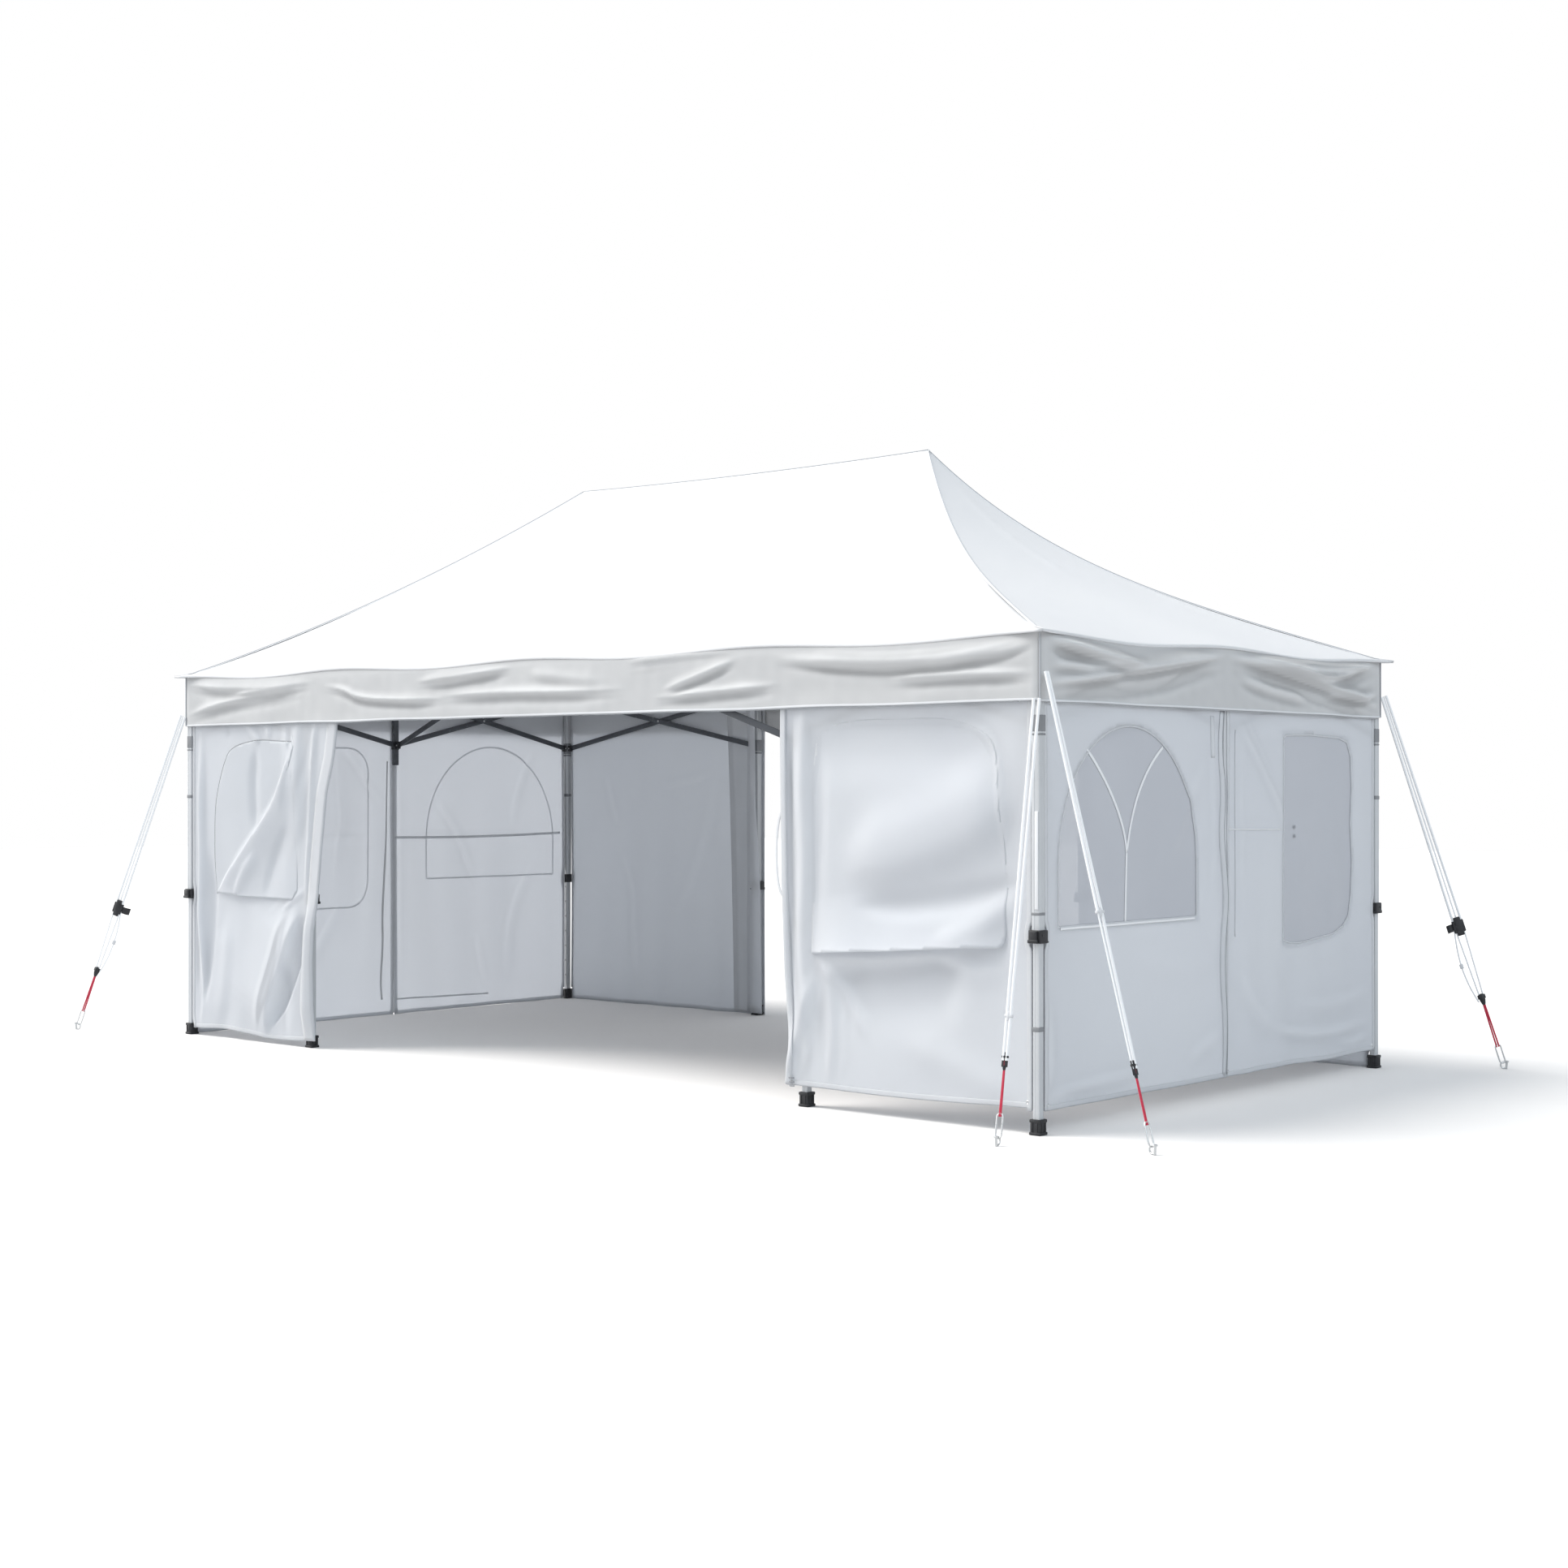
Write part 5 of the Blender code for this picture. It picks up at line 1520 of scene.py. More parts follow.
# %% Edge tapes of the walls
FREE_HALF = {"front_left": 0.042, "front_right": 0.016}
TAPE_LIFT, FREE_LIFT = 0.0006, 0.0060
for name, side in wall_sides.items():
    shares = np.linspace(0, 1, 60)
    low = hem_line(name, shares)
    left_low, right_low = wall_edges(name, low)
    hem_path = np.stack((left_low + (right_low - left_low) * shares, low + EDGE_HALF), 1)
    heights = np.linspace(float(low[0]), WALL_TOP - 0.001, 80)
    edge_left, edge_right = wall_edges(name, heights)
    parts = [tape(side, hem_path, EDGE_HALF, TAPE_LIFT)]
    for edge, inward in ((edge_left, 1), (edge_right, -1)):
        free = name in FREE_EDGES and (inward == -1) == (name == "front_left")
        half = FREE_HALF[name] if free else EDGE_HALF
        raised = FREE_LIFT if free else TAPE_LIFT + 0.0008
        parts.append(tape(side, np.stack((edge + inward * half, heights), 1), half, raised))
    if name in WINDOWS:
        parts.append(tape(side, WINDOWS[name], 0.0040, 0.0002, closed=True))
    add_piece("wall_tapes_" + name, join(parts), HEM_TAPE, "wall_white",
                                 thickness=0.001)

# %% [markdown]
# A wall doesn't end at the leg: a narrow strip of it, the return, turns inwards
# there, and hook-and-loop straps close it round the tube. It hides the gap
# between two walls at a corner, where bare daylight would show. At the front
# right corner it reaches right past the leg; elsewhere it stops short, so the
# legs' collars still show from inside.

# %% Returns along the legs
RETURN_TOP, RETURN_LONG = 1.60, 1.50
DEEP_RETURN, SHALLOW_RETURN = 0.040, 0.012
RETURN_IN, RETURN_BEHIND = 0.001, 0.0018        # from the wall's edge and behind its cloth
for name, side in wall_sides.items():
    deep = DEEP_RETURN if name in ("front_right", "right_front") else SHALLOW_RETURN
    strips = []
    for edge, inward in zip(WALLS[name][3:], (1, -1)):
        if edge not in AT_A_LEG:
            continue
        bm = flat_grid(0, deep, max(WALLS[name][2], FOOT_CLEAR), RETURN_TOP, 0.010, 0.05)
        bend(bm, lambda inside, height, lift, side=side, at=edge + inward * RETURN_IN:
             side.rule(inside * 0 + at, height, -RETURN_BEHIND - inside))
        strips.append(bm)
    return_piece = add_piece("wall_return_" + name, join(strips), HEM_TAPE, "wall_white",
                             thickness=0.0010)
print("returns on", len(wall_sides), "walls")

# %% [markdown]
# A pane is cut a little larger than its opening and sewn behind it. The arch
# has two curved glazing bars, which are tapes along smooth curves through a
# few points, and a straight one on its sill.

# %% Window panes and glazing bars
PANE_LAP = 0.025
PANE_BEHIND = 0.0030                # pane behind the wall's outer face
BAR_HALF = 0.0075


def arch_bars(sign):
    """The two curved glazing bars that meet, and the upright one below, as paths."""
    foot = (sign * 0.862, 0.848)
    meet = (sign * 0.850, 1.15)
    outer = [(sign * 1.158, 1.595), (sign * 1.05, 1.497), (sign * 0.954, 1.382),
             (sign * 0.880, 1.262), meet]
    inner = [(sign * 0.552, 1.612), (sign * 0.673, 1.506), (sign * 0.76, 1.399),
             (sign * 0.812, 1.275), (sign * 0.846, 1.16)]
    return [outer, inner, [meet, foot]]


def smooth_path(points, steps=24):
    """Points along a smooth curve through a few given ones."""
    given = np.array(points, float)
    knots = np.linspace(0, 1, len(given))
    wanted = np.linspace(0, 1, steps)
    degree = min(5 if len(given) > 6 else 3, len(given) - 1)
    return np.stack([np.polyval(np.polyfit(knots, given[:, k], degree), wanted) for k in (0, 1)], 1)


SILL_BAR = [(-1.362, 0.842), (-0.278, 0.842)]
for name, outline in WINDOWS.items():
    side = wall_sides[name]
    bm, flat, cut_area = cut_out(grown(outline, PANE_LAP), 0.02)
    lay_on(side, bm, -PANE_BEHIND)
    pane = add_piece("window_pane_" + name, bm, FILM, "window_film", ["window_" + name],
                     thickness=0.0008)
    if outline is ARCH:
        bars = [tape(side, smooth_path(path), BAR_HALF, -0.0005) for path in arch_bars(-1)]
        bars.append(tape(side, SILL_BAR, 0.0060, 0.002))
        add_piece("window_bars_" + name, join(bars), BRIGHT_TAPE, "wall_white", thickness=0.001)
print("panes:", len(WINDOWS))

# %% [markdown]
# A window can be shut with a flap of the same cloth. It is sewn or zipped down
# along some of its edges and hangs loose at the sill. The front right flap is
# shut and stands well off the wall at its lower edge. The front left one is
# drawn aside, so it covers only half of the window, and the misty pane shows
# beside it. A point's lift grows with its distance from the sewn line and
# towards the sill, so the flap is one piece that swells out of the wall.

# %% Window flaps
PANE_EDGE = [(-2.732, 0.822), (-2.735, 1.074), (-2.734, 1.308), (-2.701, 1.445), (-2.634, 1.600),
             (-2.569, 1.667), (-2.345, 1.705), (-2.157, 1.695), (-2.004, 1.689)]
FLAPS = {
    "front_left": ([(x - 0.012, z) for x, z in rounded(DRAWN_FLAP)]
                   + [(-1.985, 1.690), (-1.960, 1.40), (-1.960, 0.86), (-2.00, 0.812), (-2.47, 0.818)],
                   [(-2.28, 0.800), (-2.00, 0.812), (-1.960, 0.86), (-1.960, 1.40), (-1.985, 1.690)], 0.014),
    "front_right": ([(1.765, 0.692), (1.93, 0.707), (2.254, 0.727), (2.47, 0.744), (2.66, 0.757),
                     (2.80, 0.760)] + rounded([(2.80, 0.760), (2.828, 0.80), (2.828, 1.09), (2.816, 1.26),
                     (2.788, 1.51), (2.755, 1.635), (2.64, 1.696), (2.51, 1.730), (2.254, 1.736),
                     (2.032, 1.732), (1.90, 1.720), (1.80, 1.690), (1.768, 1.62), (1.762, 1.40)])[1:],
                    [(2.828, 0.86), (2.828, 1.09), (2.788, 1.51), (2.64, 1.696), (2.254, 1.736),
                     (1.80, 1.690), (1.765, 1.40), (1.765, 0.73)], 0.055),
}


def sill_height(shape, x):
    """Height of an outline's lower edge at x."""
    low, high = min(p[1] for p in shape), max(p[1] for p in shape)
    lower = sorted(p for p in shape if p[1] < low + 0.15 * (high - low))
    return float(np.interp(x, [p[0] for p in lower], [p[1] for p in lower]))


SUNK, FLAT_LIFT = -0.0016, 0.0050   # the flap at its sewn line, and its lift away from it
SEWN_REACH = 0.10
LOOSE_HIGH = 0.26                   # how far above the sill a flap stands off

for name, (shape, sewn, stand_off) in FLAPS.items():
    bm, (wide, high), cut_area = cut_out(shape, 0.014)
    left, right = span_of(shape)[0]
    centre, half = (left + right) / 2, (right - left) / 2
    for vert in bm.verts:
        free = min((vert.co.xy - nearest_on(vert.co, sewn)).length / SEWN_REACH, 1.0)
        loose = min(1.0, max(0.0, 1 - (vert.co.y - sill_height(shape, vert.co.x)) / LOOSE_HIGH))
        bulge = ease(1.15 - abs((vert.co.x - centre) / half) ** 3)
        vert.co.z = SUNK + FLAT_LIFT * free + stand_off * loose ** 1.4 * float(bulge)
    lay_on(wall_sides[name], bm)
    flap = add_piece("window_flap_" + name, bm, WALL, "wall_white", ["window_" + name], thickness=0.001,
                     outward=True)
    min(cut_area, wide * high)
    print(flap.name, "over", f"{wide:.2f} x {high:.2f} m")

# %% [markdown]
# The misty pane fills the front left window as far as the drawn flap, whose
# edge it follows just under the fold.

# %% The half open pane
drawn = [(x + 0.030, z) for x, z in rounded(DRAWN_FLAP) if z < 1.68]
bm, flat, cut_area = cut_out(PANE_EDGE[:1] + drawn + PANE_EDGE[:0:-1], 0.014)
lay_on(wall_sides["front_left"], bm, 0.0006)
front_pane = add_piece("window_pane_front_left", bm, MISTY, "window_film", thickness=0.0006, outward=True)
print(f"half open pane of {cut_area:.2f} square metres")

# %% [markdown]
# A dark zip runs round the half open pane. The left side's two windows are
# shut, and from inside only the tapes of their zips show, as pale outlines.

# %% Zips round the windows
zips = {"front_left": (rounded(PANE_EDGE), 0.0030, 0.0012, ZIP),
        "left_front": (SHUT["left_front"], 0.0045, 0.0010, HEM_TAPE),
        "left_back": (SHUT["left_back"], 0.0045, 0.0010, HEM_TAPE)}
for name, (path, half, lift, material) in zips.items():
    zip_bm = tape(wall_sides[name], path, half, lift, closed=name in SHUT)
    add_piece("window_zip_" + name, zip_bm, material, "wall_white", thickness=0.0008)
print("zips:", len(zips))

# %% [markdown]
# Where the two right walls meet there is a zip under a narrow flap, which
# wanders because the cloth on either side pulls at it. On the left side a plain
# tape covers the joint, and a seam tape runs across the back panel inside. A
# wide darker band stands beside the back doorway, where two layers lie on each
# other. The free edge of the front right panel has a strap loop to tie it open
# and three short dark bars at its foot, painted shade where slots in the cloth
# show dark. A row here gives a tape's path, its half width, its height above the
# cloth and its finish.

# %% Zip flaps, seams and a tie loop
JOINS = {
    "right_front": [([(y - 0.004, z) for y, z in ZIP_LINE], 0.015, 0.0040, HEM_TAPE),
                    ([(y + 0.015, z) for y, z in ZIP_LINE], 0.0042, 0.0050, ZIP),
                    ([(-0.128, 1.76), (-0.126, 1.57)], 0.016, 0.0020, HEM_TAPE)],
    "right_back": [([(0.082, 1.70), (0.075, 1.52), (0.088, 1.32), (0.074, 1.12), (0.090, 0.93),
                     (0.080, 0.74)], 0.0040, 0.0030, HEM_TAPE),
                   ([(0.015, 1.240), (0.504, 1.233)], 0.0030, 0.0030, BRIGHT_TAPE),
                   ([(0.648, 1.250), (0.648, 1.236)], 0.0070, 0.0040, ZIP),
                   ([(0.648, 1.206), (0.648, 1.192)], 0.0070, 0.0040, ZIP)],
    "left_back": [([(0.010, 1.118), (0.54, 1.112), (1.074, 1.118), (1.44, 1.128)], 0.008, -0.0030, HEM_TAPE),
                  ([(0.000, 1.99), (0.000, 1.00), (0.000, 0.01)], 0.009, 0.0060, HEM_TAPE),
                  ([(0.02, 0.096), (0.50, 0.086), (0.80, 0.080)], 0.005, -0.0030, HEM_TAPE)],
    "back_left": [([(-1.388, 1.90), (-1.360, 1.28), (-1.345, 0.503), (-1.335, 0.01)],
                   0.120, -0.0030, HEM_TAPE)],
    "left_front": [([(-0.050, 1.60), (-0.057, 1.19), (-0.070, 0.976), (-0.094, 0.62), (-0.088, 0.465),
                     (-0.108, 0.21), (-0.096, 0.10)], 0.007, -0.0030, TAPE)],
    "front_right": [([(1.606, 1.330), (1.580, 1.300), (1.552, 1.195), (1.556, 1.067), (1.580, 0.975),
                      (1.606, 0.950)], 0.007, 0.0030, TAPE)]
                    # The three short dark bars at the foot: painted shade where slots in the cloth show dark.
                    + [([(1.638, z), (1.666, z)], 0.0032, 0.0075, ZIP) for z in (0.128, 0.110, 0.092)],
}
for name, rows in JOINS.items():
    kinds = {}
    for path, half, lift, material in rows:
        wavy = smooth_path(path, 48) if len(path) in (5, 6) else rounded(list(path))
        kinds.setdefault(material.name, [material]).append(tape(wall_sides[name], wavy, half, lift))
    for kind, (material, *strips) in kinds.items():
        add_piece(f"wall_join_{name}_{kind}", join(strips), material, "wall_white", thickness=0.0010)
print("joins on", len(JOINS), "walls")

# %% [markdown]
# Beside the back doorway a loose strip of wall cloth is wrapped round the leg.
# Its section is a line of a few points round the tube, and lower down it
# slants to the right, as it does in the photograph.

# %% Loose strip round a door leg
STRIP_WIDE, STRIP_LOW, STRIP_TOP = 0.165, 0.015, 2.02


def strip_rule(across, height, lift):
    """The strip wraps the inner side of the leg and slants to the right lower down."""
    shape = np.array([(0.0, -1.330, 1.508), (0.04, -1.298, 1.484), (0.075, -1.268, 1.458),
                      (0.095, -1.250, 1.446), (0.125, -1.220, 1.441), (0.165, -1.185, 1.439)])
    slant = np.interp(height, (0.0, 0.9, 1.3, 1.8, 2.02), (0.040, 0.022, -0.014, -0.022, -0.022))
    x = np.interp(across, shape[:, 0], shape[:, 1]) + slant * ease(across / 0.11 - 0.6)
    y = np.interp(across, shape[:, 0], shape[:, 2]) + 0.003 * np.sin(height * 9 + across * 30) * 0.3
    return np.stack((x, y, height), 1)


strip_bm = flat_grid(0, STRIP_WIDE, STRIP_LOW, STRIP_TOP, 0.011, 0.05)
bend(strip_bm, strip_rule)
face_out(strip_bm, (0, -1, 0))
door_strip = add_piece("door_strip_back", strip_bm, WALL, "wall_white", thickness=0.0012)
print("door strip", len(door_strip.data.polygons), "faces")

# %% [markdown]
# For each wall, the smaller of its area as cut, before it was hung, and the
# area of its box is worked out.

for name, piece in wall_pieces.items():
    left, right = WALL_SPAN[name]
    wide = float((right - left).max())
    high = WALL_TOP - WALLS[name][2]
    min(wall_areas[name], wide * high)
print("walls declared:", len(wall_pieces))

# %% [markdown]
# ## Metal and plastic finishes
#
# The legs are drawn aluminium tube, anodised to a satin grey: fine lines run
# along them and they are duller where hands touch them. The trusses are
# powder-coated steel bars in dark grey, slightly pebbled. Collars, sliders
# and feet are moulded black nylon with a fine spark-eroded grain.

# %% Hardware finishes
LEG, tree, shader = finish("satin_aluminium", (0.56, 0.57, 0.58), 0.46, metallic=0.30)
leg_place = coordinates(tree)
drawn = add_node(tree, "ShaderNodeMapping", Vector=leg_place, Scale=(220.0, 220.0, 1.5))
lines = noise_at(tree, drawn.outputs["Vector"], 1.0, 3.0)
roughen(tree, shader, lines, 0.3, 0.7, 0.40, 0.54)
paint(tree, shader, noise_at(tree, leg_place, 5.0, 4.0), (0.52, 0.53, 0.54), (0.62, 0.63, 0.64))
stack_bumps(tree, shader, [(lines, 0.12, 0.0003)])

TRUSS, tree, shader = finish("truss_powder_coat", (0.085, 0.09, 0.10), 0.42, metallic=0.3,
                             Specular_IOR_Level=0.5)
truss_place = coordinates(tree)
pebble = noise_at(tree, truss_place, 450.0, 2.0)
wear = noise_at(tree, truss_place, 18.0, 5.0, 0.7)
paint(tree, shader, spread(tree, wear, 0.60, 0.72), (0.085, 0.09, 0.10), (0.17, 0.175, 0.185))
roughen(tree, shader, wear, 0.3, 0.7, 0.36, 0.52)
stack_bumps(tree, shader, [(pebble, 0.25, 0.0003)])

NYLON, tree, shader = finish("black_nylon", (0.018, 0.018, 0.020), 0.45, Specular_IOR_Level=0.5)
nylon_place = coordinates(tree)
eroded = noise_at(tree, nylon_place, 700.0, 2.0)
scuffs = noise_at(tree, nylon_place, 25.0, 5.0, 0.65)
paint(tree, shader, spread(tree, scuffs, 0.55, 0.75), (0.016, 0.016, 0.018), (0.06, 0.06, 0.062))
roughen(tree, shader, scuffs, 0.3, 0.7, 0.38, 0.58)
stack_bumps(tree, shader, [(eroded, 0.3, 0.0002)])

GREY, tree, shader = finish("grey_nylon", (0.22, 0.225, 0.235), 0.5, Specular_IOR_Level=0.45)
grey_place = coordinates(tree)
paint(tree, shader, noise_at(tree, grey_place, 20.0, 4.0), (0.19, 0.195, 0.205), (0.27, 0.275, 0.285))
stack_bumps(tree, shader, [(noise_at(tree, grey_place, 600.0), 0.3, 0.0002)])

WEBBING_WHITE, tree, shader = finish("white_webbing", (0.80, 0.80, 0.81), 0.7, Sheen_Weight=0.2)
strap_twill = bands(tree, coordinates(tree), 0.003, "DIAGONAL")
paint(tree, shader, strap_twill, (0.70, 0.70, 0.71), (0.84, 0.84, 0.84))
stack_bumps(tree, shader, [(strap_twill, 0.5, 0.0004)])

STEEL, tree, shader = finish("zinc_steel", (0.70, 0.70, 0.69), 0.30, metallic=1.0)
spangle = add_node(tree, "ShaderNodeTexVoronoi", Vector=coordinates(tree), Scale=180.0)
roughen(tree, shader, spangle.outputs["Distance"], 0.0, 1.0, 0.22, 0.42)
stack_bumps(tree, shader, [(noise_at(tree, coordinates(tree), 90.0, 3.0), 0.15, 0.0004)])
print("hardware finishes:", LEG.name, TRUSS.name, NYLON.name, STEEL.name)

# %% [markdown]
# ## Building blocks for hardware
#
# Moulded and drawn parts are boxes, tubes and turned pieces with their edges
# eased, because a real edge always has a small radius that catches the light.
# The helpers make such a piece at its place from bmesh's own shapes and bevel.

# %% Hardware helpers
def ease_edges(bm, edges, width, segments=2):
    bmesh.ops.bevel(bm, geom=edges, offset=width, offset_type="OFFSET", segments=segments,
                    profile=0.5, affect="EDGES", material=-1)


def block(low, high, width=0.0015, segments=2, turn=None):
    """A box between two corners with eased edges."""
    low, high = Vector(low), Vector(high)
    bm = bmesh.new()
    bmesh.ops.create_cube(bm, size=1.0, matrix=Matrix.Diagonal((*(high - low), 1.0)))
    ease_edges(bm, bm.edges[:], width, segments)
    bm.transform(Matrix.Translation((low + high) / 2) @ (turn or Matrix.Identity(4)))
    return bm


def along(start, end):
    """A turn whose X runs from start to end and whose Y is level."""
    x_axis = (Vector(end) - Vector(start)).normalized()
    y_axis = Vector((0, 0, 1)).cross(x_axis).normalized()
    return Matrix((x_axis, y_axis, x_axis.cross(y_axis))).transposed().to_4x4()


def bar(start, end, thick, deep, width=0.0015):
    """A straight bar of rounded rectangular section between two points."""
    start, end = Vector(start), Vector(end)
    half = Vector(((end - start).length, thick, deep)) / 2
    bm = block(-half, half, width)
    bm.transform(Matrix.Translation((start + end) / 2) @ along(start, end))
    return bm


def turned(start, end, profile, sides=16):
    """A turned piece: a profile of (share along, radius) spun round the line between two points."""
    start, end = Vector(start), Vector(end)
    length = (end - start).length
    bm = bmesh.new()
    ring = [bm.verts.new((radius, 0, share * length)) for share, radius in profile]
    edges = [bm.edges.new(pair) for pair in zip(ring, ring[1:])]
    bmesh.ops.spin(bm, geom=ring + edges, cent=(0, 0, 0), axis=(0, 0, 1), angle=math.tau,
                   steps=sides, use_merge=True)
    bmesh.ops.remove_doubles(bm, verts=bm.verts[:], dist=0.00002)
    bmesh.ops.recalc_face_normals(bm, faces=bm.faces[:])
    turn = (end - start).to_track_quat("Z", "Y").to_matrix().to_4x4()
    bm.transform(Matrix.Translation(start) @ turn)
    return bm


def hex_bolt(middle, direction, length, radius):
    """A bolt through a joint: a hexagon head with a washer at each end."""
    direction = Vector(direction).normalized()
    middle = Vector(middle)
    parts = []
    turn = direction.to_track_quat("Z", "Y").to_matrix().to_4x4()
    for sign in (-1, 1):
        seat = middle + direction * sign * (length / 2 - radius * 0.35)
        head = bmesh.new()
        bmesh.ops.create_cone(head, cap_ends=True, segments=6, radius1=radius, radius2=radius,
                              depth=radius * 0.7, matrix=Matrix.Translation(seat) @ turn)
        ease_edges(head, head.edges[:], radius * 0.12)
        washer_at = middle + direction * sign * (length / 2 - radius * 0.75)
        washer = bmesh.new()
        bmesh.ops.create_cone(washer, cap_ends=True, segments=20, radius1=radius * 1.3,
                              radius2=radius * 1.3, depth=radius * 0.18,
                              matrix=Matrix.Translation(washer_at) @ turn)
        parts += [head, washer]
    return join(parts)


print("hardware helpers ready")

# %% [markdown]
# ## Legs
#
# Each leg is two square tubes, one sliding in the other. The outer tube ends
# in a black collar with a pull lever, whose pin snaps into holes in the inner
# tube. The inner tube stands on a nylon foot. The outer tube has a shallow
# channel down each side, as drawn sections do, made by insetting its faces.
# The outer tube rides on the tent, the inner tube and foot on their own body,
# so the leg can be let out.

# %% Leg sizes and tubes
TUBE = 0.040
INNER_TUBE = 0.033
BORE = 0.035
COLLAR_LOW, COLLAR_HIGH = 0.79, 0.845
FOOT_WIDE, FOOT_HIGH = 0.056, 0.065
HOLE_PITCH = 0.10
BODY_OF = {leg: "lower_leg_" + leg for leg in LEGS}


def leg_place(leg):
    """The leg's centre on the ground, read from its foot."""
    low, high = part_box("leg_lower_" + leg)
    return Vector(((low.x + high.x) / 2, (low.y + high.y) / 2, 0))


def square_tube(wide, low, high, corner, channel, bore=None):
    """A drawn square tube with rounded corners and a shallow channel down each side."""
    bm = bmesh.new()
    size = Matrix.Diagonal((wide, wide, high - low, 1))
    bmesh.ops.create_cube(bm, size=1.0, matrix=Matrix.Translation((0, 0, (low + high) / 2)) @ size)
    upright = [edge for edge in bm.edges if abs(edge.verts[0].co.z - edge.verts[1].co.z) > 0.01]
    ease_edges(bm, upright, corner, 3)
    bm.normal_update()
    side_area = wide * (high - low)
    flats = [face for face in bm.faces
             if abs(face.normal.z) < 0.1 and face.calc_area() > 0.5 * side_area]
    bmesh.ops.inset_individual(bm, faces=flats, thickness=wide * 0.24, depth=0.0,
                               use_even_offset=True)
    bmesh.ops.inset_individual(bm, faces=flats, thickness=0.0008, depth=-channel,
                               use_even_offset=True)
    if bore:
        bottom = min(bm.faces, key=lambda face: face.calc_center_median().z)
        bmesh.ops.inset_individual(bm, faces=[bottom], thickness=(wide - bore) / 2,
                                   use_even_offset=True)
        pushed = bmesh.ops.extrude_discrete_faces(bm, faces=[bottom])["faces"][0]
        bmesh.ops.translate(bm, verts=pushed.verts[:], vec=(0, 0, 0.30))
    return bm


def pin_holes(face_out, wide, low, high):
    """Pin holes down one face of the inner tube: each a short black cup with a rim, painted shade for the
    dark inside of the hole.
    """
    cup = [(0, 0.0), (0, 0.0040), (0.9, 0.0044), (1.0, 0.0044), (1.0, 0.0052), (0.2, 0.0056)]
    parts = []
    for step in range(int((high - low) / HOLE_PITCH)):
        z = low + step * HOLE_PITCH
        start = face_out * (wide / 2 - 0.0012) + Vector((0, 0, z))
        end = face_out * (wide / 2 + 0.0004) + Vector((0, 0, z))
        parts.append(turned(start, end, cup, 12))
    return join(parts)


print("foot of the first leg at", tuple(round(c, 3) for c in leg_place(LEGS[0])))

# %% [markdown]
# A moulded part looks right when its smaller features are there: a lip, a
# groove, the ribs. They are separate eased blocks joined into one mesh, which
# is simpler than cutting them out of one block. Each leg is then five pieces,
# listed with their mesh, finish, slot, body and the part of the frame that they
# stand in for.

# %% Collars, levers and feet
def collar(outward):
    """The locking collar: a moulded block with a groove, a pull lever and two screws."""
    half = 0.030
    body = block((-half, -half, COLLAR_LOW), (half, half, COLLAR_HIGH), 0.004, 3)
    side = Vector((0, 0, 1)).cross(outward)
    lip = block((-half - 0.0015, -half - 0.0015, COLLAR_LOW + 0.002),
                (half + 0.0015, half + 0.0015, COLLAR_LOW + 0.010), 0.002)
    parts = [body, lip]
    middle_z = (COLLAR_LOW + COLLAR_HIGH) / 2
    turn = along((0, 0, 0), outward)
    for low, high in (((half - 0.004, -0.019, -0.022), (half + 0.014, 0.019, 0.024)),
                      ((half + 0.008, -0.024, -0.026), (half + 0.016, 0.024, -0.012))):
        lever = block(low, high, 0.003, 3)
        lever.transform(Matrix.Translation((0, 0, middle_z)) @ turn)
        parts.append(lever)
    for sign in (-1, 1):
        at = side * sign * (half + 0.0005) + Vector((0, 0, middle_z + 0.006)) + outward * 0.010
        parts.append(turned(at - side * sign * 0.002, at + side * sign * 0.0015,
                            [(0, 0.0), (0, 0.0055), (0.8, 0.0055), (1.0, 0.0045), (1.0, 0.0)], 14))
    return join(parts)


def foot():
    """The nylon foot: a tapered block with a socket rim, ribs and a flat base plate."""
    half = FOOT_WIDE / 2
    base = block((-half, -half, 0.0), (half, half, 0.012), 0.0025)
    cup_half, rim_half = half - 0.003, half - 0.001
    cup = block((-cup_half, -cup_half, 0.006), (cup_half, cup_half, FOOT_HIGH - 0.004), 0.005, 3)
    rim = block((-rim_half, -rim_half, FOOT_HIGH - 0.014), (rim_half, rim_half, FOOT_HIGH), 0.003)
    parts = [base, cup, rim]
    for turn_by in range(4):
        turn = Matrix.Rotation(turn_by * math.pi / 2, 4, "Z")
        for shift in (-0.012, 0.012):
            rib = block((half - 0.005, shift - 0.002, 0.010),
                        (half - 0.0005, shift + 0.002, FOOT_HIGH - 0.012), 0.0008, 1)
            rib.transform(turn)
            parts.append(rib)
    return join(parts)


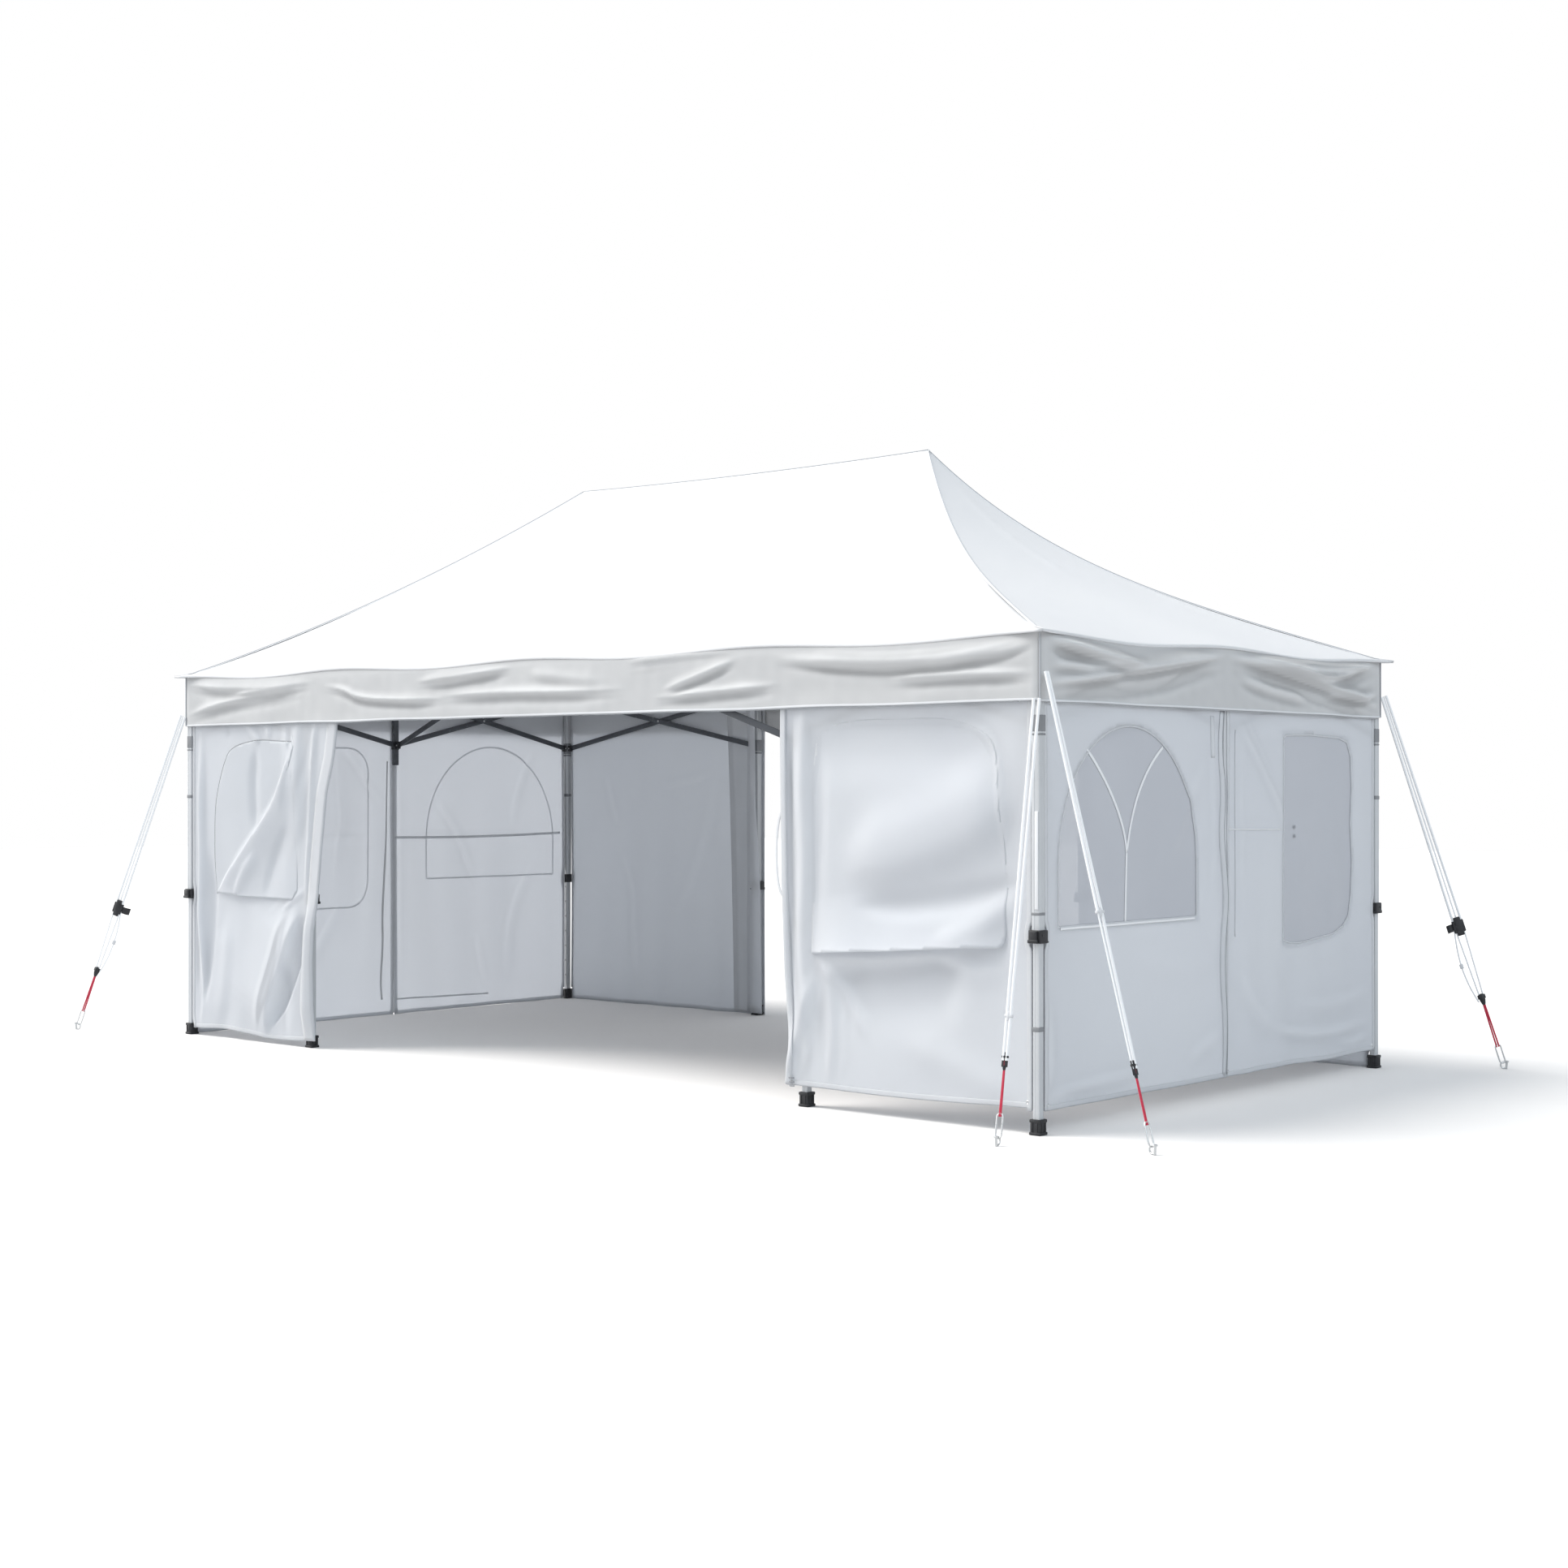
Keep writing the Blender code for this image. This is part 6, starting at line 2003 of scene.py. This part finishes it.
OUTER_TOP, INNER_LOW, INNER_TOP = 2.07, 0.02, 1.20
FIRST_HOLE, LAST_HOLE = 0.16, 1.16
for leg in LEGS:
    place = leg_place(leg)
    lever_out = Vector((0, math.copysign(1, place.y), 0)) if abs(place.y) > HALF_Y - 0.04 else Vector(
        (-math.copysign(1, place.x), 0, 0))
    outer = square_tube(TUBE, COLLAR_HIGH - 0.01, OUTER_TOP, 0.004, 0.0010, BORE)
    inner = square_tube(INNER_TUBE, INNER_LOW, INNER_TOP, 0.0035, 0.0008)
    # Black cups in the pin holes: painted shade for the holes' dark insides.
    holes = pin_holes(-lever_out, INNER_TUBE, FIRST_HOLE, LAST_HOLE)
    lower = BODY_OF[leg]
    for name, bm, material, slot, replaces, body, sharp in (
            ("outer_tube", outer, LEG, "leg_aluminium", ["leg_upper_" + leg], "marquee", 30),
            ("collar", collar(lever_out), NYLON, "black_plastic", (), "marquee", 35),
            ("inner_tube", inner, LEG, "leg_aluminium", ["leg_lower_" + leg], lower, 30),
            ("pin_holes", holes, NYLON, "black_plastic", (), lower, 30),
            ("foot", foot(), NYLON, "black_plastic", (), lower, 35)):
        bm.transform(Matrix.Translation(place))
        add_piece(f"leg_{name}_{leg}", bm, material, slot, replaces, body, sharp)
print("legs:", len(LEGS))

# %% [markdown]
# ## Trusses
#
# The scissor trusses are pairs of flat oval tubes, crossed and bolted, that
# fold like a lazy tongs. Their ends sit in nylon brackets: the top ones are
# fixed to the legs, the lower ones are sliders that run on them. The bars and
# blocks repeat the frame's places, with rounded sections, bolts and ribs.

# %% Truss helpers
TRUSS_INSET = 0.034
NODE_TOP, NODE_LOW = 2.04, 1.70
BAR_DEEP, BAR_THICK, BAR_OFFSET = 0.032, 0.008, 0.005
BLOCK_LONG, BLOCK_THICK, BLOCK_HIGH = 0.030, 0.021, 0.042
GAP = 0.0003


BAR_EASE = 0.003                    # radius on a bar's edges
BOLT_LONG = 0.027


class Line:
    """A level line between two plan points; at() gives points along it."""

    def __init__(self, start, end):
        self.start = Vector((*start, 0))
        self.length = (Vector((*end, 0)) - self.start).length
        self.forward = (Vector((*end, 0)) - self.start).normalized()
        self.side = Vector((0, 0, 1)).cross(self.forward)
        self.turn = along(self.start, (*end, 0))

    def at(self, distance, height, offset=0.0):
        return self.start + self.forward * distance + self.side * offset + Vector((0, 0, height))

    def block(self, distance, low, high, long, thick, width=0.0025):
        half = Vector((long, thick, high - low)) / 2
        bm = block(-half, half, width)
        bm.transform(Matrix.Translation(self.at(distance, (low + high) / 2)) @ self.turn)
        return bm


def flat_bar(start, end):
    """One of the trusses' flat oval bars."""
    return bar(start, end, BAR_THICK, BAR_DEEP, BAR_EASE)


def scissor_bars(line, start, end, start_nodes, end_nodes):
    """Two crossing bars; gives their meshes and the place where they cross."""
    rising = (line.at(start, start_nodes[0], BAR_OFFSET), line.at(end, end_nodes[1], BAR_OFFSET))
    falling = (line.at(start, start_nodes[1], -BAR_OFFSET), line.at(end, end_nodes[0], -BAR_OFFSET))
    share = (start_nodes[1] - start_nodes[0]) / (start_nodes[1] - start_nodes[0]
                                                 + end_nodes[1] - end_nodes[0])
    cross = line.at(start + share * (end - start),
                    start_nodes[0] + share * (end_nodes[1] - start_nodes[0]))
    return [flat_bar(*rising), flat_bar(*falling)], cross


def bracket(line, distance, height):
    """A nylon bracket block with a raised boss."""
    body = line.block(distance, height - BLOCK_HIGH / 2, height + BLOCK_HIGH / 2, BLOCK_LONG,
                      BLOCK_THICK, 0.003)
    boss = turned(line.at(distance, height, -BLOCK_THICK / 2 - 0.0008),
                  line.at(distance, height, BLOCK_THICK / 2 + 0.0008),
                  [(0, 0.0), (0, 0.0125), (1, 0.0125), (1, 0.0)], 20)
    return join([body, boss])


def add_truss(name, bars, brackets, bolts):
    """One truss as three pieces: coated bars, nylon brackets and zinc bolts."""
    add_piece(name + "_bars", join(bars), TRUSS, "truss_grey", [name], sharp=35)
    add_piece(name + "_brackets", join(brackets), NYLON, "black_plastic", sharp=35)
    add_piece(name + "_bolts", join(bolts), STEEL, "peg_steel", sharp=30)


def scissor_truss(start, end, stations):
    """A truss of scissor units between stations of (distance, (low, top) heights)."""
    line = Line(start, end)
    bars, brackets, bolts = [], [], []
    for (first, first_nodes), (last, last_nodes) in zip(stations, stations[1:]):
        pair, cross = scissor_bars(line, first, last, first_nodes, last_nodes)
        bars += pair
        bolts.append(hex_bolt(cross, line.side, 0.024, 0.0075))
    for index, (distance, nodes) in enumerate(stations):
        inner = 0 < index < len(stations) - 1
        for height in nodes:
            if not inner:
                brackets.append(bracket(line, distance, height))
            bolts.append(hex_bolt(line.at(distance, height), line.side, BOLT_LONG, 0.0060))
    return line, bars, brackets, bolts


print("truss helpers ready")

# %% [markdown]
# A side truss is two scissor units with a post between them, and a bay truss
# beside a doorway is one. The stations say where the ends of the units are and
# how high their low and top nodes sit, so one function draws them all.

# %% Side and bay trusses
corner_x = abs(leg_place("front_left").x) - TUBE / 2
corner_y = abs(leg_place("front_left").y) - TUBE / 2
truss_x, truss_y = HALF_X - TRUSS_INSET, HALF_Y - TRUSS_INSET
door_left = leg_place("front_door_left").x
door_right = leg_place("front_door_right").x
back_door = leg_place("back_door_right").x
END = GAP + BLOCK_LONG / 2
NODES = (NODE_LOW, NODE_TOP)
SIDE_POST_LOW = 1.575

for name, x in (("truss_left", -truss_x), ("truss_right", truss_x)):
    long = 2 * corner_y
    line, bars, brackets, bolts = scissor_truss(
        (x, -corner_y), (x, corner_y), [(END, NODES), (long / 2, NODES), (long - END, NODES)])
    bars.append(line.block(long / 2, SIDE_POST_LOW, NODE_TOP + BLOCK_HIGH / 2, 0.040,
                           BLOCK_THICK - 0.001, 0.004))
    for low, high in ((NODE_LOW - 0.026, NODE_LOW + 0.026), (NODE_TOP - 0.024, NODE_TOP + 0.022)):
        brackets.append(line.block(long / 2, low, high, 0.046, BLOCK_THICK + 0.003))
    add_truss(name, bars, brackets, bolts)

BAYS = {"truss_front_left": (-corner_x, door_left - TUBE / 2, -truss_y),
        "truss_front_right": (door_right + TUBE / 2, corner_x, -truss_y),
        "truss_back_left": (-corner_x, -back_door - TUBE / 2, truss_y),
        "truss_back_right": (back_door + TUBE / 2, corner_x, truss_y)}
for name, (left, right, y) in BAYS.items():
    line, bars, brackets, bolts = scissor_truss(
        (left, y), (right, y), [(END, NODES), (right - left - END, NODES)])
    add_truss(name, bars, brackets, bolts)
print("bay trusses:", len(BAYS))

# %% [markdown]
# Over each doorway a straight beam takes the truss's place, so nobody has to
# duck. The front one also has a slanting brace at its right end.

# %% Eave beams
BRACE_TOP_X, BRACE_LOW_Z = 0.47, 1.64
CUFF_IN, CUFF_HALF, CUFF_LONG = 0.018, 0.021, 0.034         # the nylon cuffs at a beam's ends
for name, left, right, y in (("eave_beam_front", door_left + TUBE / 2, door_right - TUBE / 2, -truss_y),
                             ("eave_beam_back", -back_door + TUBE / 2, back_door - TUBE / 2, truss_y)):
    line = Line((left, y), (right, y))
    middle = line.length / 2
    bars = [line.block(middle, NODE_TOP - BAR_DEEP / 2, NODE_TOP + BAR_DEEP / 2,
                       line.length - 2 * GAP, BLOCK_THICK - 0.002, 0.004)]
    ends = (CUFF_IN, line.length - CUFF_IN)
    brackets = [line.block(distance, NODE_TOP - CUFF_HALF, NODE_TOP + CUFF_HALF, CUFF_LONG,
                           BLOCK_THICK + 0.002) for distance in ends]
    bolts = [hex_bolt(line.at(distance, NODE_TOP), line.side, 0.030, 0.0060)
             for distance in (ends[0], middle, ends[1])]
    if name == "eave_beam_front":
        low_end = line.at(line.length - END, BRACE_LOW_Z)
        bars.append(flat_bar((BRACE_TOP_X, y, NODE_TOP), low_end))
        brackets.append(bracket(line, line.length - END, BRACE_LOW_Z))
        bolts.append(hex_bolt(low_end, line.side, BOLT_LONG, 0.0060))
    add_truss(name, bars, brackets, bolts)
print("eave beams: 2")

# %% [markdown]
# The sliders and top brackets on the legs are nylon sleeves round the tube.
# The valance is only a couple of millimetres off the leg's outer faces, so a
# sleeve is thin there and thick towards the inside, where the bars join it.

# %% Sleeves on the legs
def sleeve(place, low, high):
    """A nylon sleeve round a leg, thin outwards and thick inwards."""
    inward = Vector((-math.copysign(1, place.x), -math.copysign(1, place.y), 0))
    near, far = TUBE / 2 + 0.0013, TUBE / 2 + 0.005
    (left, right), (front, back) = (sorted((-inward[k] * near, inward[k] * far)) for k in (0, 1))
    return block((left, front, low), (right, back, high), 0.0035, 3)


for leg in LEGS:
    place = leg_place(leg)
    parts = [sleeve(place, NODE_TOP - 0.030, NODE_TOP + 0.022),
             sleeve(place, NODE_LOW - 0.036, NODE_LOW + 0.034),
             sleeve(place, NODE_LOW - 0.052, NODE_LOW - 0.042)]
    sleeves = join(parts)
    sleeves.transform(Matrix.Translation(place))
    add_piece("leg_sliders_" + leg, sleeves, GREY, "truss_grey", sharp=35)
print("sleeves on", len(LEGS), "legs")

# %% [markdown]
# Hook-and-loop straps hold the walls to the legs. Each is a thin block all
# round the tube with a buckle on one side. A white cover strip runs up the
# outside of the front right leg.

# %% Straps round the legs
STRAP_OUT = 0.0018
STRAPS = [("front_right", 0.905, 0.918, TUBE, "marquee"), ("front_left", 1.372, 1.392, TUBE, "marquee"),
          ("back_right", 1.372, 1.392, TUBE, "marquee"), ("back_left", 1.372, 1.392, TUBE, "marquee"),
          ("front_right", 0.425, 0.446, INNER_TUBE, BODY_OF["front_right"])]
for leg, low, high, wide, body in STRAPS:
    reach = wide / 2 + STRAP_OUT
    strap = block((-reach, -reach, low), (reach, reach, high), 0.004, 3)
    buckle = block((-reach - 0.003, -0.008, low - 0.002), (-reach + 0.001, 0.010, high + 0.002), 0.001)
    strap = join([strap, buckle])
    strap.transform(Matrix.Translation(leg_place(leg)))
    add_piece(f"leg_strap_{leg}_{round(low * 100)}", strap, GREY, "truss_grey", body=body, sharp=35)
cover_strip = block((2.973, -1.5305, 0.93), (2.991, -1.5252, 1.335), 0.0025, 3)
add_piece("leg_strip_front_right", cover_strip, WEBBING_WHITE, "wall_white", sharp=35)
print("straps:", len(STRAPS))

# %% [markdown]
# A zinc eyelet sits in each lower corner of every wall, to peg it down. Its
# section, a closed line of six points, is spun round the hole, so it is a ring
# with a rounded lip.

# %% Eyelets in the walls
EYELET_IN, EYELET_UP = 0.022, 0.024
EYELET = [(0, 0.0042), (0, 0.0092), (0.6, 0.0086), (1, 0.0066), (0.6, 0.0048), (0, 0.0042)]
eyelets = []
for name, side in wall_sides.items():
    for sign, share in ((1, 0), (-1, 1)):
        at = float(wall_edges(name, np.array([0.15]))[share][0]) + sign * EYELET_IN
        high = float(hem_line(name, np.array([float(share)]))[0]) + EYELET_UP
        start, end = side.spot(at, high, 0.0002), side.spot(at, high, 0.0030)
        eyelets.append(turned(start, start + Vector(side.outward) * (end - start).length, EYELET, 18))
add_piece("wall_eyelets", join(eyelets), STEEL, "peg_steel", sharp=50)
print("eyelets:", len(eyelets))

# %% [markdown]
# ## Peak frames and roof trusses
#
# Two posts carry the peaks. They hang in the middle of the roof on scissor
# trusses from the side trusses and from each other, and rafters run from
# them to the front and back eaves. Each post has a round nylon cap where it
# meets the cloth, so it can't wear through.

# %% Roof frame
POST = 0.040
POST_LOW, POST_TOP = 1.90, 3.09
POST_NODES = (1.96, 2.40)
CAP_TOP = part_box("peak_frame_right")[1].z
CAP = [(0, 0.0), (0, 0.024), (0.35, 0.024), (0.55, 0.021), (0.80, 0.014), (0.95, 0.006), (1, 0.0)]

for name, x in (("peak_frame_left", -PEAK_X), ("peak_frame_right", PEAK_X)):
    post = square_tube(POST, POST_LOW, POST_TOP, 0.004, 0.001)
    post.transform(Matrix.Translation((x, 0, 0)))
    add_piece(name + "_post", post, LEG, "leg_aluminium", sharp=30)
    parts = [turned((x, 0, POST_TOP - 0.015), (x, 0, CAP_TOP - 0.001), CAP, 28)]
    parts += [block((x - 0.025, -0.025, z - 0.026), (x + 0.025, 0.025, z + 0.026), 0.003)
              for z in POST_NODES]
    bars, bolts = [], []
    back_x = math.copysign(back_door, x)
    front_reach = HALF_Y - TRUSS_INSET - BLOCK_THICK / 2 - GAP
    back_reach = abs(leg_place("back_door_right").y) - TUBE / 2 - GAP
    for end_x, reach, sign in ((x, front_reach, -1), (back_x, back_reach, 1)):
        line = Line((x, 0), (end_x, sign * reach))
        seat = line.length - BLOCK_LONG / 2
        for height in POST_NODES[::-1]:
            bars.append(flat_bar(line.at(0.018, height), line.at(seat, NODE_TOP)))
        parts.append(bracket(line, seat, NODE_TOP))
        bolts.append(hex_bolt(line.at(seat, NODE_TOP), line.side, BOLT_LONG, 0.0060))
    add_truss(name, bars, parts, bolts)

post_out, post_in = PEAK_X + POST / 2, PEAK_X - POST / 2
eave_x = HALF_X - TRUSS_INSET - BLOCK_THICK / 2
ROOF_TRUSSES = {"roof_truss_left": ((-eave_x, 0), (-post_out, 0), NODES, POST_NODES),
                "roof_truss_right": ((post_out, 0), (eave_x, 0), POST_NODES, NODES),
                "roof_truss_middle": ((-post_in, 0), (post_in, 0), POST_NODES, POST_NODES)}
for name, (start, end, start_nodes, end_nodes) in ROOF_TRUSSES.items():
    long = math.dist(start, end)
    line, bars, brackets, bolts = scissor_truss(
        start, end, [(END, start_nodes), (long - END, end_nodes)])
    add_truss(name, bars, brackets, bolts)
print("roof frame: 2 posts,", len(ROOF_TRUSSES), "trusses")

# %% [markdown]
# ## Guy lines
#
# A guy runs from a ring at the eave corner to a peg: a doubled white rope
# down to a plastic tensioner, two thinner strands to a clip, then a red cord
# to a steel hook in the peg's ring. Everything is pulled tight, so the ropes
# are straight. A rope is a tube swept along its path, made from a flat grid
# rolled up, so its UV map runs in metres along and around it and the braid in
# its finish follows the rope.

# %% Rope finishes
def rope_finish(name, colour, dark, strand):
    """A braided rope: two sets of slanting bands across each other."""
    material, tree, shader = finish(name, colour, 0.75, Sheen_Weight=0.25, Specular_IOR_Level=0.25)
    uv = coordinates(tree, "UV")
    heights = []
    for slant in (-1, 1):
        turned_uv = add_node(tree, "ShaderNodeMapping", Vector=uv,
                             Rotation=(0, 0, slant * math.radians(52)))
        heights.append(bands(tree, turned_uv.outputs["Vector"], strand))
    braid = maths(tree, "MAXIMUM", *heights)
    fuzz = noise_at(tree, coordinates(tree), 900.0)
    paint(tree, shader, braid, dark, colour)
    stack_bumps(tree, shader, [(braid, 0.6, 0.0006), (fuzz, 0.2, 0.0002)])
    return material


PALE_NYLON, tree, shader = finish("pale_nylon", (0.62, 0.62, 0.63), 0.45)
paint(tree, shader, noise_at(tree, coordinates(tree), 40.0, 3.0), (0.56, 0.56, 0.57), (0.68, 0.68, 0.69))
ROPE = rope_finish("white_rope", (0.92, 0.92, 0.92), (0.76, 0.76, 0.77), 0.0035)
RED = rope_finish("red_braid", (0.62, 0.035, 0.075), (0.34, 0.02, 0.045), 0.0028)
print("rope finishes:", ROPE.name, RED.name)

# %% [markdown]
# ## Where each guy runs
#
# The three corner guys fan out from the tent and have a tensioner, a barrel
# clip and a loose tail. The two at the front right corner have a flat clip and
# a small crosspiece that holds the strands apart. A row gives the eave end, the
# peg, how far along the line the strands are held and clipped, and the half
# distances between the strands at the eave, at the hold and at the clip.

# %% Guy rows
ROPE_RADIUS, THIN_RADIUS = 0.0064, 0.0040
RING_RADIUS, RING_WIRE = 0.016, 0.004
ANCHOR_Z = 1.85
guy_x, guy_y = HALF_X + 0.012, HALF_Y + 0.012
CORNER_HALVES = (0.012, 0.021, 0.009)
GUYS = {
    "front_left": ((-guy_x, -guy_y, ANCHOR_Z), (-3.685, -1.81), 0.62, 0.83, (0.015, 0.021, 0.009)),
    "front_right_a": ((guy_x - 0.02, -guy_y, ANCHOR_Z - 0.05), (3.02, -1.853), 0.73, 0.83,
                      (0.0135, 0.0085, 0.0075)),
    "front_right_b": ((guy_x + 0.016, -guy_y + 0.02, ANCHOR_Z + 0.06), (3.605, -1.639), 0.52, 0.845,
                      (0.0064, 0.011, 0.009)),
    "back_right": ((guy_x, guy_y, ANCHOR_Z + 0.05), (3.50, 1.889), 0.63, 0.83, CORNER_HALVES),
    "back_left": ((-guy_x, guy_y, ANCHOR_Z + 0.05), (-3.50, 1.889), 0.63, 0.83, CORNER_HALVES),
}


def guy_frame(anchor, peg):
    """The guy's line: its anchor, its foot on the ring, its direction and two cross directions."""
    anchor = Vector(anchor)
    ring = Vector((*peg, RING_RADIUS + RING_WIRE))
    foot = ring + (anchor - ring).normalized() * RING_RADIUS
    forward = (foot - anchor).normalized()
    side = Vector((0, 0, 1)).cross(anchor - foot).normalized()
    return anchor, foot, ring, forward, side, forward.cross(side)


print("guys:", ", ".join(GUYS))

# %% [markdown]
# The small parts are made about the origin and carried to their place on the
# line by a matrix of the line's own directions. Rings and the loose tail are
# tubes along worked out points, and the tensioner's wing is a flat grid spun
# round a line beside it.

# %% Clips, rings and tails
def arc_points(centre, first, second, radius, start, end, steps=16):
    """Points on an arc in the plane of two directions, angles in degrees."""
    points = []
    for step in range(steps + 1):
        angle = math.radians(start + (end - start) * step / steps)
        points.append(centre + first * (radius * math.cos(angle)) + second * (radius * math.sin(angle)))
    return points


def turned_to(bm, at, forward, side, up):
    """A small part made about the origin, carried to its place on the line."""
    bm.transform(Matrix.Translation(at) @ Matrix((forward, side, up)).transposed().to_4x4())
    return bm


def tensioner(at, forward, side, up):
    """A plastic line tensioner: a waisted body with two ears and a hooked wing."""
    body = block((-0.032, -0.030, -0.009), (0.032, 0.030, 0.009), 0.005, 3)
    waist = block((-0.048, -0.017, -0.012), (0.048, 0.017, 0.012), 0.005, 3)
    ear = turned((-0.020, 0, -0.014), (-0.020, 0, 0.014),
                 [(0, 0.0), (0, 0.011), (0.2, 0.012), (0.8, 0.012), (1, 0.011), (1, 0)], 18)
    wing = bmesh.new()
    bmesh.ops.create_grid(wing, x_segments=2, y_segments=1, size=0.5,
                          matrix=Matrix.Translation((0, 0.030, 0))
                          @ Matrix.Diagonal((0.040, 0.012, 1, 1)))
    bmesh.ops.spin(wing, geom=wing.verts[:] + wing.edges[:] + wing.faces[:], cent=(0, 0.030, 0.036),
                   axis=(1, 0, 0), angle=math.radians(70), steps=7)
    bmesh.ops.remove_doubles(wing, verts=wing.verts[:], dist=0.0001)
    bmesh.ops.recalc_face_normals(wing, faces=wing.faces[:])
    return turned_to(join([body, waist, ear, wing]), at, forward, side, up)


def barrel_clip(at, forward, side, up):
    """A wide guy's clip: a tapered barrel with a flat flange."""
    barrel = turned(at - forward * 0.030, at + forward * 0.027,
                    [(0, 0.0), (0, 0.011), (0.15, 0.015), (0.55, 0.015), (0.9, 0.010), (1, 0.007),
                     (1, 0)], 18)
    flange = block((-0.026, -0.020, -0.005), (-0.004, 0.020, 0.005), 0.0025)
    return join([barrel, turned_to(flange, at, forward, side, up)])


def flat_clip(at, forward, side, up):
    """A front right guy's clip: a flat plate with a raised bar across and a round nose."""
    plate = block((-0.034, -0.0135, -0.0035), (0.026, 0.0135, 0.0035), 0.0022, 3)
    across = block((-0.020, -0.0145, -0.006), (-0.010, 0.0145, 0.006), 0.0022)
    nose = turned((0.020, 0, 0), (0.040, 0, 0), [(0, 0.0), (0, 0.008), (0.8, 0.006), (1, 0.004), (1, 0)], 16)
    return turned_to(join([plate, across, nose]), at, forward, side, up)


def fitting(at, forward, side, up, half):
    """A small crosspiece that holds the two strands at one distance."""
    cross = block((-0.006, -half - 0.010, -0.008), (0.006, half + 0.010, 0.008), 0.003, 3)
    knot = turned((-0.018, 0, 0), (0.018, 0, 0), [(0, 0.0), (0, 0.006), (0.3, 0.0095), (0.7, 0.0095),
                                                  (1, 0.006), (1, 0)], 16)
    return turned_to(join([cross, knot]), at, forward, side, up)


def long_ring(start, end, half_width, side, wire, sides=12):
    """A long welded ring between two points, flat in the plane of side."""
    forward = (end - start).normalized()
    near, far = start + forward * half_width, end - forward * half_width
    points = arc_points(far, forward, side, half_width, -90, 90, 10)
    points += arc_points(near, -forward, -side, half_width, -90, 90, 10)
    return tube(points, wire, sides, closed=True)


def free_tail(at, forward, side, long):
    """The loose end of a rope that curls away from the tensioner."""
    return [at + forward * long * share + side * 0.030 * math.sin(share * 2.6)
            - side * 0.018 * share ** 2 for share in (step / 16 for step in range(17))]


print("guy parts ready")

# %% [markdown]
# Every guy becomes five pieces: its small fitting, its white ropes, its red
# cord, its plastic parts and its steel, each with its own finish.

# %% Guy lines
STAKE = [(0, 0.0), (0, 0.0058), (0.80, 0.0058), (0.84, 0.0095), (0.96, 0.0095), (1, 0.007), (1, 0)]
TAIL_LONG, CORD_LONG = 0.40, 0.080
UP = Vector((0, 0, 1))
for name, (anchor, peg, hold_share, clip_share, halves) in GUYS.items():
    anchor, foot, ring, forward, side, up = guy_frame(anchor, peg)
    hold, snap = anchor.lerp(foot, hold_share), anchor.lerp(foot, clip_share)
    corner_guy = "front_right" not in name
    across = up if corner_guy else side
    ropes = []
    for sign in (-1, 1):
        eave_end, held, clipped = (middle + across * sign * half
                                   for middle, half in zip((anchor, hold, snap), halves))
        ropes.append(tube([eave_end, held], ROPE_RADIUS, 14, pitch=0.04))
        lower = THIN_RADIUS if corner_guy or (sign == 1 and name.endswith("b")) else ROPE_RADIUS
        ropes.append(tube([held, clipped], lower, 12, pitch=0.04))
    if corner_guy:
        ropes.append(tube([anchor, hold], THIN_RADIUS, 12, pitch=0.04))
        tail = free_tail(hold + across * 0.024, forward, across, TAIL_LONG)
        ropes.append(tube(tail, THIN_RADIUS, 12, pitch=0.01))
        plastic = [tensioner(hold, forward, across, side), barrel_clip(snap, forward, across, side)]
        small = turned_to(block((-0.012, -0.009, -0.006), (0.012, 0.009, 0.006), 0.0025), tail[8],
                          forward, across, side)
    else:
        plastic = [flat_clip(snap, forward, across, up)]
        small = fitting(hold, forward, across, up, halves[1])
    add_piece("guy_fitting_" + name, small, PALE_NYLON, "wall_white", sharp=35)
    add_piece("guy_rope_" + name, join(ropes), ROPE, "rope_white", ["guy_" + name], sharp=60)
    hook_top = foot - forward * CORD_LONG
    thick, apart = (0.0042, 0.006) if corner_guy else (0.0036, 0.0030)
    red = [tube([snap + across * sign * apart * 0.5, hook_top + across * sign * apart], thick, 12,
                pitch=0.03) for sign in (-1, 1)]
    add_piece("guy_cord_" + name, join(red), RED, "red_cord", sharp=60)
    add_piece("guy_tensioner_" + name, join(plastic), NYLON, "black_plastic", sharp=35)
    level = Vector((forward.x, forward.y, 0)).normalized()
    steel = [long_ring(hook_top - forward * 0.014, foot + forward * 0.006, 0.0135, across, 0.0038),
             tube(arc_points(ring, level, UP, RING_RADIUS, 0, 345, 22), RING_WIRE, 12, closed=True),
             turned(ring - UP * 0.0195 + level * 0.012, ring + UP * 0.022 + level * 0.016, STAKE, 18)]
    add_piece("guy_hook_" + name, join(steel), STEEL, "peg_steel", sharp=40)
print("guys:", len(GUYS))

# %% [markdown]
# ## The size
#
# The dressed tent's box is measured, to set beside the frame's box. The
# dressed tent has to stay inside the frame's box, apart from a little that
# cloth may stand proud.

# %% Measure the boxes
visual_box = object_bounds()
sizes = {"cad": [list(corner) for corner in CAD_BOX], "visual": [list(corner) for corner in visual_box]}
print("visual box", [[round(c, 4) for c in corner] for corner in sizes["visual"]])
